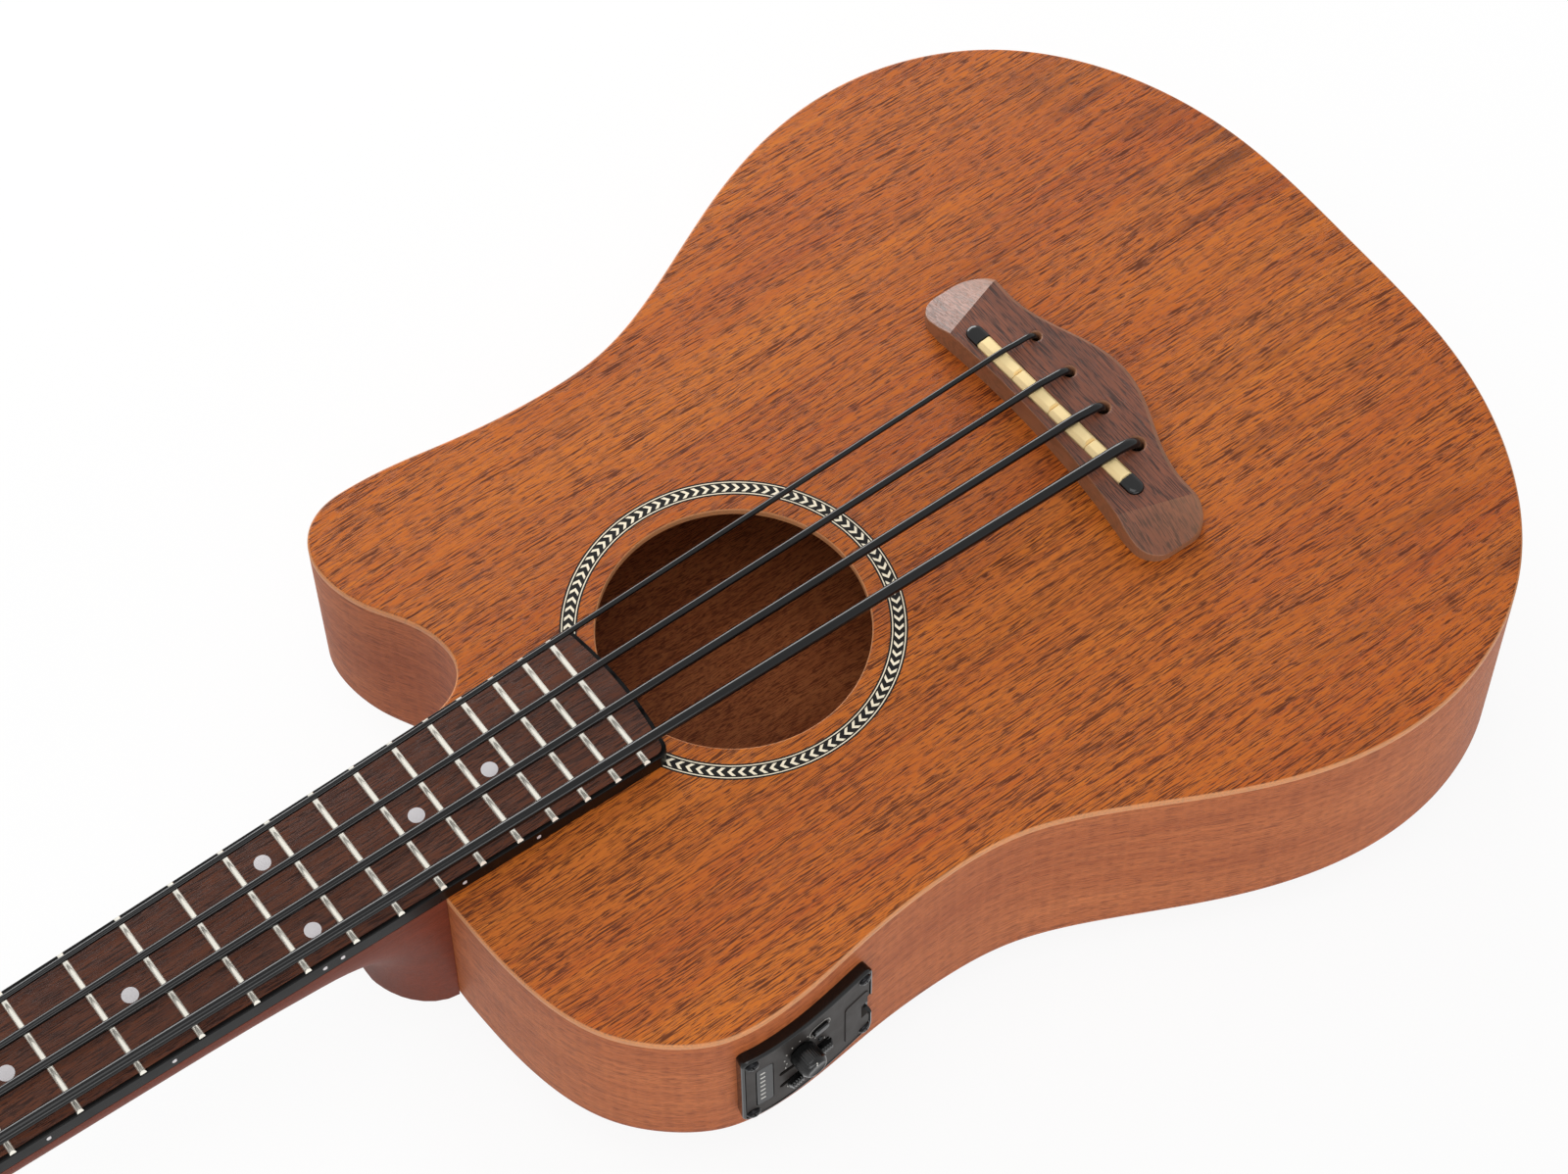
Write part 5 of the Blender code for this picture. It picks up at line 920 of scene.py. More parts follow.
def piece(node, parts, body="instrument", name=None, place=Matrix(), joins=(), cuts=(),
          maps=None, angle=32):
    """A piece that stands for a CAD node, from shapes in millimetres in a place's frame.

    Each group of shapes under joins is then added to it, and each group under cuts taken away.
    """
    parts = [(moved(shape, place), finish) for shape, finish in parts]
    obj = new_object(name or f"{node}_visual", mesh_of(node, parts, maps))
    for operation, groups in (("UNION", joins), ("DIFFERENCE", cuts)):
        for shapes in groups:
            reshape(obj, mesh_of("helper", [(moved(shape, place), None) for shape in shapes]),
                    operation)
    finish_piece(obj, body, node, angle)


def node_group(name, inputs):
    """A geometry tree with named inputs after its geometry; returns it with its two end nodes."""
    tree = bpy.data.node_groups.new(name, "GeometryNodeTree")
    for label, kind in (("Geometry", "Geometry"), *inputs):
        tree.interface.new_socket(label, in_out="INPUT", socket_type=f"NodeSocket{kind}")
    tree.interface.new_socket("Geometry", in_out="OUTPUT", socket_type="NodeSocketGeometry")
    return tree, tree.nodes.new("NodeGroupInput"), tree.nodes.new("NodeGroupOutput")


def close_tree(tree, start, end, geometry):
    """Makes the tree's instances real and gives them its material."""
    whole = add(tree, "GeometryNodeRealizeInstances", {0: geometry})
    feed(end, {0: add(tree, "GeometryNodeSetMaterial", {"Geometry": whole,
                                                        "Material": start.outputs["Material"]})})
    return tree


def repeat_tree():
    """Sets a template on every point, turned and sized by the points' own attributes."""
    tree, start, end = node_group("repeat_on_places", (("Template", "Object"),
                                                       ("Material", "Material")))
    template = add(tree, "GeometryNodeObjectInfo", {"Object": start.outputs["Template"]})
    angles, sizes = [add(tree, "GeometryNodeInputNamedAttribute", {"Name": name},
                         data_type="FLOAT_VECTOR") for name in ("turn", "size")]
    placed = add(tree, "GeometryNodeInstanceOnPoints", {
        "Points": start.outputs["Geometry"], "Instance": template.outputs["Geometry"],
        "Rotation": add(tree, "FunctionNodeEulerToRotation", {0: angles}), "Scale": sizes})
    return close_tree(tree, start, end, placed)


def cord_tree():
    """A round cord along the points of a line, as thick as each point says."""
    tree, start, end = node_group("cord_on_line", (("Sides", "Int"), ("Material", "Material")))
    curve = add(tree, "GeometryNodeMeshToCurve", {0: start.outputs["Geometry"]})
    section = add(tree, "GeometryNodeCurvePrimitiveCircle", {"Resolution": start.outputs["Sides"],
                                                             "Radius": 1.0})
    thickness = add(tree, "GeometryNodeInputNamedAttribute", {"Name": "thickness"},
                    data_type="FLOAT")
    tube = add(tree, "GeometryNodeCurveToMesh", {"Curve": curve, "Profile Curve": section,
                                                 "Scale": thickness, "Fill Caps": True})
    return close_tree(tree, start, end, tube)


def fret_tree():
    """Frets by the twelfth-root rule, each as long as the tapered board is wide."""
    tree, start, end = node_group("frets_by_rule", (
        ("Count", "Int"), ("Scale Length", "Float"), ("Nut Half", "Float"), ("Spread", "Float"),
        ("Saddle Place", "Vector"), ("Template", "Object"), ("Material", "Material")))
    given = start.outputs
    index = add(tree, "GeometryNodeInputIndex")
    number = add(tree, "ShaderNodeMath", {0: index, 1: 1.0}, operation="ADD")
    octave = add(tree, "ShaderNodeMath", {0: number, 1: -12.0}, operation="DIVIDE")
    share = add(tree, "ShaderNodeMath", {0: 2.0, 1: octave}, operation="POWER")
    run = add(tree, "ShaderNodeMath", {0: given["Scale Length"], 1: share}, operation="MULTIPLY")
    rest = add(tree, "ShaderNodeMath", {0: given["Scale Length"], 1: run}, operation="SUBTRACT")
    half = add(tree, "ShaderNodeMath", {0: rest, 1: given["Spread"], 2: given["Nut Half"]},
               operation="MULTIPLY_ADD")
    along = add(tree, "ShaderNodeCombineXYZ", {1: run})
    place = add(tree, "ShaderNodeVectorMath", {0: given["Saddle Place"], 1: along})
    points = add(tree, "GeometryNodePoints", {"Count": given["Count"], "Position": place})
    template = add(tree, "GeometryNodeObjectInfo", {"Object": given["Template"]})
    placed = add(tree, "GeometryNodeInstanceOnPoints", {
        "Points": points, "Instance": template.outputs["Geometry"],
        "Scale": add(tree, "ShaderNodeCombineXYZ", {0: half, 1: 1.0, 2: 1.0})})
    return close_tree(tree, start, end, placed)


def grow(obj, tree, **values):
    """Runs a geometry tree on the object with its inputs set by name, and keeps the plain mesh."""
    modifier = obj.modifiers.new(tree.name, "NODES")
    modifier.node_group = tree
    for item in tree.interface.items_tree:
        key = item.name.lower().replace(" ", "_")
        if item.in_out == "INPUT" and key in values:
            modifier[item.identifier] = values[key]
    obj.update_tag()
    settle(obj)


def repeated(name, shape, finish, places):
    """One piece of many equal shapes; each place is a matrix."""
    template = new_object(f"{name}_template", local_mesh(name, shape))
    mesh = bpy.data.meshes.new(name)
    mesh.from_pydata([in_row(place.to_translation()) for place in places], [], [])
    for label, rows in (("turn", [place.to_euler() for place in places]),
                        ("size", [place.to_scale() for place in places])):
        layer = mesh.attributes.new(label, "FLOAT_VECTOR", "POINT")
        layer.data.foreach_set("vector", [value for row in rows for value in row])
    obj = new_object(name, mesh)
    grow(obj, repeat_tree(), template=template, material=materials()[finish])
    bpy.data.meshes.remove(template.data)
    finish_piece(obj)


def cord(node, points, radii, finish, sides=20):
    """A cord through points in millimetres, in a CAD node's stead."""
    mesh = bpy.data.meshes.new(node)
    mesh.from_pydata([in_row(point) for point in points],
                     [(i, i + 1) for i in range(len(points) - 1)], [])
    layer = mesh.attributes.new("thickness", "FLOAT", "POINT")
    layer.data.foreach_set("value", [radius * MM for radius in radii])
    obj = new_object(f"{node}_visual", mesh)
    grow(obj, cord_tree(), sides=sides, material=materials()[finish])
    finish_piece(obj, node=node, angle=60)


def body_outline():
    """The body's closed outline, with points across the neck joint."""
    return np.vstack([OUTLINE, [(x, JOINT_Y) for x in NECK_JOINT_POINTS]])


def string_holes(low, high):
    """Cutters for the four string holes."""
    return [prism(circle(diameter / 2 + STRING_HOLE_ROOM, 24,
                         (string_x(i, SADDLE_SPREAD), STRING_HOLE_Y)), low, high)
            for i, diameter in enumerate(STRING_DIAMETERS)]


def lead_hole(low, high):
    """Cutter for the pickup lead's hole."""
    return prism(circle(LEAD_DIAMETER / 2 + LEAD_ROOM, 16, (LEAD_X, saddle_y(LEAD_X))), low, high)


def build_soundboard():
    """Flat top with a rounded edge and soundhole, the rosette's groove and the string holes."""
    looks = settings().body
    levels = [(0.1, -TOP_THICKNESS), (0.0, -TOP_THICKNESS + 0.1)]
    levels += [(inset, -drop) for inset, drop in rounding(looks.edge / MM, 5)] + [(1.6, 0.0)]
    below, above = -8, 4
    radius = looks.hole_edge / MM
    throat = [(SOUNDHOLE_RADIUS, below), (SOUNDHOLE_RADIUS, -radius)]
    throat += [(SOUNDHOLE_RADIUS + inset, -drop) for inset, drop in rounding(radius, 4)[1:]]
    throat += [(SOUNDHOLE_RADIUS + radius, above)]
    inner, outer = ROSETTE_INNER - ROSETTE_ROOM, ROSETTE_OUTER + ROSETTE_ROOM
    floor = -ROSETTE_DEPTH - 0.05
    groove = turned_ring(((inner, floor), (outer, floor), (outer, above), (inner, above)),
                         ROSETTE_STEPS)
    centre = (0, HOLE_Y, 0)
    piece("soundboard", [(stepped(body_outline(), levels), "top")],
          cuts=[[moved(turned(throat, ROSETTE_STEPS), slide(*centre)),
                 moved(groove, slide(*centre)), *string_holes(below, above),
                 lead_hole(below, above)]])


def build_rosette():
    """Rings of black and light inlay, with a band of chevrons between them."""
    edges = (ROSETTE_INNER, 51.4, 51.74, 55.66, 56.0, ROSETTE_OUTER)
    parts = []
    for k, (inner, outer) in enumerate(zip(edges, edges[1:])):
        top = -0.03 if outer - inner > 1 else 0.0
        ring = turned_ring(((inner, -ROSETTE_DEPTH), (outer, -ROSETTE_DEPTH), (outer, top),
                            (inner, top)), ROSETTE_STEPS)
        parts.append((moved(ring, slide(0, HOLE_Y, 0)), "inlay_light" if k % 2 else "inlay_dark"))
    piece("rosette", parts, name="rosette_rings")

    arms = ([(0.6, 0.0), (1.85, 0.0), (0.3, 1.45), (-0.95, 1.45)],
            [(1.85, 0.0), (0.6, 0.0), (-0.95, -1.45), (0.3, -1.45)])
    count = settings().body.chevrons
    places = [slide(x, y, 0) @ spin(2 * math.pi * i / count - math.pi / 2)
              for i, (x, y) in enumerate(circle(CHEVRON_RADIUS, count, (0, HOLE_Y)))]
    repeated("rosette_chevrons", together([prism(arm, -0.5, 0.0) for arm in arms]), "inlay_light",
             places)


def build_sides():
    """Two bent ribs with their grain running along them."""
    stop = TENON_HALF + 0.5
    paths = {"bass": np.vstack([[(-stop, JOINT_Y)], BASS_FINE[:-1], [(-0.1, TAIL_Y)]]),
             "treble": np.vstack([[(0.1, TAIL_Y)], TREBLE_FINE[1:], [(stop, JOINT_Y)]])}
    top = -TOP_THICKNESS - 0.02

    def foot(x, y):
        return BACK_THICKNESS + 0.02 - back_depth(x, y)

    def over_foot(x, y):
        return foot(x, y) + 0.12

    section = ((0.12, top), (0, top - 0.12), (0, over_foot), (0.12, foot), (SIDE_THICKNESS, foot),
               (SIDE_THICKNESS, top))
    jack_hole = moved(prism(circle(JACK_HOLE_RADIUS, 32), -20, 20), jack_line())
    preamp_hole = moved(box(*BOX_HOLE), wall_frame(*PANEL_MIDDLE))
    start = 0.0
    for side, path in paths.items():
        shape = along_wall(path, section)
        run = np.concatenate([[0], np.cumsum(np.linalg.norm(np.diff(path, axis=0), axis=1))])
        maps = [((point[2] + 0.3 * (i % len(section) > 3)) * MM,
                 (start + run[i // len(section)]) * MM) for i, point in enumerate(shape[0])]
        holes = [jack_hole, preamp_hole] if side == "bass" else [jack_hole]
        piece(f"side_{side}", [(shape, "side")], cuts=[holes], maps=maps)
        start += run[-1]


def build_back():
    """Pressed back, arched along and across, with a rounded edge."""
    radius = settings().body.back_edge / MM
    outline = body_outline()
    centre = np.array((0, JOINT_Y - BACK_MIDDLE_SHARE * BODY_LENGTH))

    def ring(loop, lift):
        return [(x, y, lift - back_depth(x, y)) for x, y in loop]

    shares = (0.97, 0.9, 0.8, 0.68, 0.55, 0.42, 0.28, 0.14)
    rings = [ring([centre], BACK_THICKNESS)]
    for share in reversed(shares[::2]):
        rings.append(ring(centre + share * (outline - centre), BACK_THICKNESS))
    for inset, lift in ((0.0, BACK_THICKNESS), *rounding(radius, 5)):
        rings.append(ring(offset_loop(outline, inset), lift))
    rings += [ring(centre + share * (outline - centre), 0.0) for share in shares]
    piece("back", [(loft(rings + [ring([centre], 0.0)]), "back")])


def heel_reach(z):
    """How far the heel stands out from the joint at a height."""
    return HEEL_CAP_REACH + HEEL_COVE_REACH * math.exp((z + HEEL_COVE_DEPTH) / HEEL_COVE_HEIGHT)


def neck_bottom(ahead):
    """Depth of the neck under its top face, ahead of the joint: heel, cove and shaft in one."""
    shaft = NECK_DEPTH_AT_NUT + (SCALE_LENGTH - JOINT_Y - ahead) * NECK_DEEPENS
    past_cap = ahead - HEEL_CAP_REACH
    if past_cap <= 0:
        return HEEL_DEPTH
    cove = HEEL_COVE_DEPTH - HEEL_COVE_HEIGHT * math.log(past_cap / HEEL_COVE_REACH)
    cove = min(HEEL_DEPTH, max(cove, 1.0))
    if cove == HEEL_DEPTH:
        return HEEL_DEPTH
    joined = (shaft ** COVE_JOIN_POWER + cove ** COVE_JOIN_POWER) ** (1 / COVE_JOIN_POWER)
    return min(HEEL_DEPTH, joined)


NECK_SHARES = [0.0, *[math.sin(math.pi / 2 * k / 17) for k in range(1, 17)], 0.9985]


def neck_ring(ahead):
    """Section of the neck at a distance ahead of the body, from a heel's taper to a round shaft."""
    y = JOINT_Y + ahead
    half = board_half(y)
    depth = neck_bottom(ahead)
    blend = min(1.0, max(0.0, (ahead - HEEL_BLEND_START) / HEEL_BLEND_LENGTH))
    blend = blend * blend * (3 - 2 * blend)
    side = []
    for share in NECK_SHARES:
        z = -share * depth
        width = HEEL_CAP_HALF + (board_half(JOINT_Y) - HEEL_CAP_HALF) * (1 + z / HEEL_DEPTH)
        plan = max(0.0, 1 - (ahead / heel_reach(z)) ** HEEL_PLAN_POWER) ** (1 / HEEL_PLAN_POWER)
        heel = width * plan if share else half
        round_x = half * (1 - share ** NECK_ROUND_POWER) ** (1 / NECK_ROUND_POWER)
        side.append(((1 - blend) * heel + blend * round_x, z))
    return mirrored([(x, y, z) for x, z in side] + [(0, y, -depth)])


def head_half(along):
    """Half width of the headstock at a distance behind the nut."""
    curve = spline(HEAD_OUTLINE, 12)
    return float(np.interp(along, curve[:, 1], curve[:, 0]))


def head_ring(along, power, top, bottom):
    """Section of the neck inside the headstock's tilted frame, squarer as the power grows."""
    half = head_half(along) - 0.05
    side = [(half * (1 - share ** power) ** (1 / power), along, top - share * (top - bottom))
            for share in NECK_SHARES]
    return [tuple(head_frame() @ Vector(point)) for point in mirrored(side + [(0, along, bottom)])]


def head_outline(start):
    """Outline of the headstock from a distance behind the nut to its crown, smooth."""
    edge = [(x, y) for x, y in spline(HEAD_OUTLINE, 12) if y > start + 1]
    crown = spline([(37.5, 142), (36.9, 147.2), (34.0, 149.5), *HEAD_CROWN[1:]], 8)[1:]
    return mirrored([(head_half(start), start)] + edge + [tuple(point) for point in crown])


def build_neck():
    """Neck, heel, tenon and headstock in one piece of wood, and the headstock's veneer."""
    nut_end = SCALE_LENGTH + NUT_LENGTH - JOINT_Y
    near = [0.1, 4, 8, 11, 14, 16, 18, 19, 20, 20.4, 20.75, 21.1, 21.6, 22.2, 23, 24, 25.5, 27, 29,
            32, 36, 40, 46, 52, 60, 70, 85, 110, 160, 220]
    aheads = near + [nut_end - 40, nut_end - 20, nut_end - 8, nut_end - 1]
    rings = [neck_ring(ahead) for ahead in aheads]
    top = -OVERLAY - 0.02
    bottom = -OVERLAY - 0.25 - HEAD_THICKNESS
    rings.append(head_ring(3.0, 3.4, top - 0.05, bottom + 0.05))
    rings.append(head_ring(HEAD_SLAB_START + 2, 8.0, top - 0.05, bottom + 0.05))
    slab = soft_prism(head_outline(HEAD_SLAB_START), bottom, top, 0.5, both=True)
    tenon = box((-TENON_HALF, JOINT_Y - TENON_LENGTH, -TENON_DEPTH), (TENON_HALF, JOINT_Y + 3, -4))
    channel = box((-ROD_CHANNEL_HALF, JOINT_Y - TENON_LENGTH - 5, -ROD_CHANNEL_DEPTH),
                  (ROD_CHANNEL_HALF, SCALE_LENGTH - 11.75, 5))
    piece("neck", [(loft(rings), "neck")],
          joins=[[moved(slab, head_frame()), tenon]], cuts=[post_holes(bottom - 5), [channel]],
          angle=40)
    veneer = moved(soft_prism(head_outline(0.4), -OVERLAY, 0.0, 0.35), head_frame())
    piece("headstock_overlay", [(veneer, "board")], name="headstock_veneer",
          cuts=[post_holes(-10)])


def post_holes(low):
    """Cutters for the bushings' holes in the headstock, from a height in its frame."""
    hole = prism(circle(POST_HOLE_RADIUS, 32), low, 5)
    return [moved(moved(hole, slide(x, y, 0)), head_frame()) for x, y in post_places()]


def post_places():
    """Places of the four string posts on the headstock, from the bass side."""
    return [(POST_X if index > 1 else -POST_X, POST_Y[index]) for index in range(4)]


def board_path():
    """Plan path round the fingerboard: up the bass side last, with a slightly bowed end."""
    end_y = fret_y(FRET_COUNT) - BOARD_PAST_LAST_FRET
    corner_y = end_y + BOARD_END_BULGE + BOARD_CORNER
    corner_x = board_half(corner_y) - BOARD_CORNER
    half = [(board_half(SCALE_LENGTH - 0.05), SCALE_LENGTH - 0.05)]
    for degrees in range(0, 81, 8):
        angle = math.radians(degrees)
        half.append(polar(BOARD_CORNER, -angle, (corner_x, corner_y)))
    for share in (0.85, 0.7, 0.55, 0.4, 0.25, 0.1):
        half.append((corner_x * share, end_y + BOARD_END_BULGE * share * share))
    return mirrored(half + [(0.0, end_y)])[::-1]


def build_fingerboard():
    """Board, binding, frets by rule, face dots and side dots."""
    looks = settings().neck
    path = board_path()
    outline = offset_path(path, BINDING_WIDTH + 0.01)
    board = soft_prism(outline, BOARD_BOTTOM, BOARD_TOP, 0.15, 2)
    piece("fingerboard", [(board, "board")])
    section = [(0, BOARD_BOTTOM)] + [(inset, BINDING_TOP - drop)
                                     for inset, drop in rounding(0.4, 3)]
    section += [(BINDING_WIDTH, BINDING_TOP), (BINDING_WIDTH, BOARD_BOTTOM)]
    piece("fingerboard_binding", [(along_wall(path, section), "binding")],
          name="binding_visual")

    low, crown, half = BOARD_TOP - 0.12, FRET_CROWN, FRET_WIDTH / 2
    profile = [(-half, low), (-half, low + 0.12)]
    for degrees in range(20, 161, 14):
        angle = math.radians(degrees)
        profile.append((-half * math.cos(angle) * 0.98,
                        low + 0.12 + (crown - low - 0.12) * math.sin(angle)))
    profile += [(half, low + 0.12), (half, low)]
    # Each end is bevelled: a slanted end ring, then an upright one inside its crown
    ends = mirrored(((-1, 0.988, 0.021), (-1, 0.95, 0.0)))
    rings = [[(side * (reach - slope * (z - low)) / MM, y, z) for y, z in profile]
             for side, reach, slope in ends]
    template = new_object("fret_template", local_mesh("fret_template", loft(rings)))
    obj = new_object("frets", bpy.data.meshes.new("frets"))
    grow(obj, fret_tree(), count=FRET_COUNT, scale_length=SCALE_LENGTH * MM, nut_half=NUT_HALF * MM,
         spread=BOARD_SPREAD, saddle_place=in_row((0, 0, 0)), template=template,
         material=materials()["fret"])
    bpy.data.meshes.remove(template.data)
    finish_piece(obj, angle=50)

    dots, side_dots = [], []
    for number in (3, 5, 7, 9, 12, 15, 17):
        middle = (fret_y(number) + fret_y(number - 1)) / 2
        gap = (SADDLE_SPREAD + (NUT_SPREAD - SADDLE_SPREAD) * middle / SCALE_LENGTH) / 3
        for x in ((-gap, gap) if number == 12 else (0.0,)):
            dots.append(slide(x, middle, BOARD_TOP - 0.2))
        for y in ((middle - 3.2, middle + 3.2) if number == 12 else (middle,)):
            side_dots.append(slide(-board_half(y) + 0.35, y, (BOARD_BOTTOM + BINDING_TOP) / 2)
                             @ spin(-math.pi / 2, "Y"))
    radius = looks.dot / MM / 2
    disc = turned(((0, -0.4), (radius, -0.4), (radius, 0.2), (radius - 0.1, 0.23), (0, 0.23)), 32)
    repeated("face_dots", disc, "pearl", dots)
    radius = looks.side_dot / MM / 2
    pin = turned(((0, -0.3), (radius, -0.3), (radius, 0.33), (radius - 0.1, 0.36), (0, 0.36)), 20)
    repeated("side_dots", pin, "pearl", side_dots)


def nut_run(index):
    """Centre points of a string from before the nut to behind it."""
    top = FRET_CROWN + 0.7 + STRING_DIAMETERS[index] / 2
    x = string_x(index, NUT_SPREAD)
    saddle_x, start_y, saddle_z = saddle_crossing(index)
    slope = (top - saddle_z) / (SCALE_LENGTH - start_y)
    lean = (x - saddle_x) / (SCALE_LENGTH - start_y)
    y0, y1 = SCALE_LENGTH, SCALE_LENGTH + NUT_LENGTH
    return [(x - 2 * lean, y0 - 2, top - 2 * slope), (x + 1.5 * lean, y0 + 1.5, top - 0.05),
            (x + 4 * lean, y0 + 4, top - 0.55), (x + 8 * lean, y1 + 2, top - 1.7)]


def saddle_crossing(index):
    """Centre of a string over its saddle."""
    x = string_x(index, SADDLE_SPREAD)
    return x, saddle_y(x), SADDLE_TOP + 0.1 + STRING_DIAMETERS[index] / 2


def build_nut():
    """Slotted nut with a falling, rounded top."""
    y0, y1, top = SCALE_LENGTH, SCALE_LENGTH + NUT_LENGTH, BOARD_TOP + 3.0
    profile = [(y0, BOARD_BOTTOM), (y0, top - 0.5), (y0 + 0.2, top - 0.15), (y0 + 0.6, top),
               (y0 + 1.6, top - 0.02), (y0 + 3, top - 0.25), (y0 + 4.4, top - 0.8),
               (y0 + 5.4, top - 1.6), (y1 - 0.1, top - 2.3), (y1, top - 2.8), (y1, BOARD_BOTTOM)]
    rings = []
    for x, inset in mirrored(((-NUT_HALF, 0.3), (-NUT_HALF + 0.3, 0))):
        rings.append([(x, min(max(y, y0 + inset), y1 - inset), min(z, top - inset))
                      for y, z in profile])
    slots = []
    for index, diameter in enumerate(STRING_DIAMETERS):
        radius = diameter / 2 + 0.15
        angles = [math.pi * (1 + k / 12) for k in range(13)]
        slot = []
        for x, y, z in nut_run(index):
            slot.append([(x + radius * math.cos(a), y, z + radius * math.sin(a)) for a in angles]
                        + [(x + radius, y, z + 8), (x - radius, y, z + 8)])
        slots.append(loft(slot))
    piece("nut", [(loft(rings), "binding")], cuts=[slots])


def bridge_edges(x):
    """Rear and front edge of the bridge at a distance from its middle."""
    x = abs(x)
    share = min(1.0, x / 50)
    front = BRIDGE_FRONT - BRIDGE_FRONT_HOLLOW * (1 - share * share)
    rear = BRIDGE_REAR
    if x < BRIDGE_BELLY_HALF:
        rear -= BRIDGE_BELLY * math.cos(math.pi * x / (2 * BRIDGE_BELLY_HALF)) ** 2
    into_corner = x - (BRIDGE_HALF - BRIDGE_CORNER)
    if into_corner > 0:
        inset = BRIDGE_CORNER - math.sqrt(max(0.0, BRIDGE_CORNER ** 2 - into_corner ** 2))
        front -= inset
        rear += inset
    return rear, front


def crease(y):
    """Where the bridge's sloping facet starts, as a distance from the middle."""
    share = (y - FACET_REAR[1]) / (FACET_FRONT[1] - FACET_REAR[1])
    return FACET_REAR[0] + (FACET_FRONT[0] - FACET_REAR[0]) * share


def bridge_height(x, y):
    """The flat middle and the two facets that fall to the tips."""
    beyond = max(0.0, abs(x) - crease(y)) / (BRIDGE_HALF - crease(y))
    return BRIDGE_HEIGHT - (BRIDGE_HEIGHT - BRIDGE_TIP_HEIGHT) * beyond


def bridge_point(step, across):
    """Plan point at a step along the bridge, 1 on the facet's crease and 2 at the tip."""
    side, step = math.copysign(1, step), abs(step)
    x, y = 0.0, -10.0
    for _ in range(12):
        line = crease(y)
        x = step * line if step <= 1 else line + (step - 1) * (BRIDGE_HALF * 0.9995 - line)
        rear, front = bridge_edges(x)
        y = rear + across * (front - rear)
    return side * x, y


def build_bridge():
    """Bridge with a bellied rear, two sloping ends, flared string holes and the saddle's slot."""
    looks = settings().bridge
    chamfer, edge = looks.belly_chamfer / MM, looks.edge / MM
    middle = [k / 16 for k in range(16)] + [0.97]
    tips = [1.0, 1.03, *[1 + k / 10 for k in range(1, 10)], 1.93, 1.96, 1.985, 2.0]
    half = middle + tips
    rings = []
    for step in [-k for k in reversed(half[1:])] + half:
        rear_x, rear = bridge_point(step, 0.0)
        front_x, front = bridge_point(step, 1.0)
        length = front - rear
        low = 0.04
        ring = [(rear_x, rear, low)]
        levels = [(0.0, chamfer * 0.75), (chamfer * 0.12, chamfer * 0.55),
                  (chamfer * 0.85, chamfer * 0.08), (chamfer, 0.0)]
        shares = [(min(into, length * 0.2) / length, drop) for into, drop in levels]
        shares += [(share, 0.0) for share in (0.2, 0.35, 0.5, 0.65, 0.8)]
        shares += [(1 - inset / length, drop) for inset, drop in reversed(rounding(edge, 3))]
        for share, drop in shares:
            x, y = bridge_point(step, share)
            ring.append((x, y, bridge_height(x, y) - min(drop, 1.2)))
        ring.append((front_x, front, low))
        rings.append(ring)
    flares = []
    for index, diameter in enumerate(STRING_DIAMETERS):
        radius, flare = diameter / 2 + STRING_HOLE_ROOM, looks.hole_flare / MM
        centre = (string_x(index, SADDLE_SPREAD), STRING_HOLE_Y)
        profile = [(radius, -3), (radius, BRIDGE_HEIGHT - 2.2)]
        profile += [(radius + flare * (1 - math.cos(a)), BRIDGE_HEIGHT - 2.2 + 2.2 * math.sin(a))
                    for a in (0.4, 0.8, 1.2, math.pi / 2)] + [(radius + flare, BRIDGE_HEIGHT + 3)]
        flares.append(stacked((circle(r, 28, centre), z) for r, z in profile))
    slot = prism(capsule(HOUSING_LENGTH + 0.1, HOUSING_WIDTH + 0.1, 16), SADDLE_FLOOR,
                 BRIDGE_HEIGHT + 5)
    piece("bridge", [(loft(rings), "bridge")], angle=18,
          cuts=[flares, [moved(slot, saddle_frame())], [lead_hole(-3, SADDLE_FLOOR + 2)]])


def build_saddles():
    """Black housing with domed ends and four cream saddles seated in it."""
    top = BRIDGE_HEIGHT + 1.5
    levels = [(0, SADDLE_FLOOR + 0.25), (0, BRIDGE_HEIGHT)]
    levels += [(0.12, top - 0.95), (0.4, top - 0.6), (0.9, top - 0.28), (1.5, top - 0.1),
               (2.3, top)]
    housing = stacked((capsule(HOUSING_LENGTH - 2 * inset, HOUSING_WIDTH - 2 * inset, 14), z)
                      for inset, z in levels)
    row = SADDLE_ROW / 2 + 0.1
    bed = box((-row, -HOUSING_WIDTH, SADDLE_SEAT), (row, HOUSING_WIDTH, top + 5))
    piece("saddle_housing", [(housing, "gloss")], place=saddle_frame(),
          cuts=[[bed]])

    half = SADDLE_WIDTH / 2
    profile = [(half, SADDLE_SEAT + 0.02), (half, SADDLE_TOP - 1.9),
               (half - 0.15, SADDLE_TOP - 1.55), (half * 0.6, SADDLE_TOP - 0.32),
               (half * 0.5, SADDLE_TOP - 0.12), (0.0, SADDLE_TOP)]
    bounds = [-SADDLE_ROW / 2, -18.0, 0.0, 18.0, SADDLE_ROW / 2]
    for name, low, high in zip(NAMES, bounds, bounds[1:]):
        low, high = low + 0.08, high - 0.08
        rings = []
        for x, inset in ((low, 0.75), (low + 0.5, 0.2), (low + 0.7, 0.0), (high - 0.7, 0.0),
                         (high - 0.5, 0.2), (high, 0.75)):
            edge, crown = half - inset * 0.3, SADDLE_TOP - inset * 1.5
            rings.append([(x, max(min(y, edge), -edge), min(z, crown))
                          for y, z in mirrored(profile)])
        piece(f"saddle_{name}", [(loft(rings), "cream")], place=saddle_frame(),
              angle=25)


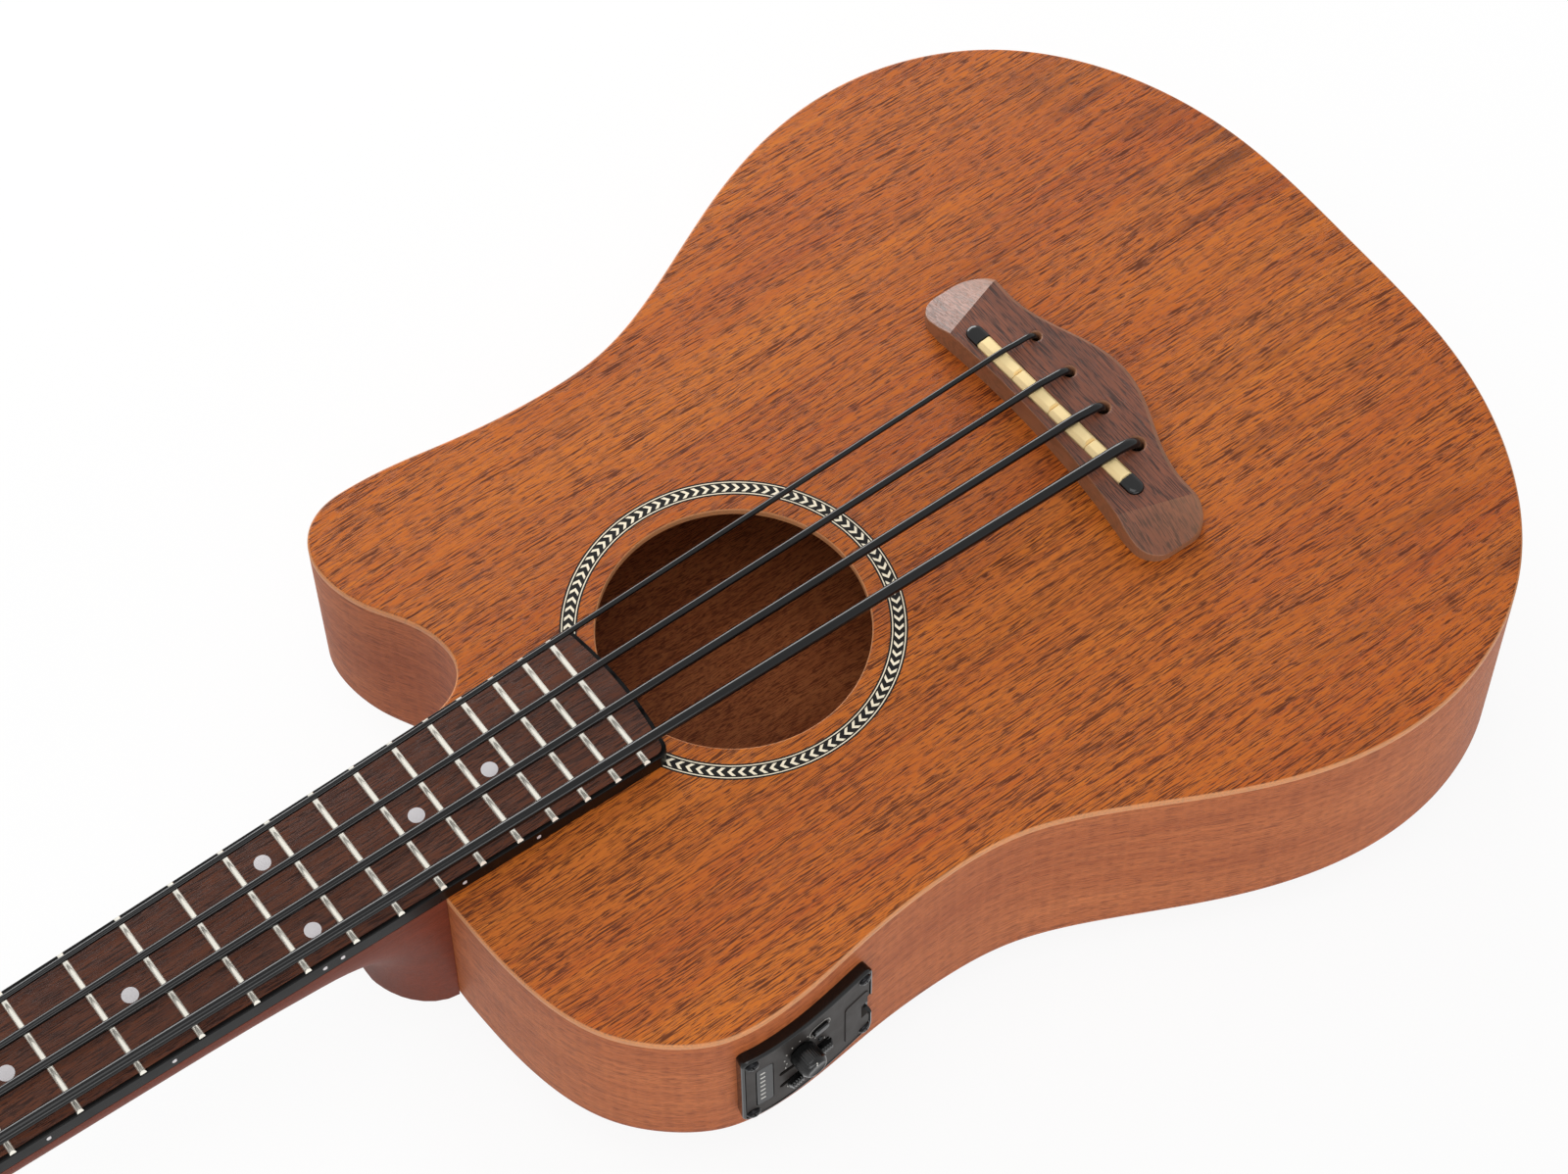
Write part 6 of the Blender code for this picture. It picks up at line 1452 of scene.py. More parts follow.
def wrap_points(index):
    """Centre points of a string's turns round its post."""
    side = 1 if index > 1 else -1
    radius = STRING_DIAMETERS[index] / 2
    wrap = POST_RADIUS + WRAP_CLEARANCE + radius
    pitch = 2 * radius + WRAP_SPACE
    base = WRAP_START + radius
    points = []
    for k in range(WRAP_TURNS * WRAP_STEPS + 1):
        angle = 2 * math.pi * k / WRAP_STEPS
        place = (side * (POST_X - wrap * math.cos(angle)), POST_Y[index] + wrap * math.sin(angle),
                 base + pitch * k / WRAP_STEPS)
        points.append(tuple(head_frame() @ Vector(place)))
    return points


def build_strings():
    """Four smooth strings, from the knot under the bridge plate to the turns round the post."""
    for index, name in enumerate(NAMES):
        radius = STRING_DIAMETERS[index] / 2
        x, crest_y, crest_z = saddle_crossing(index)
        knot = -TOP_THICKNESS - 3.0
        run = [(-2.4 * radius - 3, 0.85), (-2.4 * radius - 2.4, 1.0), (-2.2 * radius - 1.2, 1.6),
               (-1.8 * radius, 2.1), (-1.1 * radius, 2.1), (-0.5 * radius, 1.9), (-0.1, 1.3),
               (0.6, 1.0)]
        points = [(x, STRING_HOLE_Y, knot + drop) for drop, _ in run]
        radii = [radius * share for _, share in run]
        bend = [(x, STRING_HOLE_Y, BRIDGE_HEIGHT - 3.5),
                (x, STRING_HOLE_Y + 0.35, BRIDGE_HEIGHT - 0.8),
                (x, STRING_HOLE_Y + 2.2, BRIDGE_HEIGHT + 1.3 + 0.3 * radius),
                (x, (STRING_HOLE_Y + crest_y) / 2, crest_z - 0.55),
                (x, crest_y - 2.5, crest_z - 0.02), (x, crest_y + 1, crest_z)]
        points += [tuple(point) for point in spline(bend, 7)] + nut_run(index) + wrap_points(index)
        radii += [radius] * (len(points) - len(radii))
        cord(f"string_{name}", points, radii, "string")


def worm_radius(phase):
    """Radius of the worm at a phase of its thread, in turns from the ridge's middle."""
    away = abs(phase - round(phase)) * WORM_PITCH
    tip_half, root_half = 0.375 * GEAR_MODULE, 0.875 * GEAR_MODULE
    if away <= tip_half:
        return WORM_TIP
    fall = (away - tip_half) / (root_half - tip_half)
    return max(WORM_ROOT, WORM_TIP - fall * (WORM_TIP - WORM_ROOT))


def key_ring(x, across, thick):
    """Oval section of the key at a place along it."""
    return [(x, across * y, thick * z) for y, z in circle(1, KEY_STEPS)]


def worm_shape():
    """The worm's thread and shaft along X, from before its ear to the start of the button."""
    start = EAR_OFFSET + 1.5
    rings = [key_ring(x, radius, radius) for x, radius in (
        (-start, KEY_SHAFT * 0.75), (-start + 0.35, KEY_SHAFT), (-WORM_HALF - 0.1, KEY_SHAFT))]
    count = 3 * KEY_STEPS
    for i in range(count + 1):
        x = -WORM_HALF + i * WORM_PITCH / KEY_STEPS
        fade = min(1.0, i / 8, (count - i) / 8)
        section = []
        for k, (y, z) in enumerate(circle(1, KEY_STEPS)):
            radius = WORM_ROOT + fade * (worm_radius(x / WORM_PITCH - k / KEY_STEPS) - WORM_ROOT)
            section.append((x, radius * y, radius * z))
        rings.append(section)
    return loft(rings + [key_ring(x, KEY_SHAFT, KEY_SHAFT) for x in (WORM_HALF + 0.1, KEY_REACH)])


def button_shape():
    """Oval button with a collar, along X from the worm's middle."""
    return loft([key_ring(KEY_REACH + beyond, across, thick) for beyond, across, thick in (
        (-2.5, 1.75, 1.75), (-2.4, 2.3, 2.3), (-2.1, 2.6, 2.6), (-0.6, 2.7, 2.6), (0.0, 2.5, 2.3),
        (0.6, 2.8, 2.2), (1.3, 4.3, 2.5), (2, 5.9, 2.9), (3.2, 7.4, 3.15), (4.6, 8.4, 3.3),
        (6.4, 9.2, 3.4), (8.6, 9.8, 3.45), (11, 9.98, 3.45), (13.4, 9.75, 3.35), (15.4, 9.1, 3.2),
        (17.2, 8.0, 2.9), (18.6, 6.5, 2.5), (19.6, 4.7, 2.0), (20.2, 2.6, 1.4), (20.3, 0.6, 0.4))])


def wheel_shape():
    """Helical wheel about Z that meshes with the worm on its side towards the nut."""
    lead = WORM_PITCH / (2 * math.pi * WORM_RADIUS)
    tip, root = GEAR_RADIUS + 0.75 * GEAR_MODULE, GEAR_RADIUS - 1.25 * GEAR_MODULE
    flank = mirrored(((root, -1.0625), (root + 0.35, -0.93), (GEAR_RADIUS, -0.72),
                      (tip - 0.12, -0.46), (tip, -0.36)), 1)
    rings = []
    for height, shrink in ((-1.6, 0.25), (-1.35, 0.0), (0.0, 0.0), (1.35, 0.0), (1.6, 0.25)):
        twist = lead * height / GEAR_RADIUS
        ring = []
        for tooth in range(GEAR_TEETH):
            middle = -math.pi / 2 + 2 * math.pi * (tooth + 0.5) / GEAR_TEETH + twist
            for radius, across in flank:
                angle = middle + across * GEAR_MODULE / radius
                reach = min(radius, tip - shrink)
                ring.append((*polar(reach, angle), height))
        rings.append(ring)
    return loft(rings)


def pan_head(radius, height, cross):
    """Round-topped screw head with a cross recess, its seat at Z = 0."""
    profile = [(0, 0), (radius, 0)]
    profile += [(radius * math.cos(a) ** 0.5, height * math.sin(a))
                for a in (0.15, 0.4, 0.7, 1.0, 1.3, 1.5)]
    profile += [(0, height)]
    half = 0.28 * radius / 2
    plan = ((cross, half), (-cross, half), (-cross, -half), (cross, -half))
    bar = stacked(([(x * s, y * s) for x, y in plan], z)
                  for s, z in ((0.6, height * 0.25), (1.0, height + 1)))
    bars = [moved(bar, spin(turn + 0.3)) for turn in (0, math.pi / 2)]
    return carved(turned(profile, 24), bars)


def build_tuners():
    """Four worm tuning machines: plate with ears, post with wheel, key with worm, and bushing."""
    low, high = PLATE_LOW, PLATE_LOW + PLATE_THICKNESS
    outline = [(x - 0.5, y - 2.3) for x, y in rounded_box(*PLATE_SIZE, 3.0, 6)]
    plate = soft_prism(outline, low, high, 0.25, 2, both=True)
    ear = rounded_box(*EAR_SIZE, 2.4, 5)
    middle = (GEAR_Z - 3.4 + low + 0.5) / 2
    ears = [loft([[(x + aside, -GEAR_DISTANCE + y * s, middle + z * s) for y, z in ear]
                  for aside, s in mirrored(((-0.7, 0.95), (-0.55, 1.0)))])
            for x in (-EAR_OFFSET, EAR_OFFSET)]
    shaft = loft([[(x, -GEAR_DISTANCE + y, GEAR_Z + z) for y, z in circle(KEY_SHAFT + 0.12, 32)]
                  for x in (-9, 9)])
    bore = prism(circle(POST_SHANK + 0.2, 32), low - 5, high + 5)
    foot, flange = GEAR_Z - 1.6, 1.85
    post = turned([(0, foot - 1.6), (1.9, foot - 1.6), (2.4, foot - 1.4), (2.8, foot - 1.0),
                   (2.8, GEAR_Z + 0.5), (4.2, GEAR_Z + 0.6), (4.2, low - 0.25), (3.0, low - 0.2),
                   (3.0, flange + 0.25), (4.3, flange + 0.3), (4.6, flange + 0.45),
                   (4.6, flange + 0.8), (4.3, flange + 1.1), (3.9, flange + 1.5),
                   (3.85, POST_TOP - 5), (3.9, POST_TOP - 2.4), (4.15, POST_TOP - 1.9),
                   (4.45, POST_TOP - 1.5), (4.5, POST_TOP - 1.1), (4.4, POST_TOP - 0.6),
                   (4.0, POST_TOP - 0.2), (3.4, POST_TOP), (0, POST_TOP)])
    slot = box((-1.5, -9, POST_TOP - 3.5), (1.5, 9, POST_TOP + 5))
    wheel = moved(wheel_shape(), slide(0, 0, GEAR_Z))
    bushing = turned_ring([(3.2, -9), (4.1, -9), (4.1, 0.02), (7.0, 0.02), (7.0, 0.7), (6.8, 1.0),
                           (6.3, 1.3), (5.4, 1.65), (4.6, 1.85), (3.4, 1.85), (3.2, 1.7)])
    screws = []
    for name, (post_x, along) in zip(NAMES, post_places()):
        side = Matrix.Scale(math.copysign(1, post_x), 4, (1, 0, 0))
        place = head_frame() @ slide(post_x, along) @ side
        piece(f"tuner_plate_{name}", [(plate, "metal")], place=place, joins=[ears],
              cuts=[[shaft, bore]])
        piece(f"tuner_post_{name}", [(post, "metal")], f"tuner_post_{name}",
              place=place, joins=[[wheel]], cuts=[[slot]])
        piece(f"tuner_key_{name}", [(worm_shape(), "metal"), (button_shape(), "gloss")],
              f"tuner_key_{name}", place=place @ slide(0, -GEAR_DISTANCE, GEAR_Z))
        piece(f"tuner_bushing_{name}", [(bushing, "metal")], place=place)
        screws += [place @ slide(x, y, low + 0.05) @ spin(math.pi, "X") for x, y in PLATE_SCREWS]
    repeated("tuner_screws", pan_head(1.7, 1.0, 1.0), "metal", screws)


def bent(shape):
    """A flat-drawn shape, cut into strips along X and bent onto the side."""
    points, faces = shape
    work = bmesh.new()
    made = [work.verts.new(point) for point in points]
    for face in faces:
        work.faces.new([made[i] for i in face])
    low, high = min(p[0] for p in points), max(p[0] for p in points)
    for x in np.linspace(low, high, int((high - low) / BEND_STRIP) + 2)[1:-1]:
        geometry = work.verts[:] + work.edges[:] + work.faces[:]
        bmesh.ops.bisect_plane(work, geom=geometry, plane_co=(x, 0, 0), plane_no=(1, 0, 0),
                               dist=1e-5)
    work.verts.index_update()
    bent_points = [tuple(wall_frame(vertex.co.x, 0) @ Vector((0, *vertex.co.yz)))
                   for vertex in work.verts]
    bent_faces = [tuple(vertex.index for vertex in face.verts) for face in work.faces]
    work.free()
    return bent_points, bent_faces


def soft_notch(start, end, half, floor):
    """A finger notch's cutter, open outward, with sloping sides."""
    rings = []
    for grow_by, z in ((0.0, floor), (0.8, PANEL_THICKNESS + 0.3), (0.8, PANEL_THICKNESS + 6)):
        near, reach = start - grow_by * 0.5, half + grow_by
        rings.append([(near, -reach, z), (end, -reach, z), (end, reach, z), (near, reach, z)])
    return loft(rings)


def build_preamp():
    """Panel with a raised rim, its screws and marks, the display window and the moving controls."""
    looks = settings().fittings
    rim = looks.rim / MM
    face = PANEL_THICKNESS - 0.25
    panel = rounded_box(PANEL_END - PANEL_START, PANEL_BOTTOM - PANEL_TOP, 2.6, 8)
    outline = [(x + PANEL_MIDDLE[0], y - PANEL_MIDDLE[1]) for x, y in panel]
    slot = capsule(SLOT_LENGTH, SLOT_WIDTH, 8)
    tray_hole = [(x * 1.03, y * 1.012) for x, y in rounded_box(*TRAY_FRONT, 1.5, 5)]
    through = -6
    cutters = []
    for opening, floor, (behind, depth, *turn) in (
            (circle(KNOB_HOLE_RADIUS, 32), through, KNOB_PLACE), (slot, through, BASS_SLOT),
            (slot, through, TREBLE_SLOT),
            (capsule(BUTTON_SIZE[0] + 0.3, BUTTON_SIZE[1] + 0.3, 8), through, BUTTON_PLACE),
            (rounded_box(DISPLAY_SIZE[0] + 0.2, DISPLAY_SIZE[1] + 0.2, 1.1, 4),
             PANEL_THICKNESS - 1.6, DISPLAY_PLACE),
            (tray_hole, through, TRAY_PLACE)):
        flat = slide(behind, -depth, 0) @ spin(sum(turn))
        cutters.append(moved(prism(opening, floor, 12), flat))
    cutters.append(moved(soft_notch(3.0, 9.2, 6.0, PANEL_THICKNESS - 2.3),
                         slide(TRAY_PLACE[0], -TRAY_PLACE[1], 0)))
    levels = ((0.0, 0.03), (0.0, face - 0.7), (0.1, face - 0.35), (0.32, face + 0.05),
              (0.7, PANEL_THICKNESS), (rim, PANEL_THICKNESS), (rim + 0.25, face - 0.6))
    shell = carved(stepped(outline, levels), cutters)
    sheet = carved(soft_prism(offset_loop(outline, rim + 0.3), face - 0.65, face, 0.1, 1), cutters)
    piece("preamp_panel", [(bent(shell), "gloss"), (bent(sheet), "face")])

    screws = [wall_frame(behind, depth) @ slide(z=face)
              for behind in (PANEL_START + 3.5, PANEL_END - 3.5)
              for depth in (PANEL_TOP + 3.6, PANEL_BOTTOM - 3.6)]
    radius = looks.screw / MM / 2
    washer = turned(((0, -0.4), (radius + 0.25, -0.4), (radius + 0.25, 0.1), (0, 0.1)), 24)
    repeated("panel_washers", washer, "gloss", screws)
    repeated("panel_screws", pan_head(radius, 1.15, 1.5), "metal",
             [place @ slide(z=0.05) for place in screws])
    build_marks(face)
    build_controls(face)


def build_marks(face):
    """Printed ticks beside the sliders and the knob, the button's ring, and the display's marks."""
    print_z = face - 0.02
    dots, bars = [], []
    for slot, side in ((BASS_SLOT, 1), (TREBLE_SLOT, -1)):
        for k in range(5):
            place = wall_frame(*slot) @ slide(-8 + 4 * k, side * 3.1 - 0.2, print_z)
            (dots if k % 2 else bars).append(place)
    for k in range(11):
        turn = spin(math.radians(-150 + 30 * k))
        dots.append(wall_frame(*KNOB_PLACE) @ turn @ slide(0, 6.2, print_z))
    outer, inner = capsule(8.9, 5.6, 12), capsule(8.6, 5.3, 12)
    ring = loft([[(*a, -0.1), (*a, 0.05), (*b, 0.05), (*b, -0.1)] for a, b in zip(outer, inner)],
                closed=True)
    lamp = turned(((0, -0.5), (0.95, -0.5), (0.95, 0.2), (0.8, 0.5), (0.45, 0.7), (0, 0.78)), 20)
    bar_places = [wall_frame(*DISPLAY_PLACE) @ slide(-0.8, 9.0 - 3.0 * k, face + 0.03)
                  for k in range(7)]
    for name, shape, finish, slot, places in (
            ("panel_dots", turned(((0, -0.1), (0.26, -0.1), (0.26, 0.05), (0, 0.05)), 12), "print",
             "charcoal_plastic", dots),
            ("panel_ticks", box((-0.12, -0.55, -0.1), (0.12, 0.55, 0.05)), "print",
             "charcoal_plastic", bars),
            ("button_outline", ring, "print", "charcoal_plastic",
             [wall_frame(*BUTTON_PLACE) @ slide(z=print_z)]),
            ("signal_lamp", lamp, "glass", "dark_glass", [wall_frame(*LAMP_PLACE) @ slide(z=face)]),
            ("display_marks", box((-0.9, -0.4, -0.1), (0.9, 0.4, 0.03)), "print", "dark_glass",
             bar_places)):
        repeated(name, shape, finish, places)


def build_controls(face):
    """Knob, two ribbed sliders, tuner button, display window, battery tray and its cells."""
    count = settings().fittings.flutes * 4
    seat, top = PANEL_THICKNESS, PANEL_THICKNESS + KNOB_HEIGHT
    rings = []
    for radius, z in ((3.0, -1.2), (3.0, seat + 0.35), (4.4, seat + 0.4), (4.7, seat + 0.6),
                      (4.8, seat + 1.0), (4.8, top - 2.0), (4.7, top - 1.6), (4.0, top - 0.5),
                      (3.7, top - 0.25), (3.3, top - 0.15), (3.0, top - 0.35), (0, top - 0.45)):
        fluted = seat + 0.8 < z < top - 1.8
        ring = []
        for k, (x, y) in enumerate(circle(1, count)):
            reach = radius - (0.08 * (1 + math.cos(math.pi * k / 2)) if fluted else 0.0)
            ring.append((reach * x, reach * y, z))
        rings.append(ring if radius else [(0, 0, z)])
    pointer = box((-0.25, 2.2, top - 0.6), (0.25, 4.0, top - 0.2))
    piece("volume_knob", [(loft(rings), "gloss"), (pointer, "print")],
          "volume_knob", place=wall_frame(*KNOB_PLACE))

    foot = seat + 0.45
    ribs = [(-3.0, 0.0), (-3.0, 0.7), (-2.5, 1.5)]
    for k in range(5):
        ribs += [(-2.3 + k, 2.2), (-1.9 + k, 2.2), (-1.7 + k, 1.85), (-1.5 + k, 1.85)]
    ribs = [(x, z) for x, z in ribs if x < 2.4] + [(2.5, 1.5), (3.0, 0.7), (3.0, 0.0)]
    cap = loft([[(x, y, foot + z * s) for x, z in ribs]
                for y, s in mirrored(((-1.6, 0.5), (-1.35, 0.9), (-1.0, 1.0)))])
    stem = box((-1.5, -1.0, -1.2), (1.5, 1.0, foot + 0.2))
    for name, (slot, rest) in slideR_RESTS.items():
        piece(name, [(stem, "gloss"), (cap, "gloss")], name,
              place=wall_frame(*slot) @ slide(rest), angle=25)

    high = seat + 1.0
    levels = ((0, -1.0), (0, high - 0.6), (0.08, high - 0.3), (0.3, high - 0.08), (0.7, high))
    length, width = BUTTON_SIZE
    button = stacked((capsule(length - 2 * inset, width - 2 * inset, 12), z) for inset, z in levels)
    piece("tuner_button", [(button, "gloss")], "tuner_button",
          place=wall_frame(*BUTTON_PLACE))
    window = soft_prism(rounded_box(*DISPLAY_SIZE, 1.0, 5), seat - 1.35, face + 0.02, 0.15)
    piece("display_window", [(window, "glass")], place=wall_frame(*DISPLAY_PLACE))

    front = soft_prism(rounded_box(*TRAY_FRONT, 1.5, 6), 0.6, seat + 0.1, 0.3)
    body = prism(rounded_box(*TRAY_BODY, 1.0, 4), -TRAY_DEPTH, 1.5)
    across = slide(0, 0, -TRAY_DEPTH / 2 + 0.4) @ spin(math.pi / 2, "Y")
    pocket = moved(prism(circle(CELL_RADIUS + 0.15, 48), -8, CELL_THICKNESS + 0.2), across)
    piece("battery_tray", [(body, "face")], "battery_tray",
          place=wall_frame(*TRAY_PLACE), joins=[[front]],
          cuts=[[pocket], [soft_notch(2.4, 9.0, 3.6, seat - 2.1)]])
    rim, half = CELL_RADIUS, CELL_THICKNESS
    cells = turned(mirrored([(0, -half), (rim - 1.4, -half), (rim - 1.2, -half + 0.15),
                             (rim - 0.3, -half + 0.15), (rim, -half + 0.5), (rim, -0.45),
                             (rim - 0.2, -0.25), (rim - 0.6, -0.1)], 1), 64)
    piece("coin_cells", [(cells, "steel")], "battery_tray",
          place=wall_frame(*TRAY_PLACE) @ across)


def build_jack():
    """End-pin jack with its strap button, bore and inner nut."""
    outer = [(3.85, -10.0), (6.4, -10.0), (6.9, -9.7), (7.25, -9.0), (7.38, -8.2), (7.3, -7.4),
             (6.8, -6.4), (6.1, -5.7), (5.75, -5.0), (5.6, -4.2), (5.7, -3.4), (6.4, -2.6),
             (7.4, -2.0), (7.9, -1.5), (8.0, -0.9), (8.0, -0.05), (5.75, -0.05), (5.75, 20.45),
             (8.1, 20.45), (8.4, 20.75), (8.4, 22.55), (8.1, 22.85), (5.75, 22.85), (5.75, 31.0),
             (5.3, 31.6), (4.2, 32.0)]
    bore = [(3.25, -9.6), (3.25, 28)]
    piece("output_jack", [(turned(outer[::-1] + bore), "metal")], place=jack_line())


def build_leads():
    """Pickup lead from the saddle and jack lead from the end pin, both into the preamp box."""
    inlet = wall_frame(*PANEL_MIDDLE)
    start = (LEAD_X, saddle_y(LEAD_X))
    jack_end = TAIL_Y + 32.25
    routes = {"pickup_lead": [(*start, SADDLE_FLOOR - 0.3), (*start, -4), (*start, -9),
                              (-48, 8, -14), (-66, 44, -17), (-82, 88, -18), (-90, 130, -19),
                              inlet @ Vector((6, 6, -BOX_DEPTH - 8)),
                              inlet @ Vector((6, 6, -BOX_DEPTH - 0.1))],
              "jack_lead": [(0, jack_end, -JACK_DEPTH), (0, jack_end + 5, -JACK_DEPTH),
                            (-4, jack_end + 11, -JACK_DEPTH - 3), (-30, jack_end + 16, -66),
                            (-75, jack_end + 16, -78), (-118, -62, -74), (-136, -22, -66),
                            (-126, 30, -56), (-110, 80, -48), (-102, 120, -46), (-98, 150, -44),
                            inlet @ Vector((8, -8, -BOX_DEPTH - 9)),
                            inlet @ Vector((8, -8, -BOX_DEPTH - 0.1))]}
    for name, route in routes.items():
        points = [tuple(point) for point in spline(route, 8)]
        cord(name, points, [LEAD_DIAMETER / 2] * len(points), "binding", 14)


def dress_inner():
    """Better finishes for the CAD nodes that stay: blocks, linings, braces, rod and preamp box."""
    finishes = {"neck_block": "inner", "tail_block": "inner", "bridge_plate": "inner",
                "preamp_box": "binding", "truss_rod": "steel", "truss_rod_nut": "steel"}
    for side in ("bass", "treble"):
        finishes[f"top_lining_{side}"] = finishes[f"back_lining_{side}"] = "inner"
    for place in ("upper", "middle", "lower"):
        finishes[f"top_brace_{place}"] = "inner"
    for name, finish in finishes.items():
        for material_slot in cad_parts[name].material_slots:
            material_slot.material = materials()[finish]


def area_light(name, place, target, size, power):
    """A soft rectangular lamp that faces a point."""
    lamp = bpy.data.lights.new(name, "AREA")
    lamp.shape = "RECTANGLE"
    lamp.size, lamp.size_y = size
    lamp.energy = power
    obj = new_object(name, lamp)
    obj.location = place
    obj.rotation_euler = (Vector(target) - Vector(place)).to_track_quat("-Z", "Y").to_euler()
    obj.visible_camera = False
    return obj


def shows_backdrop(tree):
    """Mask of the rays that show the background: seen, mirrored or through glass."""
    rays = add(tree, "ShaderNodeLightPath").outputs
    direct = add(tree, "ShaderNodeMath", {0: rays["Is Camera Ray"], 1: rays["Is Glossy Ray"]},
                 operation="MAXIMUM")
    return add(tree, "ShaderNodeMath", {0: direct, 1: rays["Is Transmission Ray"]},
               operation="MAXIMUM")


def build_stage():
    """Pale floor, soft lights and the camera at the photograph's view."""
    looks = settings().stage
    backdrop, tree, _ = new_material("white_paper_floor")
    tree.nodes.clear()
    white = looks.backdrop
    paper = add(tree, "ShaderNodeBsdfDiffuse", {"Color": [0.9 * c for c in white[:3]] + [1.0]})
    glow = add(tree, "ShaderNodeEmission", {"Color": white, "Strength": 1.0})
    share = add(tree, "ShaderNodeMath", {0: shows_backdrop(tree), 1: 0.9}, operation="MULTIPLY")
    both = add(tree, "ShaderNodeMixShader", {0: share, 1: paper, 2: glow})
    add(tree, "ShaderNodeOutputMaterial", {0: both})
    mesh = bpy.data.meshes.new("floor")
    corners = ((-1, -1), (1, -1), (1, 1), (-1, 1))
    mesh.from_pydata([(x * FLOOR_HALF, y * FLOOR_HALF, 0) for x, y in corners], [], [(0, 1, 2, 3)])
    mesh.materials.append(backdrop)
    floor = new_object("floor", mesh)
    floor.location.z = CAD_LOW.z - FLOOR_DROP

    world = bpy.data.worlds.new("studio")
    bpy.context.scene.world = world
    world.use_nodes = True
    tree = world.node_tree
    strength = add(tree, "ShaderNodeMapRange", {0: shows_backdrop(tree), 3: looks.sky, 4: 1.0})
    feed(tree.nodes["Background"], {"Color": white, "Strength": strength})

    middle = Vector(looks.target)
    softboxes = (("key_softbox", (-0.3, 0.55, 1.6), (1.4, 1.2), looks.key),
                 ("side_softbox", (1.6, -0.5, 0.5), (1.5, 0.9), looks.side),
                 ("fill_softbox", (-1.2, 0.3, 0.35), (1.2, 0.4), looks.fill))
    lamps = [area_light(name, middle + Vector(away), middle, size, power)
             for name, away, size, power in softboxes]

    lens = bpy.data.cameras.new("photo_view")
    lens.lens = looks.lens
    lens.sensor_width = SENSOR_WIDTH
    lens.clip_start, lens.clip_end = 0.01, 100.0
    camera = new_object("photo_view", lens)
    camera.location = looks.eye
    aim = (middle - Vector(looks.eye)).to_track_quat("-Z", "Y").to_matrix().to_4x4()
    camera.matrix_world = slide(*looks.eye) @ aim @ spin(looks.roll)
    bpy.context.scene.camera = camera
    bpy.context.scene.view_settings.view_transform = "Standard"


class UKULELE_OT_top(bpy.types.Operator):
    """Builds the soundboard with its hole and groove, and the rosette"""
    bl_idname = "ukulele.top"
    bl_label = "Soundboard and rosette"

    def execute(self, context):
        build_soundboard()
        build_rosette()
        return {"FINISHED"}


class UKULELE_OT_box(bpy.types.Operator):
    """Builds the bent sides and the arched back, and finishes the pieces inside"""
    bl_idname = "ukulele.box"
    bl_label = "Sides, back and inside"

    def execute(self, context):
        build_sides()
        build_back()
        dress_inner()
        return {"FINISHED"}


class UKULELE_OT_neck(bpy.types.Operator):
    """Builds the neck with its heel and headstock, and the headstock's veneer"""
    bl_idname = "ukulele.neck"
    bl_label = "Neck and headstock"

    def execute(self, context):
        build_neck()
        return {"FINISHED"}


class UKULELE_OT_fingerboard(bpy.types.Operator):
    """Builds the fingerboard, binding, frets and dots, and the nut"""
    bl_idname = "ukulele.fingerboard"
    bl_label = "Fingerboard and nut"

    def execute(self, context):
        build_fingerboard()
        build_nut()
        return {"FINISHED"}


class UKULELE_OT_bridge(bpy.types.Operator):
    """Builds the bridge, the saddle housing and the four saddles"""
    bl_idname = "ukulele.bridge"
    bl_label = "Bridge and saddles"

    def execute(self, context):
        build_bridge()
        build_saddles()
        return {"FINISHED"}


class UKULELE_OT_strings(bpy.types.Operator):
    """Builds the four strings with their knots and turns"""
    bl_idname = "ukulele.strings"
    bl_label = "Strings"

    def execute(self, context):
        build_strings()
        return {"FINISHED"}


class UKULELE_OT_tuners(bpy.types.Operator):
    """Builds the four tuning machines and their screws"""
    bl_idname = "ukulele.tuners"
    bl_label = "Tuning machines"

    def execute(self, context):
        build_tuners()
        return {"FINISHED"}


class UKULELE_OT_preamp(bpy.types.Operator):
    """Builds the preamp's panel, marks and controls"""
    bl_idname = "ukulele.preamp"
    bl_label = "Preamp"

    def execute(self, context):
        build_preamp()
        return {"FINISHED"}


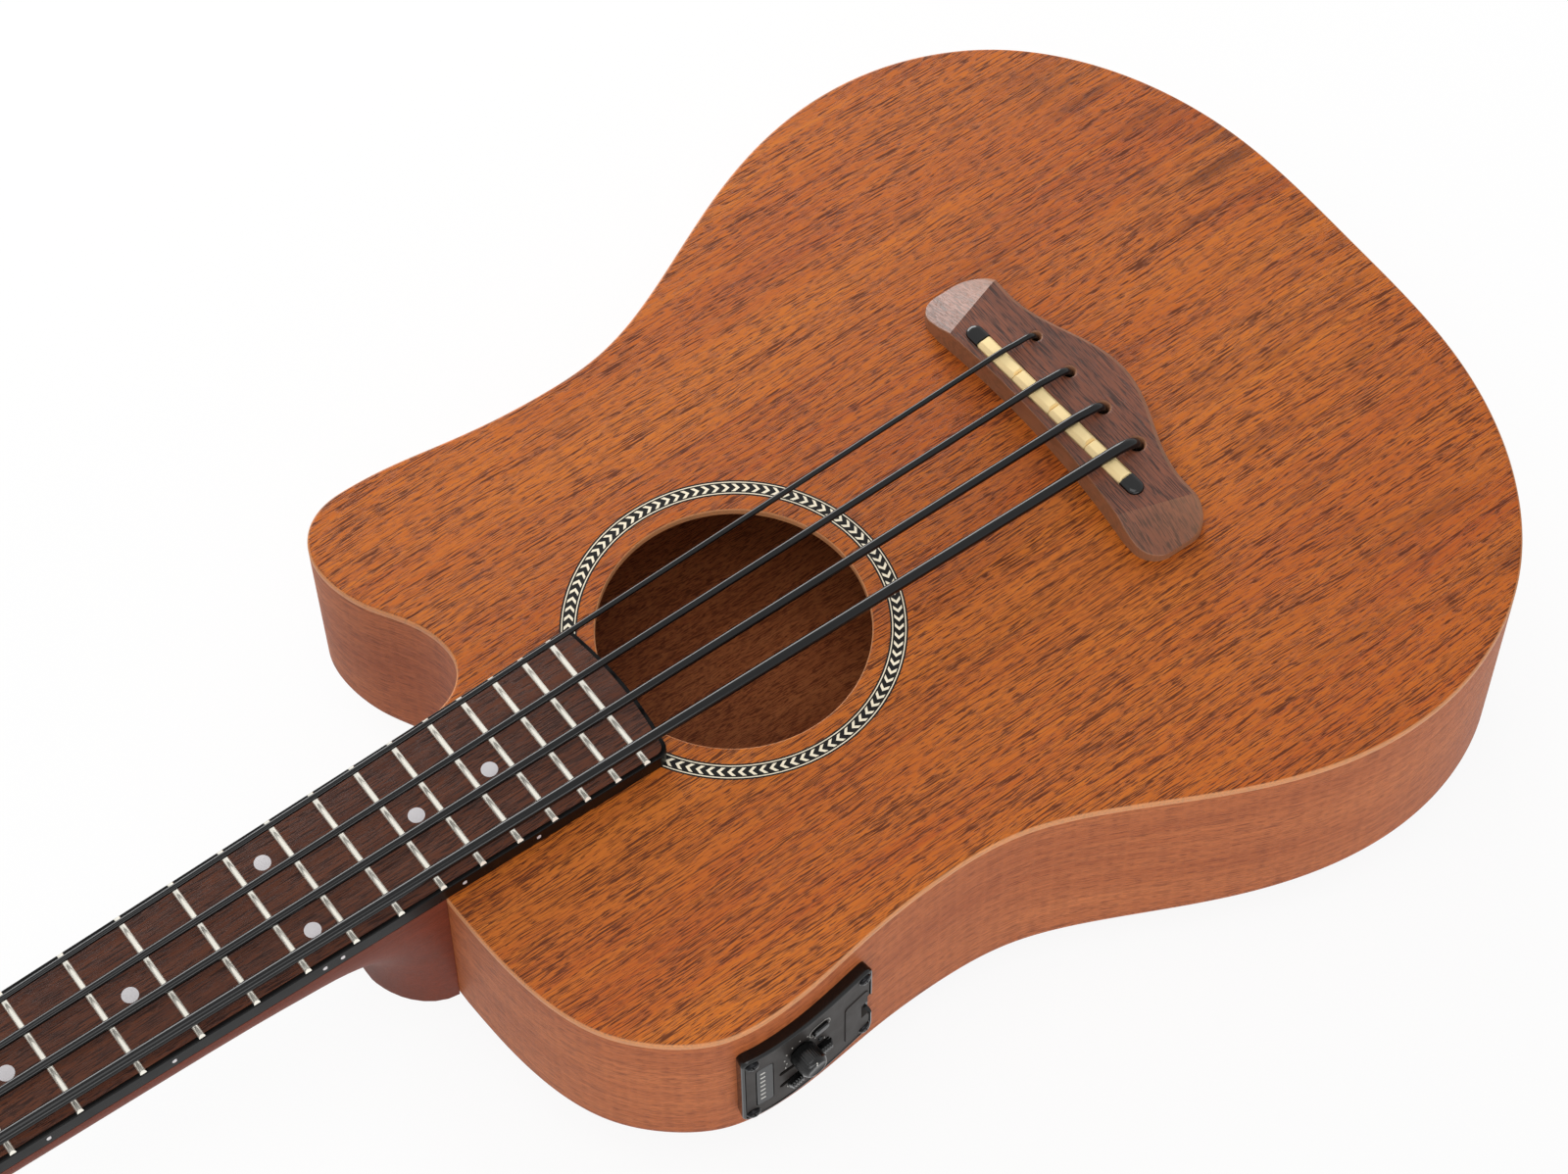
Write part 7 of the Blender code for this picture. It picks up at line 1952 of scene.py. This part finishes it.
class UKULELE_OT_jack(bpy.types.Operator):
    """Builds the end-pin jack and the two inner leads"""
    bl_idname = "ukulele.jack"
    bl_label = "Jack and leads"

    def execute(self, context):
        build_jack()
        build_leads()
        return {"FINISHED"}


class UKULELE_OT_stage(bpy.types.Operator):
    """Sets the floor, the lights and the camera"""
    bl_idname = "ukulele.stage"
    bl_label = "Stage"

    def execute(self, context):
        build_stage()
        return {"FINISHED"}


OPERATORS = (UKULELE_OT_top, UKULELE_OT_box, UKULELE_OT_neck, UKULELE_OT_fingerboard,
             UKULELE_OT_bridge, UKULELE_OT_strings, UKULELE_OT_tuners, UKULELE_OT_preamp,
             UKULELE_OT_jack, UKULELE_OT_stage)
GROUPS = (BodySettings, NeckSettings, BridgeSettings, FittingSettings, StageSettings,
          UkuleleSettings)


class UKULELE_PT_panel(bpy.types.Panel):
    """Sizes, colours and the steps that build the looks"""
    bl_idname = "UKULELE_PT_panel"
    bl_label = "Bass ukulele"
    bl_space_type = "VIEW_3D"
    bl_region_type = "UI"
    bl_category = "Ukulele"

    def draw(self, context):
        looks = context.scene.ukulele_looks
        for part in ("body", "neck", "bridge", "fittings", "stage"):
            group = getattr(looks, part)
            column = self.layout.column(heading=part.capitalize())
            for name in group.__annotations__:
                column.prop(group, name)
        for operator in OPERATORS:
            self.layout.operator(operator.bl_idname)


def register():
    """Registers the settings, the operators and the panel."""
    for item in (*GROUPS, *OPERATORS, UKULELE_PT_panel):
        bpy.utils.register_class(item)
    bpy.types.Scene.ukulele_looks = bpy.props.PointerProperty(type=UkuleleSettings)


def unregister():
    """Takes them away again."""
    del bpy.types.Scene.ukulele_looks
    for item in reversed((*GROUPS, *OPERATORS, UKULELE_PT_panel)):
        bpy.utils.unregister_class(item)


def main():
    """Builds every piece."""
    register()
    for operator in OPERATORS:
        group, name = operator.bl_idname.split(".")
        if getattr(getattr(bpy.ops, group), name)() != {"FINISHED"}:
            raise RuntimeError(f"{operator.bl_label} wasn't built")


if __name__ == "__main__":
    main()
